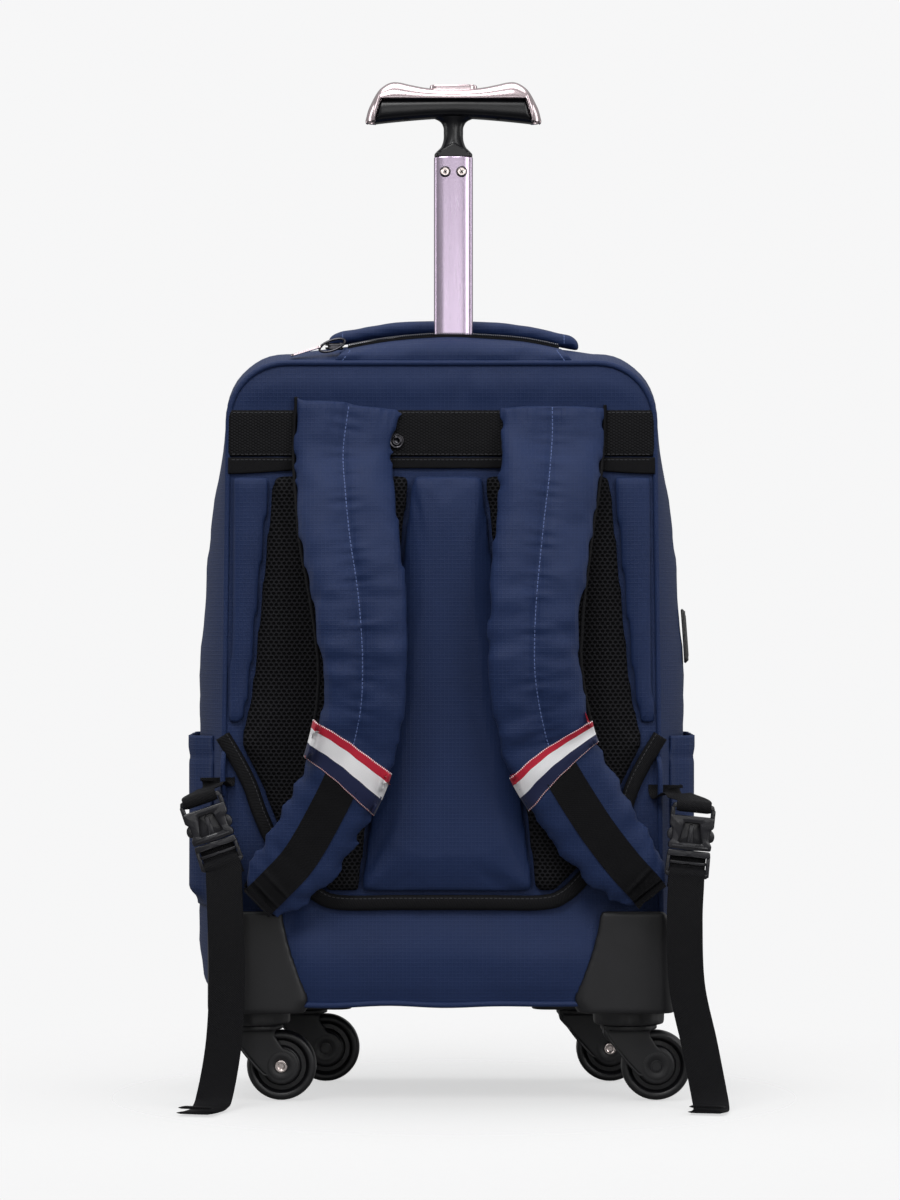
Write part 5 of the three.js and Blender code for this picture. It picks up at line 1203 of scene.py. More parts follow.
def make_strap(name, paint):
    """Padded strap: a closed form that swells under pressure with its stitched line held down, then
    gathers beside the stitches and soft folds across its lower half are pressed in."""
    run = StrapRun(name)
    ribbon_at = RIBBON_AT[name][0]
    shares = np.linspace(0, 1, 120)[:, None]
    angle = np.linspace(0, np.pi, 19)[None]
    front = run.point(shares + 0 * angle, np.cos(angle) + 0 * shares, True, -1.2)
    back = run.point(shares + 0 * angle[:, 1:-1], -np.cos(angle[:, 1:-1]) + 0 * shares, False, 0.0)
    rings = np.concatenate([front, back], axis=1)
    strap = solid(f"strap_{name}", rings)
    remeshed(strap, 4.0)
    softened(strap, 1)
    points = points_of(strap)
    share, across = run.locate(points)
    sewn = ease(ribbon_at - share, 0.01, 0.04)
    facing_front = points[:, 1] < run.frame(share)[0][:, 1] - run.frame(share)[3] * 0.5
    seam = facing_front & (np.abs(across) < 0.07) & (sewn > 0.5)
    held = seam | (share < 0.012) | (share > 0.985)
    points[:, 1] += 2.2 * sewn * bump(across, 0, 0.22) * facing_front
    move_points(strap, points)
    filled_out(strap, 4.2, 3.6, held=held, slack=0.02)
    softened(strap, 7)
    modified(strap, "SUBSURF", levels=1)

    points = points_of(strap)
    share, across = run.locate(points)
    bands = np.linspace(0.03, 0.97, 25)
    spans = [np.percentile(np.abs(across[np.abs(share - band) < 0.035]), 98) for band in bands]
    wider = 0.985 / np.interp(share, bands, spans)
    points += run.frame(share)[1] * (run.frame(share)[2] * across * (wider - 1))[:, None]
    across = across * wider
    length = run.length()
    along = share * length
    middle = run.frame(share)
    depth = (middle[0][:, 1] - points[:, 1]) / middle[3]
    front = ease(depth, 0.2, 0.6)
    sewn = ease(ribbon_at - share, 0.0, 0.03)
    seed = 80 if name == "l" else 90
    near = np.exp(-(np.abs(across) / 0.3) ** 2) * sewn
    edge = np.exp(-((1 - np.abs(across)) / 0.3) ** 2)
    side = np.sign(across)
    gathers = waves(along, 11, seed, across * 0.4) * 1.2 * near
    folds = waves(along + side * 9, 27, seed + 1, across * 0.5) * 2.3 * ease(share, 0.15,
            0.45) * (1 - 0.5 * ease(share, 0.6, 0.7))
    folds = folds * (0.35 + 0.65 * bump(np.abs(across), 0.55, 0.6))
    rolls = waves(along, 22, seed + 2, across * 0.3) * 0.6 * edge * ease(share, 0.15, 0.35)
    groove = 1.6 * np.exp(-(across / 0.055) ** 2) * sewn
    points[:, 1] += (gathers + folds * 0.8 + groove) * front
    shift = rolls * 0.7 * side
    points += run.frame(share)[1] * shift[:, None]
    pinch = bump(share, 0.0, 0.07) * ease(-side * across * (1 if name == "l" else -1), -1, -0.72)
    points[:, 1] += 1.6 * pinch * waves(across, 0.22, seed + 3) * front
    points[:, 1] = np.minimum(points[:, 1], -0.5 - 2.2 * ease(0.1 - share, 0, 0.05))
    move_points(strap, points)
    dress(strap, paint["cloth"], "bag", "navy_fabric", f"shoulder_strap_{name}")

    back_share = np.linspace(0.02, 0.99, 130)
    columns = np.linspace(-0.84, 0.84, 15)
    grid = run.point(back_share[:, None] + 0 * columns, columns[None] + 0 * back_share[:, None], False, 0.0)
    grid[..., 1] += 1.3 + 1.2 * bump(columns, 0, 1.0)[None]
    grid[..., 1] = np.minimum(grid[..., 1], -0.4)
    lining = surface(f"strap_mesh_{name}", grid)
    dress(walled(lining, 1.0, 1.0), paint["mesh"], "bag", "black_mesh")

    outward = -1 if name == "l" else 1
    outward = outward * np.sign(run.frame(np.array([0.3]))[1][0, 0])
    for label, sign in (("outer", outward),):
        shares = np.linspace(0.004, ribbon_at - 0.01, 160)
        path = run.point(shares, np.full(160, sign * 0.985), True, 0.0)
        path[:, 1] = run.frame(shares)[0][:, 1] - run.frame(shares)[3] * 0.12
        path[:, 1] = np.minimum(path[:, 1], -1.9)
        path += run.frame(shares)[1] * (sign * (0.4 + 0.3 * waves(shares * length, 22, seed + 2)))[:, None]
        rings = sweep(path, np.broadcast_to([0.0, 1.0, 0.0], path.shape), circle(1.3, 12) * [1.6, 1.0])
        cover = np.stack(np.broadcast_arrays(np.arange(13) * 0.8, (shares * length)[:, None]), -1)
        edge_tape = solid(f"strap_edge_{label}_{name}", rings, uv=cover)
        dress(edge_tape, paint["twill"], "bag", "black_webbing")

    at = np.linspace(0.008, ribbon_at - 0.03, 260)
    path = run.point(at, np.zeros(260), True, 3.0)
    line = surface("stitch_guide", np.stack([path, path + [0.05, 0, 0]], 1))
    onto(line, strap, 0.25)
    path = points_of(line)[::2]
    bpy.data.objects.remove(line)
    path[:, 1] = np.convolve(np.pad(path[:, 1], 4, "edge"), np.ones(9) / 9, "valid")
    dress(stitches(f"strap_stitches_{name}", path, (0, -1, 0), 2.9, 2.1, 0.7, 0.5), paint["thread"], "bag",
          "navy_fabric")
    return strap, run


def onto(piece, target, lift):
    """Presses a sheet on to the front of another piece, along y, and lifts it off by a distance."""
    return modified(piece, "SHRINKWRAP", target=target, wrap_method="PROJECT", use_project_y=True,
                    use_positive_direction=True, use_negative_direction=False, offset=lift * MM)


def make_strap_trim(name, strap, run, paint):
    """Ribbon across the strap and the webbing that leaves from under it, both pressed on to the strap."""
    ribbon_at, slant = RIBBON_AT[name]
    half = WEBBING / 2 / run.length()
    rows, columns = np.linspace(0, 1, 22)[:, None], np.linspace(-1.03, 1.03, 60)[None]
    share = ribbon_at + slant * columns - half + 2 * half * rows
    share = share + 0.0015 * waves(columns * 36, 26, 101) + 0 * rows
    points = run.point(share, columns + 0 * rows, True, 14.0)
    cloth = np.stack(np.broadcast_arrays((columns + 1.03) * 36, rows * WEBBING), -1)
    ribbon = surface(f"ribbon_{name}", points, uv=cloth)
    onto(ribbon, strap, 0.5)
    points = points_of(ribbon).reshape(22, 60, 3)
    fall = np.abs(np.linspace(-1.03, 1.03, 60)) > 0.985
    limit = run.frame(share)[0][..., 1] - run.frame(share)[3] * 0.34
    points[..., 1] = np.where(fall[None], np.maximum(points[..., 1], np.minimum(limit, -1)), points[..., 1])
    move_points(ribbon, calm(points).reshape(-1, 3))
    walled(ribbon, 0.8, 1.0)
    dress(ribbon, paint["ribbon"], "bag", "striped_ribbon", f"strap_ribbon_{name}")

    steps, across = np.linspace(0, 1, 150)[:, None], np.linspace(-1, 1, 15)[None]
    start = ribbon_at + slant * across * 0.35 + half * 0.7
    share = start + (0.995 - start) * steps
    wide = np.minimum(WEBBING / 2 / run.frame(share)[2], 0.9)
    points = run.point(share, across * wide, True, 14.0)
    cloth = np.stack(np.broadcast_arrays(across * WEBBING / 2 + WEBBING, steps * (1 - ribbon_at) * run.length()), -1)
    tape = surface(f"strap_tape_{name}", points, uv=cloth)
    onto(tape, strap, 0.4)
    points = calm(points_of(tape).reshape(150, 15, 3), 5)
    ridge = 1.5 * np.exp(-((steps - 0.72) / 0.018) ** 2) + 1.2 * np.exp(-((steps - 0.86) / 0.02) ** 2)
    points[..., 1] -= (ridge + 0.3 * ease(steps, 0.72, 0.73)) * (1 - 0.3 * np.abs(across))
    move_points(tape, points.reshape(-1, 3))
    walled(tape, 1.6, 1.0)
    dress(sharpened(tape, 60), paint["webbing"], "bag", "black_webbing", f"strap_webbing_{name}")


def calm(grid, reach=3):
    """Evens out a grid's depth: each y becomes the mean of those around it along both ways."""
    y = grid[..., 1]
    kernel = np.ones(2 * reach + 1) / (2 * reach + 1)
    for axis in (0, 1):
        pad = [(reach, reach) if k == axis else (0, 0) for k in (0, 1)]
        wide = np.pad(y, pad, "edge")
        y = np.apply_along_axis(np.convolve, axis, wide, kernel, "valid")
    result = grid.copy()
    result[..., 1] = np.minimum(y, grid[..., 1] + 0.3)
    return result


# Buckles and tails

class BuckleFrame:
    """Turns a buckle's own x, y and z, about its middle, into places on the bag."""

    def __init__(self, name):
        across, down, tilt = BUCKLES[name]
        self.middle = np.array([across * HALF_BACK, BUCKLE_MIDDLE_Y, STRAP_TOP_Z - down * STRAP_DROP])
        turn = -np.radians(tilt)
        self.turn = np.array([[np.cos(turn), 0, np.sin(turn)], [0, 1, 0], [-np.sin(turn), 0, np.cos(turn)]])

    def place(self, points):
        return np.asarray(points, float) @ self.turn.T + self.middle


def slab_between(name, outline_points, front, back, soft=0.8, frame_of=None, hole=None):
    """Moulded plate: an outline in x and z between two depths with rounded rims, and a hole where given,
    whose rim has as many points as the outline."""
    outer = np.asarray(outline_points, float)
    middle = outer.mean(0)

    def ring(flat, y):
        return np.stack([flat[:, 0], np.full(len(flat), y), flat[:, 1]], -1)

    def shrunk(flat, by):
        return flat - unit(flat - middle) * by

    layers = [ring(shrunk(outer, soft), front), ring(shrunk(outer, soft * 0.3), front + soft * 0.3),
              ring(outer, front + soft), ring(outer, back - soft), ring(shrunk(outer, soft * 0.3), back - soft * 0.3),
              ring(shrunk(outer, soft), back)]
    if hole is None:
        loops = np.stack(layers)
        return solid(name, frame_of.place(loops) if frame_of else loops)
    hole = np.asarray(hole, float)
    centre = hole.mean(0)
    wide = hole + unit(hole - centre) * soft * 0.8
    layers += [ring(wide, back), ring(hole, back - soft * 0.6), ring(hole, front + soft * 0.6), ring(wide, front)]
    loops = np.stack(layers + layers[:1])
    loops = np.concatenate([loops, loops[:, :1]], axis=1)
    return weld(surface(name, frame_of.place(loops) if frame_of else loops), 0.005, outward=True)


def even(corners, count=96, radius=0.0):
    """Closed outline of evenly spaced points through corners, its corners rounded by averaging."""
    corners = np.asarray(corners, float)
    ring = np.concatenate([corners, corners[:1]])
    run = np.concatenate([[0], np.cumsum(np.linalg.norm(np.diff(ring, axis=0), axis=1))])
    at = np.linspace(0, run[-1], count, endpoint=False)
    points = np.stack([np.interp(at, run, ring[:, 0]), np.interp(at, run, ring[:, 1])], -1)
    reach = int(round(radius / (run[-1] / count)))
    if reach:
        wide = np.concatenate([points[-reach:], points, points[:reach]])
        kernel = np.ones(2 * reach + 1) / (2 * reach + 1)
        points = np.stack([np.convolve(wide[:, k], kernel, "valid") for k in (0, 1)], -1)
    return points


def make_buckle(name, paint):
    """Side-release buckle: a socket with a slot for its loop and a window that shows the tongue, two sprung
    arms that bow out at its sides, and a plug with a ladder for the tail."""
    place = BuckleFrame(name)
    half, top = BUCKLE_WIDTH / 2, BUCKLE_LENGTH / 2
    body_top, low, face = 17.4, -6.2, BUCKLE_THICKNESS / 2
    parts = []
    for sign in (-1, 1):
        rail = [(sign * half, top - 3), (sign * half, body_top - 2), (sign * (half - 3.0), body_top - 2),
                (sign * (half - 3.0), top - 3)]
        parts.append(slab_between("rail", even(rail, 40, 0.8), -face + 1, face - 1, 0.7, place))
    bar = [(-half + 0.4, top - 3.4), (half - 0.4, top - 3.4), (half - 1.6, top), (-half + 1.6, top)]
    parts.append(slab_between("bar", even(bar, 96, 1.0), -face + 0.6, face - 1.4, 1.0, place))
    body = even([(-half, body_top), (half, body_top), (half, body_top - 7), (half - 2.4, body_top - 9.5),
                 (half - 2.6, low + 7), (half - 0.4, low + 3.5), (half - 0.8, low), (0, low - 0.6), (-half + 0.8,
                         low),
                 (-half + 0.4, low + 3.5), (-half + 2.6, low + 7), (-half + 2.4, body_top - 9.5), (-half,
                         body_top - 7)], 160, 0.9)
    window = even([(5.4, body_top - 4.4), (8.6, low + 4.4), (-8.6, low + 4.4), (-5.4, body_top - 4.4)], 160, 1.3)
    start = np.argmin(np.abs(np.arctan2(body[:, 1] - 5, body[:, 0])))
    hole_start = np.argmin(np.abs(np.arctan2(window[:, 1] - 5, window[:, 0])))
    body, window = np.roll(body, -start, axis=0), np.roll(window, -hole_start, axis=0)
    if np.cross(body[5] - body[0], body.mean(0) - body[0]) * np.cross(window[5] - window[0],
                                                                      window.mean(0) - window[0]) < 0:
        window = np.roll(window[::-1], 1, axis=0)
    parts.append(slab_between("body", body, -face, face, 1.1, place, window))
    floor = even([(-9.5, low + 3), (9.5, low + 3), (7, body_top - 3), (-7, body_top - 3)], 60, 0.6)
    parts.append(slab_between("floor", floor, -face + 5.0, face - 1.0, 0.4, place))
    tongue = even([(-2.2, low + 2), (2.2, low + 2), (1.6, body_top - 6), (-1.6, body_top - 6)], 60, 0.8)
    parts.append(slab_between("tongue", tongue, -face + 3.2, face - 1.4, 0.6, place))
    ridge = even([(-half + 3, low + 1.6), (half - 3, low + 1.6), (half - 3.4, low + 2.8), (-half + 3.4, low + 2.8)],
                 60, 0.4)
    parts.append(slab_between("ridge", ridge, -face - 0.5, -face + 1, 0.3, place))
    for sign in (-1, 1):
        arm = even([(sign * (half - 1.6), body_top - 8.6), (sign * (half + 0.6), body_top - 11),
                    (sign * (half + 1.2), 3.5),
                    (sign * (half + 0.2), low + 6.6), (sign * (half - 3.4), low + 5.4), (sign * (half - 3.6),
                            body_top - 9)], 90, 1.3)
        parts.append(slab_between("arm", arm, -face * 0.55, face * 0.55, 1.0, place))
    socket = combine(f"buckle_socket_form_{name}", parts)
    dress(sharpened(socket, 40), paint["buckle"], "bag", "black_plastic", f"buckle_socket_{name}")

    parts = []
    thick = 2.7
    head = even([(-half + 0.8, low - 0.8), (half - 0.8, low - 0.8), (half - 0.4, low - 5.2), (-half + 0.4,
            low - 5.2)], 90, 0.7)
    parts.append(slab_between("head", head, -thick - 0.9, thick, 0.8, place))
    for sign in (-1, 1):
        side = even([(sign * (half - 0.4), low - 3), (sign * (half - 0.1), -top + 1), (sign * (half - 2.7),
                -top + 1), (sign * (half - 2.9), low - 3)], 60, 0.8)
        parts.append(slab_between("side", side, -thick, thick, 0.7, place))
    foot = even([(-half + 0.4, -top + 3.4), (half - 0.4, -top + 3.4), (half - 1.4, -top), (-half + 1.4, -top)], 96,
                1.0)
    parts.append(slab_between("foot", foot, -thick - 0.3, thick, 1.0, place))
    slot_fill = even([(-half + 3.2, low - 4.6), (half - 3.2, low - 4.6), (half - 3.2, -top + 2.8), (-half + 3.2,
            -top + 2.8)], 80, 0.4)
    fill = slab_between(f"buckle_tape_{name}", slot_fill, 0.4, 1.6, 0.3, place)
    layer = fill.data.uv_layers.new(name="cloth")
    spots = points_of(fill)[:, [0, 2]]
    corners = np.zeros(len(fill.data.loops), int)
    fill.data.loops.foreach_get("vertex_index", corners)
    layer.data.foreach_set("uv", (spots[corners][:, ::-1]).ravel())
    dress(fill, paint["webbing"], "bag", "black_webbing")
    rung = even([(-half + 2.2, low - 8.6), (half - 2.2, low - 8.6), (half - 2.2, low - 10.6), (-half + 2.2,
            low - 10.6)], 80, 0.5)
    parts.append(slab_between("rung", rung, -0.4, thick - 0.2, 0.6, place))
    plug = combine(f"buckle_plug_form_{name}", parts)
    dress(sharpened(plug, 40), paint["buckle"], "bag", "black_plastic", f"buckle_plug_{name}")


def tape_along(name, path, across, width, thickness, paint, smooth_to=200, *nodes):
    """Woven tape along a path: a flat profile with rolled edges carried along it."""
    at = np.linspace(0, 1, len(path))
    run = np.concatenate([[0], np.cumsum(np.linalg.norm(np.diff(path, axis=0), axis=1))])
    where = np.linspace(0, 1, smooth_to)
    key = run / run[-1]
    path = through(where, key, path)
    across = through(where, key, np.broadcast_to(across, (len(at), 3)))
    half, t = width / 2, thickness / 2
    columns = np.linspace(-1, 1, 11)
    roll = t * np.sqrt(np.clip(1 - np.abs(columns) ** 12, 0.05, 1))
    profile = np.concatenate([np.stack([columns * half, roll], -1), np.stack([columns[::-1] * half, -roll], -1)])
    rings = sweep(path, across, profile)
    length = np.linalg.norm(np.diff(path, axis=0), axis=1).sum()
    cover = np.stack(np.broadcast_arrays(
        np.concatenate([profile[:, 0], profile[:1, 0]])[None] + width, (where * length)[:, None]), -1)
    tape = solid(name, rings, uv=cover)
    return dress(sharpened(tape, 60), paint["webbing"], "bag", "black_webbing", *nodes), length


def make_tail(name, paint):
    """Webbing tail: from behind the ladder's foot over its bar, straight down and out on the floor, where
    it ends in a hem of two folds."""
    place = BuckleFrame(name)
    rows = TAIL_ROWS[name]
    tilt = BUCKLES[name][2]
    bar_z = -BUCKLE_LENGTH / 2 + BUCKLE_BAR / 2
    clear, face = BUCKLE_BAR / 2 + 1.2, BUCKLE_THICKNESS * 0.3 + 1.2
    over = place.place([(0, y, bar_z + z) for y, z in (
        (face, -clear * 3.4), (face, -clear), (face * 1.05, clear * 0.7), (face * 0.55, clear * 1.45),
        (-face * 0.55, clear * 1.45), (-face * 1.05, clear * 0.7), (-face * 1.15, -clear))])
    lock = place.place([(0, 0, bar_z)])[0, 2]
    down = np.stack([rows[:, 0] * HALF_BACK, -rows[:, 1] * TAIL_REACH, rows[:, 2] * lock], -1)
    down = through(np.linspace(0, 1, 40)[1:], np.linspace(0, 1, len(down) + 1), np.concatenate([over[-1:], down]))
    down[:, 2] = np.maximum(down[:, 2], 1.0)
    turns = np.radians(through(np.linspace(0, 1, 40)[1:], np.linspace(0, 1, len(rows) + 1), np.concatenate([[-tilt],
            rows[:, 3]])))
    laid = np.clip(np.linspace(0, 1, 40)[1:] * 6 - 3.2, 0, 1)
    across = np.stack([np.cos(turns), np.sin(turns) * laid, -np.sin(turns) * (1 - laid)], -1)
    level = np.broadcast_to(place.turn[:, 0], (len(over), 3))
    path, across = np.concatenate([over, down]), np.concatenate([level, across])
    tail, length = tape_along(f"tail_{name}", path, across, WEBBING, 1.6, paint, 260, f"tail_webbing_{name}")
    length * MM
    end, before = path[-1], path[-3]
    along = unit(end - before)
    hem = end + along * np.array([-3.0, -7, -10])[:, None]
    hem[:, 2] = end[2] + 3.2
    tape_along(f"tail_hem_{name}", hem, across[-1:], WEBBING - 0.4, 1.5, paint, 24)


def make_anchor(name, paint):
    """Loop of webbing from the side seam round the socket's bar and back."""
    place = BuckleFrame(name)
    side = np.sign(BUCKLES[name][0])
    bar_z = BUCKLE_LENGTH / 2 - BUCKLE_BAR / 2
    clear, front = BUCKLE_BAR / 2 + 1.2, BUCKLE_THICKNESS / 2 + 1.2
    seat_x = side * (half_width(place.middle[2], 0) + WEBBING * 0.12)
    seat_z = place.place([(0, 0, bar_z)])[0, 2]
    bar = place.place([(0, 0, bar_z)])[0]
    turns = place.place([(0, -front * 0.1, bar_z + clear + 1), (0, -front * 0.92, bar_z + clear),
                         (0, -front * 1.1, bar_z), (0, -front * 0.92, bar_z - clear), (0, -front * 0.3,
                                 bar_z - clear - 0.6)])
    path = np.concatenate([[
        (seat_x, -1.6, seat_z + clear * 5), (seat_x, -1.6, seat_z + clear * 3.8),
        ((seat_x + bar[0]) / 2, -10.5, seat_z + clear * 2.6),
    ], turns])
    tape_along(f"anchor_{name}", path, place.turn[:, 0][None], 24.6, 1.6, paint, 90, f"anchor_webbing_{name}")
    loop_x = side * (half_width(place.middle[2] + 28, 0) - 2)
    cord = np.array([(loop_x, -1.5, seat_z + 34), (loop_x + side * 1, -4.5, seat_z + 30), (loop_x + side * 1.6,
            -6.5, seat_z + 20),
                     (loop_x + side * 1.4, -6.0, seat_z + 9), (loop_x + side * 1, -3.5, seat_z + 2)])
    path = through(np.linspace(0, 1, 40), np.linspace(0, 1, 5), cord)
    dress(cord_along(f"side_loop_{name}", path, 1.9, 12), paint["cloth"], "bag", "navy_fabric")


# Top of the bag

def zip_line(share):
    x = TUBE_X + (share - 0.5) * 171
    return x, TOP_Z + 18.5 * (0.55 + 0.45 * (1 - (2 * share - 1) ** 2))


def flap_point(share, up):
    """Point of the flap: it stands up from the seam and leans back as a quarter of an ellipse does."""
    edge_x, edge_z = zip_line(share)
    y = 15.6 * (1 - np.sqrt(1 - up * up * 0.98)) + 0.2
    x = TUBE_X + (edge_x - TUBE_X) * (1 - 0.1 * up)
    return np.stack(np.broadcast_arrays(x, y, TOP_Z + 0.4 + (edge_z - TOP_Z) * up), -1)


def make_flap(paint):
    """Flap behind the tube with a zip along its edge, and its bar tacks."""
    share, up = np.linspace(0, 1, 130)[None], np.linspace(0, 1, 26)[:, None]
    points = flap_point(share, up)
    x = points[..., 0]
    slack = bump(up, 0.5, 0.6)
    points[..., 1] -= slack * (1.6 + waves(x, 60, 111, up) * 1.3 + waves(x, 23, 112, up) * 0.35)
    points[..., 1] += 0.6 * bump(up, 0.93, 0.05)
    points[..., 2] += 0.5 * waves(x, 75, 113) * up
    flap = surface("flap_cloth", points)
    walled(flap, 1.8)
    dress(flap, paint["cloth"], "bag", "navy_fabric", "zip_flap")

    t = np.linspace(0.01, 0.99, 150)
    edge = flap_point(t, 1.0)
    edge[:, 2] += 0.5 * waves(edge[:, 0], 75, 113)
    strip = edge[None] + np.array([(0, -0.4, -1.0), (0, -0.9, 0.6), (0, 0.4, 1.8), (0, 2.2, 2.2), (0, 5.5, 1.6)])[:,
            None]
    cloth = np.stack(np.broadcast_arrays(np.arange(5)[:, None] * 1.8, edge[None, :, 0]), -1)
    tape = surface("top_zip_tape", strip, uv=cloth)
    dress(walled(tape, 0.7), paint["twill"], "bag", "black_webbing", "top_zip")
    run = np.concatenate([[0], np.cumsum(np.linalg.norm(np.diff(edge, axis=0), axis=1))])
    at = np.arange(0.6, run[-1], 1.55)
    places = np.stack([np.interp(at, run, edge[:, k]) for k in range(3)], -1) + [0, 0.3, 2.3]
    along = unit(np.stack([np.interp(at, run, directions(edge)[:, k]) for k in range(3)], -1))
    across = np.broadcast_to([0.0, 0.96, -0.28], along.shape)
    box = np.array([(a, b, c) for a in (-0.5, 0.5) for b in (-1.3, 1.3) for c in (-0.45, 0.45)])
    box = box * (1 - 0.3 * (np.abs(box[:, 2:]) > 0.5) * (box[:, 2:] > 0))
    sides = [np.array([[0, 1, 3, 2], [4, 6, 7, 5], [0, 4, 5, 1], [2, 3, 7, 6], [1, 5, 7, 3], [0, 2, 6, 4]])]
    teeth = repeated("top_zip_teeth", box, sides, places, np.stack([along, across, np.cross(along, across)], 1))
    dress(weld(teeth, 0.0001, outward=True), paint["zip"], "bag", "zip_metal")

    for name, at_share in (("l", 0.035), ("r", 0.965)):
        upright = flap_point(np.full(30, at_share), np.linspace(0.04, 0.75, 30)) + [0, -1.9, 0]
        dress(stitches(f"flap_tack_{name}", upright, (0, -1, 0), 2.3, 1.8, 0.6, 0.45), paint["thread"], "bag",
              "navy_fabric")

    start = flap_point(np.array([0.0]), np.array([1.0]))[0]
    middle = start + [-8.1, 0.0, 1.6]
    outer = rounded_box(13, 7.2, 3.0, 7)
    heights = [(-2.4, 0.84), (-1.7, 1.0), (-0.7, 1.0), (-0.5, 0.72), (0.5, 0.72), (0.7, 1.0), (1.7, 1.0), (2.4, 0.84)]
    loops = stacked(outer, heights)
    dress(sharpened(solid("top_slider", loops + middle)), paint["gunmetal"], "bag", "zip_metal", "top_zip_slider")
    angle = np.linspace(0, 2 * np.pi, 48, endpoint=False)
    ring = middle + [-1.5, -3.4, 0.6] + np.stack([9.5 * np.cos(angle), 0 * angle, 3.6 * np.sin(angle)],
                                                 -1) @ np.array(
        [[0.94, 0, 0.34], [0, 1, 0], [-0.34, 0, 0.94]])
    dress(cord_along("top_slider_ring", ring, 0.95, 10, closed=True), paint["gunmetal"], "bag", "zip_metal")
    tip_x = start[0] - 15.4 - 24
    tip = np.array([tip_x, start[1] * 0.8, float(top_height(tip_x, start[1] * 0.8)) + 2.0])
    make_pull("top_zip_tab", paint["cover"], middle + [-8.5, -1.5, 0.2], tip, 6.0, 1.6, (0, 1, 0), "rose_metal",
              "top_zip_pull")


def make_grab_handle(paint):
    """Padded carrying handle: a flattened roll along the slot's front edge, sewn down at both ends."""
    share = np.linspace(0, 1, 110)
    x = TUBE_X + (share - 0.5) * 182
    y = SLIT_FRONT + 11.0
    arch = np.minimum(1, np.sin(np.pi * share) * 1.25)
    end = 0.5 + 0.5 * np.sqrt(np.clip(1 - (1 - np.clip(np.minimum(share, 1 - share) / 0.045, 0, 1)) ** 2, 0, 1))
    z = top_height(x, y + 10) + 0.4 + end * 4.5 + 5.4 * arch
    angle = np.linspace(0, 2 * np.pi, 28, endpoint=False)
    wide = np.sign(np.cos(angle)) * np.abs(np.cos(angle)) ** 0.8
    tall = np.sign(np.sin(angle)) * np.abs(np.sin(angle)) ** 0.8
    depth = y + wide[None] * 9.8 * end[:, None]
    height = z[:, None] + tall[None] * 5.2 * end[:, None]
    rings = np.stack([np.broadcast_to(x[:, None], depth.shape), depth, height], -1)
    roll = solid("grab_handle_roll", rings)
    remeshed(roll, 3.2)
    softened(roll, 2)
    near_end = np.abs(points_of(roll)[:, 0] - TUBE_X) > 84
    filled_out(roll, 4.0, 2.0, held=near_end)
    modified(roll, "SUBSURF", levels=1)
    points = points_of(roll)
    fold = waves(points[:, 0], 26, 121, points[:, 1] / 90) * 0.55 * ease(np.abs(points[:, 0] - TUBE_X), 20, 80)
    points[:, 2] += fold
    points[:, 1] += waves(points[:, 0], 40, 122) * 0.4
    points[:, 2] = np.maximum(points[:, 2], top_height(points[:, 0], points[:, 1]) + 0.5)
    move_points(roll, points)
    dress(roll, paint["cloth"], "bag", "navy_fabric", "grab_handle")
    for name, side in (("l", -1), ("r", 1)):
        line_x = TUBE_X + side * 80
        angle = np.linspace(-0.4, np.pi + 0.4, 30)
        z = top_height(np.array(line_x), np.array(y + 10)) + 0.4 + 4.5 + 5.4 * min(1,
                np.sin(np.pi * (0.5 + side * 80 / 182)) * 1.25)
        path = np.stack([np.full(30, line_x), y + np.cos(angle) * 9.8, z + np.sin(angle) * 4.9], -1)
        line = surface("tack_guide", np.stack([path, path + [0.05, 0, 0]], 1))
        modified(line, "SHRINKWRAP", target=roll, wrap_method="NEAREST_SURFACEPOINT", offset=0.2 * MM)
        path = points_of(line)[::2]
        bpy.data.objects.remove(line)
        normal = np.stack([0 * angle, np.cos(angle), np.sin(angle)], -1)
        dress(stitches(f"grab_handle_tack_{name}", path, normal, 2.3, 1.8, 0.6, 0.45), paint["thread"], "bag",
              "navy_fabric")


# Towing handle

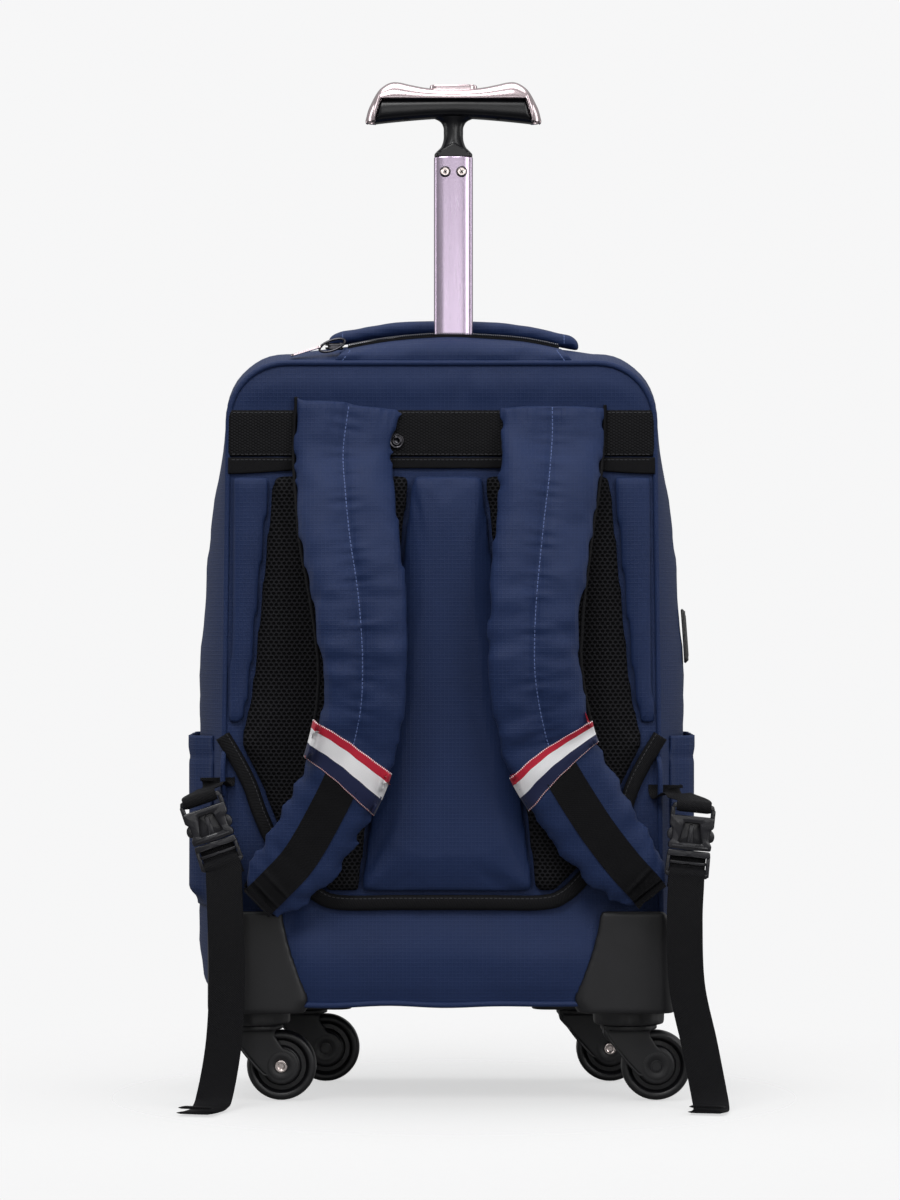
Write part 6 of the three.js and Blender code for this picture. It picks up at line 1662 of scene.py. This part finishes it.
def make_tube(paint):
    """Drawn tube: broad faces that bow out a little, round corners, a shallow flute down each face, and a
    wall with a rolled mouth."""
    steps = 120
    angle = np.linspace(0, 2 * np.pi, steps, endpoint=False)
    power = 0.5
    x = 14 * np.sign(np.cos(angle)) * np.abs(np.cos(angle)) ** power
    y = 10 * np.sign(np.sin(angle)) * np.abs(np.sin(angle)) ** power
    y = y - np.sign(y) * 0.25 * bump(x, 0, 4.5) * (np.abs(y) > 6)
    flat = np.stack([x, y], -1)
    low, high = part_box("handle_tube")
    bottom, top = low.z / MM, high.z / MM
    heights = [(bottom, 1.0), (bottom + 0.6, 1.0), (top - 1.0, 1.0), (top - 0.3, 0.99), (top, 0.97), (top, 0.90),
               (top - 0.6, 0.885), (top - 6, 0.885), (bottom, 0.885)]
    loops = stacked(flat, heights) + [TUBE_X, TUBE_Y, 0]
    loops = np.concatenate([loops, loops[:1]])
    loops = np.concatenate([loops, loops[:, :1]], axis=1)
    tube = weld(surface("tube_metal_skin", loops), 0.005, outward=True)
    dress(sharpened(tube), paint["tube"], "handle", "tube_metal", "handle_tube")

    for name, side in (("l", -1), ("r", 1)):
        middle = np.array([TUBE_X + side * 5.9, TUBE_Y - 10.4, top - 11])
        head = [(0.001, -0.35), (1.6, -0.8), (2.6, -0.7), (3.1, -0.25), (3.3, 0.1), (3.3, 0.9), (0.001, 0.9)]
        cup = turned("screw_head", head, middle, sides=40)
        arms = []
        for turn in (0.6, 0.6 + np.pi / 2):
            arm = np.array([(-1.7, -0.28), (1.7, -0.28), (1.7, 0.28), (-1.7, 0.28)])
            spin = np.array([[np.cos(turn), np.sin(turn)], [-np.sin(turn), np.cos(turn)]])
            flat = (arm @ spin) + middle[[0, 2]]
            arms.append(slab_between("recess", flat, middle[1] - 0.95, middle[1] - 0.3, 0.05))
        washer = turned("washer", [(3.3, -0.1), (3.8, -0.05), (4.0, 0.35), (3.3, 0.4)], middle, sides=40)
        dress(sharpened(combine(f"grip_screw_form_{name}", [cup])), paint["steel"], "handle", "rivet_metal",
              f"grip_screw_{name}")
        # Painted shade: the cross recess is a near-black piece standing for the shade inside it
        dress(combine(f"grip_screw_recess_{name}", arms), paint["lining"], "handle", "rivet_metal")
        dress(weld(washer, 0.001, outward=True), paint["grip"], "handle", "rivet_metal")


def grip_top(x):
    """Height of the grip's top over its length: a dip in the middle, two peaks, and ends that fall away."""
    far = np.abs(x) / 62
    return GRIP_Z + through(
        far, [0, 0.18, 0.36, 0.52, 0.64, 0.7, 0.78, 0.86, 0.93, 0.975, 1.0],
        [23.0, 23.4, 24.6, 26.6, 28.2, 28.3, 26.3, 21.8, 14.2, 7.6, 1.2])


def grip_low(x):
    """Height of the grip's underside: highest at the neck, lowest at the ends."""
    return GRIP_Z + 4.4 * (1 - np.clip(np.abs(x) / 56, 0, 1) ** 1.5)


def make_cover(paint):
    """Plated cover over the grip: sections in y and z that roll from one lower edge over the top to the
    other, each as wide as the ends' taper leaves it, with a lip turned in round the black insert."""
    x = np.concatenate([np.linspace(-61.9, -50, 40), np.linspace(-50, 50, 120)[1:-1], np.linspace(50, 61.9, 40)])
    top = grip_top(x)
    angle = np.linspace(0, np.pi, 61)
    far = np.abs(x) / 62
    depth = 13 * np.sqrt(np.clip(1 - np.clip((far - 0.8) / 0.2, 0, 1) ** 2.4, 0.12, 1))
    edge = np.where(np.abs(x) < 55.6, GRIP_Z + 16.9 - 14.5 * ease(np.abs(x), 51.6, 56.6), GRIP_Z + 0.4)
    edge = np.minimum(edge, top - 2.0)
    around = np.sign(np.cos(angle)) * np.abs(np.cos(angle)) ** 0.85
    rise = np.sin(angle) ** 0.9
    height = edge[:, None] + (top - edge)[:, None] * rise[None]
    skin = np.stack([np.broadcast_to(x[:, None], height.shape), depth[:, None] * around[None], height], -1)
    skin = skin + [TUBE_X, TUBE_Y, 0]
    cover = weld(surface("grip_cover_skin", skin[:, ::-1]), 0.005)
    walled(cover, 1.3)
    dress(cover, paint["cover"], "handle", "rose_metal", "grip_cover")

    spots = rounded_box(34, 11, 5.2, 12)
    base = GRIP_Z + 21.2
    heights = [(base, 1.0), (base + 5.0, 1.0), (base + 5.9, 0.985), (base + 6.4, 0.94), (base + 6.55, 0.86),
               (base + 6.3, 0.6), (base + 6.1, 0.2)]
    loops = stacked(spots, heights) + [TUBE_X, TUBE_Y, 0]
    dress(sharpened(solid("grip_button_cap", loops)), paint["cover"], "button", "rose_metal", "grip_button")
    rim = np.insert(rounded_box(36.5, 13.5, 6.2, 12), 2, 0, axis=1) + [TUBE_X, TUBE_Y, 0]
    rim[:, 2] = grip_top(rim[:, 0] - TUBE_X) + 0.35 - 1.2 * (np.abs(rim[:, 1] - TUBE_Y) / 13) ** 2
    dress(cord_along("grip_button_rim", rim, 0.8, 8, closed=True, across=(0, 0, 1)), paint["cover"], "handle",
          "rose_metal")


def make_grip_core(paint):
    """Black insert of the grip: a bowed front between the cover's edges and the curved underside, with a
    flared neck that is rounded like the tube below and ends in two pointed arches."""
    x = np.linspace(-56.4, 56.4, 150)
    far = np.abs(x) / 56.4
    top = GRIP_Z + 17.6 - 15.0 * ease(np.abs(x), 51.2, 57.4)
    low = grip_low(x) - 0.2
    depth = 12.2 * np.sqrt(np.clip(1 - np.clip((far - 0.9) / 0.1, 0, 1) ** 2 * 0.5, 0.2, 1))
    angle = np.linspace(0, 2 * np.pi, 56, endpoint=False)
    around = np.sign(np.cos(angle)) * np.abs(np.cos(angle)) ** 0.5
    rise = np.sign(np.sin(angle)) * np.abs(np.sin(angle)) ** 0.8
    middle, half = (top + low) / 2, np.maximum((top - low) / 2, 0.5)
    rings = np.stack([np.broadcast_to(x[:, None], (len(x), 56)), depth[:, None] * around[None],
                      middle[:, None] + half[:, None] * rise[None]], -1) + [TUBE_X, TUBE_Y, 0]
    insert = solid("insert", rings)

    z = np.linspace(0, 1, 60)
    neck_low = GRIP_Z - 24.0
    flare = through(z, [0, 0.05, 0.12, 0.22, 0.36, 0.6, 0.78, 0.9, 1.0], [13.6, 13.6, 12.2, 9.4, 7.6, 7.0, 7.6,
                                                                          10.2, 16.5])
    deep = through(z, [0, 0.05, 0.12, 0.22, 0.36, 0.6, 0.8, 1.0], [9.6, 9.6, 9.4, 9.0, 8.4, 7.6, 7.8, 9.4])
    angle = np.linspace(0, 2 * np.pi, 96, endpoint=False)
    power = through(z, [0, 0.1, 0.3, 1.0], [0.5, 0.55, 0.95, 0.95])[:, None]
    across = np.sign(np.cos(angle)) * np.abs(np.cos(angle)) ** power * flare[:, None]
    front = np.sign(np.sin(angle)) * np.abs(np.sin(angle)) ** power * deep[:, None]
    arch = 0.24 * (1 - np.clip(np.abs(across) / 9.5, 0, 1)) ** 0.7 + 0.08
    ledge = 1.5 * ease(arch - z[:, None], -0.012, 0.012) * (np.abs(front) > 3)
    front = front + np.sign(front) * ledge
    height = neck_low + (GRIP_Z + 4.6 - neck_low) * z
    rings = np.stack([across, np.clip(front, -9.9, 9.9), np.broadcast_to(height[:, None], across.shape)],
                     -1) + [TUBE_X, TUBE_Y, 0]
    neck = solid("neck", rings)
    core = combine("grip_core_form", [insert, neck])
    dress(sharpened(core, 50), paint["grip"], "handle", "black_plastic", "grip_core")
    # Painted shade: the underside holes are near-black pieces standing for the shade inside them
    holes = []
    for x in (-34.0, 33.0):
        hole = circle(2.3, 24, 1.0)
        loops = stacked(hole * [1, 1.4], ((0.2, 1.0), (-0.05, 1.0), (-0.06, 0.2)))
        holes.append(solid("hole", loops + [TUBE_X + x, TUBE_Y - 6.0, float(grip_low(np.array(x))) - 0.1]))
    dress(combine("grip_underside_holes", holes), paint["lining"], "handle", "black_plastic")


def make_sleeve(paint):
    """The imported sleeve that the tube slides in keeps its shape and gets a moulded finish."""
    sleeve = frame["nodes"]["handle_sleeve"]
    sleeve.data.materials.clear()
    sleeve.data.materials.append(paint["lining"])


# Casters

def make_housing(name, node, paint):
    """Moulded corner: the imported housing's form, remeshed fine, softened and bevelled by smoothing, with
    the collar's step kept by a ring of its own."""
    form = bpy.data.objects.new(f"housing_{name}", frame["nodes"][node].data.copy())
    bpy.context.scene.collection.objects.link(form)
    weld(form, 0.005)
    remeshed(form, 1.5)
    softened(form, 9, 0.5)
    modified(form, "DISPLACE", strength=0.8 * MM, mid_level=0.0)
    points = points_of(form)
    inner = ease(132 - np.abs(points[:, 0]), 0, 26) * ease(points[:, 2], 66, 76)
    points[:, 0] += np.sign(points[:, 0]) * inner * through(points[:, 2], [66, 90, 120, 150], [-6.0, -2.5, 1.5, 4.5])
    move_points(form, points)
    dress(form, paint["plastic"], "bag", "black_plastic", node)


def make_collar(name, x, y, paint):
    """Stepped ring under a housing, in which the swivel turns."""
    profile = [(18.0, 55.6), (24.0, 55.6), (24.9, 56.4), (25.1, 60.0), (25.3, 60.5), (25.3, 66.5), (24.6, 68.0),
               (18.0, 68.0)]
    ring = turned(f"swivel_collar_{name}", profile, (x, y, 0), axis="z", sides=72)
    dress(sharpened(ring), paint["plastic"], "bag", "black_plastic")


def make_wheel(name, x, y, paint):
    """Tyre with a rounded tread, a deep ring groove in its side, and a hub with a raised boss; built about
    the caster's own axle."""
    middle = (x + CASTER_TRAIL, y, WHEEL_Z)
    half = 8.5
    side = [(3.4, 7.9), (12.6, 7.9), (13.4, 7.5), (13.9, 6.4), (14.6, 4.2), (17.6, 4.0), (18.6, 5.2), (19.3, 7.4),
            (20.0, 8.2), (21.6, half), (23.2, 8.2), (24.3, 7.2), (24.85, 5.4), (25.0, 2.5)]
    profile = side + [(r, -h) for r, h in side[::-1]]
    loops = np.array(profile + profile[:1])
    angle = np.linspace(0, 2 * np.pi, 97)
    points = np.stack([loops[:, :1] * np.cos(angle), np.broadcast_to(loops[:, 1:], (len(loops), 97)),
                       loops[:, :1] * np.sin(angle)], -1) + middle
    wheel = weld(surface(f"tyre_{name}", points), 0.005, outward=True)
    dress(sharpened(wheel, 50), paint["tyre"], f"roller_{name}", "tyre", f"wheel_{name}")


def make_fork(name, node, paint):
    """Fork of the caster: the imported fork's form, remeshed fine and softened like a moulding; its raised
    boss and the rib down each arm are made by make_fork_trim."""
    form = bpy.data.objects.new(f"fork_form_{name}", frame["nodes"][node].data.copy())
    bpy.context.scene.collection.objects.link(form)
    weld(form, 0.005)
    remeshed(form, 0.9)
    softened(form, 5, 0.5)
    dress(form, paint["plastic"], f"swivel_{name}", "black_plastic", node)


def make_fork_trim(name, x, y, paint):
    """Boss rings on both arms, the diagonal rib to them, and the axle's ends: a rolled tube or a cap."""
    open_end = name in ("back_l", "front_r")
    parts, ends = [], []
    for sign in (-1, 1):
        face = sign * 12.9
        boss = [(0.5, 0.0), (9.4, 0.0), (9.8, 0.35), (9.8, 0.9), (9.2, 1.15), (6.2, 1.2), (5.8, 0.8), (0.5, 0.8)]
        ring = turned("boss", [(r, face - sign * 0.2 + sign * h * 0.6) for r, h in boss], (x + CASTER_TRAIL, y,
                WHEEL_Z), sides=56)
        parts.append(ring)
        rib = np.array([(x - 17.5, y + face, 50.5), (x - 15, y + face, 46.0), (x - 6, y + face, 33.5), (x + 5.5,
                y + face, 20.5), (x + 9.6, y + face, 18.5)])
        path = through(np.linspace(0, 1, 40), np.linspace(0, 1, 5), rib)
        parts.append(cord_along("rib", path, 0.95, 10, across=(0, 1, 0)))
        if open_end:
            shape = [(1.9, 0.2), (2.2, 1.0), (3.2, 1.5), (4.1, 1.3), (4.4, 0.9), (4.4, 0.3), (3.2, 0.1), (1.9, -1.2)]
        else:
            shape = [(0.001, 0.75), (3.1, 0.75), (3.3, 0.45), (3.6, 0.45), (3.8, 0.8), (4.3, 0.75), (4.4, 0.2),
                     (0.001, 0.1)]
        ends.append(turned("end", [(r, face + sign * (0.3 + h * 0.8)) for r, h in shape], (x + CASTER_TRAIL, y,
                WHEEL_Z), sides=40))
    dress(sharpened(combine(f"fork_trim_{name}", parts)), paint["plastic"], f"swivel_{name}", "black_plastic")
    finish = paint["steel"] if open_end else paint["grip"]
    body = frame["nodes"][f"axle_{name}"]["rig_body"]
    dress(sharpened(combine(f"axle_ends_{name}", ends)), finish, body, "rivet_metal", f"axle_{name}")


CASTERS = {"back_l": (-134.5, 35.0), "back_r": (134.5, 35.0), "front_l": (-106.0, 165.0), "front_r": (106.0, 165.0)}


def make_casters(paint):
    """Every fork, wheel, housing, collar and plate, at the casters' places."""
    for name, (x, y) in CASTERS.items():
        make_fork(name, f"fork_{name}", paint)
        make_fork_trim(name, x, y, paint)
        make_wheel(name, x, y, paint)
    for side, (x, y) in (("l", CASTERS["back_l"]), ("r", CASTERS["back_r"])):
        make_housing(f"back_{side}", f"caster_housing_{side}", paint)
        make_collar(f"back_{side}", x, y, paint)
    for side in "lr":
        plate = rounded_copy(f"caster_plate_{side}", f"front_plate_{side}", 2.2, 4, 40)
        dress(plate, paint["plastic"], "bag", "black_plastic", f"caster_plate_{side}")


# Stage

def make_stage(sizes):
    """Pale floor, soft lights and the camera where the photograph was taken from."""
    scene = bpy.context.scene
    scene.view_settings.view_transform = "Standard"
    floor = bpy.data.materials.new("pale_floor")
    floor.use_nodes = True
    tree = floor.node_tree
    shader = tree.nodes["Principled BSDF"]
    shader.inputs["Base Color"].default_value = (0.82, 0.82, 0.82, 1)
    shader.inputs["Roughness"].default_value = 0.9
    shader.inputs["Specular IOR Level"].default_value = 0.0
    place = tree.nodes.new("ShaderNodeTexCoord")
    far = tree.nodes.new("ShaderNodeVectorMath")
    far.operation = "LENGTH"
    tree.links.new(place.outputs["Object"], far.inputs[0])
    fade = tree.nodes.new("ShaderNodeMapRange")
    fade.interpolation_type = "SMOOTHSTEP"
    fade.inputs["From Min"].default_value = 0.1
    fade.inputs["From Max"].default_value = 0.62
    fade.inputs["To Min"].default_value = sizes.floor_cover
    fade.inputs["To Max"].default_value = 0.0
    tree.links.new(far.outputs["Value"], fade.inputs["Value"])
    tree.links.new(fade.outputs["Result"], shader.inputs["Alpha"])
    wide = 60000.0
    corners = np.array([(-wide, -wide, -0.5), (wide, -wide, -0.5), (wide, wide, -0.5), (-wide, wide, -0.5)])
    ground = mesh_piece("floor", corners, [np.array([[0, 1, 2, 3]])])
    ground.data.materials.append(floor)

    world = bpy.data.worlds.new("studio")
    world.use_nodes = True
    scene.world = world
    nodes, links = world.node_tree.nodes, world.node_tree.links
    base = nodes["Background"]
    base.inputs["Color"].default_value = (1, 1, 1, 1)
    base.inputs["Strength"].default_value = sizes.room_light
    seen = nodes.new("ShaderNodeBackground")
    seen.inputs["Color"].default_value = (0.928, 0.928, 0.931, 1)
    ray = nodes.new("ShaderNodeLightPath")
    mix = nodes.new("ShaderNodeMixShader")
    place = nodes.new("ShaderNodeTexCoord")
    parts = nodes.new("ShaderNodeSeparateXYZ")
    links.new(place.outputs["Generated"], parts.inputs[0])
    up = nodes.new("ShaderNodeMapRange")
    up.inputs["From Min"].default_value, up.inputs["From Max"].default_value = -0.6, 0.8
    up.inputs["To Min"].default_value, up.inputs["To Max"].default_value = 0.0, sizes.room_light * 2
    links.new(parts.outputs["Z"], up.inputs["Value"])
    links.new(up.outputs["Result"], base.inputs["Strength"])
    links.new(ray.outputs["Is Camera Ray"], mix.inputs[0])
    links.new(base.outputs[0], mix.inputs[1])
    links.new(seen.outputs[0], mix.inputs[2])
    links.new(mix.outputs[0], nodes["World Output"].inputs["Surface"])

    aim = np.array([0.0, 0.0, 0.36])
    for name, place, width, height, power in (
        ("key", (-0.8, -2.1, 2.6), 1.6, 1.2, sizes.key_light),
        ("fill", (1.5, -2.0, 1.2), 1.2, 1.8, sizes.key_light * 0.42),
        ("top", (0.0, 0.2, 2.6), 1.8, 1.6, sizes.key_light * 0.5),
        ("left_strip", (-1.7, 0.3, 0.8), 0.5, 1.9, sizes.key_light * 0.14),
        ("right_strip", (1.7, 0.3, 0.8), 0.5, 1.9, sizes.key_light * 0.14),
        ("left_card", (-0.55, -4.3, 0.95), 0.5, 1.2, sizes.card_light),
        ("middle_card", (0.02, -4.3, 0.95), 0.4, 1.2, sizes.card_light * 0.5),
        ("right_card", (0.5, -4.3, 0.95), 0.4, 1.2, sizes.card_light * 0.7),
    ):
        lamp = bpy.data.lights.new(name, "AREA")
        lamp.shape, lamp.size, lamp.size_y, lamp.energy = "RECTANGLE", width, height, power
        lit = bpy.data.objects.new(name, lamp)
        scene.collection.objects.link(lit)
        lit.location = place
        way = Vector(aim - np.array(place))
        lit.rotation_euler = way.to_track_quat("-Z", "Y").to_euler()

    eye = bpy.data.cameras.new("camera")
    eye.sensor_width, eye.lens = 36.0, 134.9
    eye.shift_x, eye.shift_y = 0.0025, 0.0083
    camera = bpy.data.objects.new("camera", eye)
    scene.collection.objects.link(camera)
    camera.location = (-0.0048, -3.2674, 0.352)
    camera.rotation_euler = (np.pi / 2, 0, 0)
    scene.camera = camera


# Settings, operators and panel

def color_setting(name, description, default):
    return bpy.props.FloatVectorProperty(
        name=name, description=description, subtype="COLOR", size=4, min=0.0, max=1.0, default=default)


class BackpackLooks(bpy.types.PropertyGroup):
    """Sizes and colours of the backpack's finishes."""

    cloth_color: color_setting("Cloth", "Colour of the ripstop cloth", shade(0x1D2C50))
    webbing_color: color_setting("Webbing", "Colour of webbing, binding and air mesh", shade(0x121214))
    plastic_color: color_setting("Plastic", "Colour of housings, forks and buckles", shade(0x121215))
    red_color: color_setting("Ribbon edge", "Colour of the ribbon's upper band", shade(0xC21534))
    tube_color: color_setting("Tube", "Colour of the anodised tube", shade(0xCDBCD2))
    grip_color: color_setting("Grip", "Colour of the plated grip cover and pulls", shade(0xE4D2D6))
    ripstop_cell: bpy.props.FloatProperty(
        name="Ripstop cell", description="Distance between the cloth's thicker threads", unit="LENGTH",
        subtype="DISTANCE", min=0.0005, max=0.02, precision=4, default=0.0027)
    mesh_pitch: bpy.props.FloatProperty(
        name="Mesh pitch", description="Distance between the holes of the air mesh", unit="LENGTH",
        subtype="DISTANCE", min=0.001, max=0.02, precision=4, default=0.0037)


class BackpackStudio(bpy.types.PropertyGroup):
    """Strength of the studio's lights."""

    key_light: bpy.props.FloatProperty(
        name="Key light", description="Power of the main light", unit="POWER", min=0.0, max=2000.0, default=42.0)
    card_light: bpy.props.FloatProperty(
        name="Card light", description="Power of the cards that show in the metal", unit="POWER", min=0.0, max=200.0,
        default=4.5)
    room_light: bpy.props.FloatProperty(
        name="Room light", description="Strength of the even light from all round", min=0.0, max=5.0, default=0.27)
    floor_cover: bpy.props.FloatProperty(
        name="Floor cover", description="How much of the pale floor shows under the bag", min=0.0, max=1.0,
        default=0.36)


PAINT = {}


def finishes(context):
    """The finishes, made once from the current settings."""
    if not PAINT:
        PAINT.update(paint_all(context.scene.backpack_looks))
    return PAINT


class BACKPACK_OT_stage(bpy.types.Operator):
    """Makes the floor, the lights and the camera"""

    bl_idname = "backpack.stage"
    bl_label = "Stage"

    def execute(self, context):
        make_stage(context.scene.backpack_studio)
        return {"FINISHED"}


class BACKPACK_OT_shell(bpy.types.Operator):
    """Makes the bag's cloth, piping and main zip"""

    bl_idname = "backpack.shell"
    bl_label = "Bag Shell"

    def execute(self, context):
        paint = finishes(context)
        make_shell(paint)
        make_piping(paint)
        make_main_zip(paint)
        return {"FINISHED"}


class BACKPACK_OT_pockets(bpy.types.Operator):
    """Makes the side pockets and the bare patch"""

    bl_idname = "backpack.pockets"
    bl_label = "Side Pockets"

    def execute(self, context):
        paint = finishes(context)
        make_pocket("l", -1, paint)
        make_pocket("r", 1, paint)
        make_patch(paint)
        return {"FINISHED"}


class BACKPACK_OT_padding(bpy.types.Operator):
    """Makes the padded back and its binding"""

    bl_idname = "backpack.padding"
    bl_label = "Back Padding"

    def execute(self, context):
        make_padding(finishes(context))
        return {"FINISHED"}


class BACKPACK_OT_band(bpy.types.Operator):
    """Makes the webbing band across the back with its binding and snap"""

    bl_idname = "backpack.band"
    bl_label = "Trolley Band"

    def execute(self, context):
        make_band(finishes(context))
        return {"FINISHED"}


class BACKPACK_OT_straps(bpy.types.Operator):
    """Makes the shoulder straps with their ribbons and webbing"""

    bl_idname = "backpack.straps"
    bl_label = "Shoulder Straps"

    def execute(self, context):
        paint = finishes(context)
        for name in "lr":
            strap, run = make_strap(name, paint)
            make_strap_trim(name, strap, run, paint)
        return {"FINISHED"}


class BACKPACK_OT_buckles(bpy.types.Operator):
    """Makes the buckles, their loops and the webbing tails"""

    bl_idname = "backpack.buckles"
    bl_label = "Buckles and Tails"

    def execute(self, context):
        paint = finishes(context)
        for name in "lr":
            make_buckle(name, paint)
            make_anchor(name, paint)
            make_tail(name, paint)
        return {"FINISHED"}


class BACKPACK_OT_opening(bpy.types.Operator):
    """Makes the flap with its zip and the carrying handle"""

    bl_idname = "backpack.opening"
    bl_label = "Top Opening"

    def execute(self, context):
        paint = finishes(context)
        make_flap(paint)
        make_grab_handle(paint)
        return {"FINISHED"}


class BACKPACK_OT_towing(bpy.types.Operator):
    """Makes the towing handle"""

    bl_idname = "backpack.towing"
    bl_label = "Towing Handle"

    def execute(self, context):
        paint = finishes(context)
        make_sleeve(paint)
        make_tube(paint)
        make_grip_core(paint)
        make_cover(paint)
        return {"FINISHED"}


class BACKPACK_OT_casters(bpy.types.Operator):
    """Makes the casters and their housings"""

    bl_idname = "backpack.casters"
    bl_label = "Casters"

    def execute(self, context):
        make_casters(finishes(context))
        return {"FINISHED"}


OPERATORS = (
    BACKPACK_OT_stage, BACKPACK_OT_shell, BACKPACK_OT_pockets, BACKPACK_OT_padding, BACKPACK_OT_band,
    BACKPACK_OT_straps, BACKPACK_OT_buckles, BACKPACK_OT_opening, BACKPACK_OT_towing, BACKPACK_OT_casters,
)


class BACKPACK_PT_panel(bpy.types.Panel):
    """Lists the backpack's settings and its pieces"""

    bl_idname = "BACKPACK_PT_panel"
    bl_label = "Backpack"
    bl_space_type = "VIEW_3D"
    bl_region_type = "UI"
    bl_category = "Backpack"

    def draw(self, context):
        for group in (context.scene.backpack_looks, context.scene.backpack_studio):
            for name in group.__annotations__:
                self.layout.prop(group, name)
        for operator in OPERATORS:
            self.layout.operator(operator.bl_idname)


CLASSES = (BackpackLooks, BackpackStudio, *OPERATORS, BACKPACK_PT_panel)


def register():
    for item in CLASSES:
        bpy.utils.register_class(item)
    bpy.types.Scene.backpack_looks = bpy.props.PointerProperty(type=BackpackLooks)
    bpy.types.Scene.backpack_studio = bpy.props.PointerProperty(type=BackpackStudio)


def unregister():
    del bpy.types.Scene.backpack_studio
    del bpy.types.Scene.backpack_looks
    for item in reversed(CLASSES):
        bpy.utils.unregister_class(item)


def main():
    """Registers the add-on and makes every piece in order."""
    register()
    for operator in OPERATORS:
        group, name = operator.bl_idname.split(".")
        getattr(getattr(bpy.ops, group), name)()


if __name__ == "__main__":
    main()
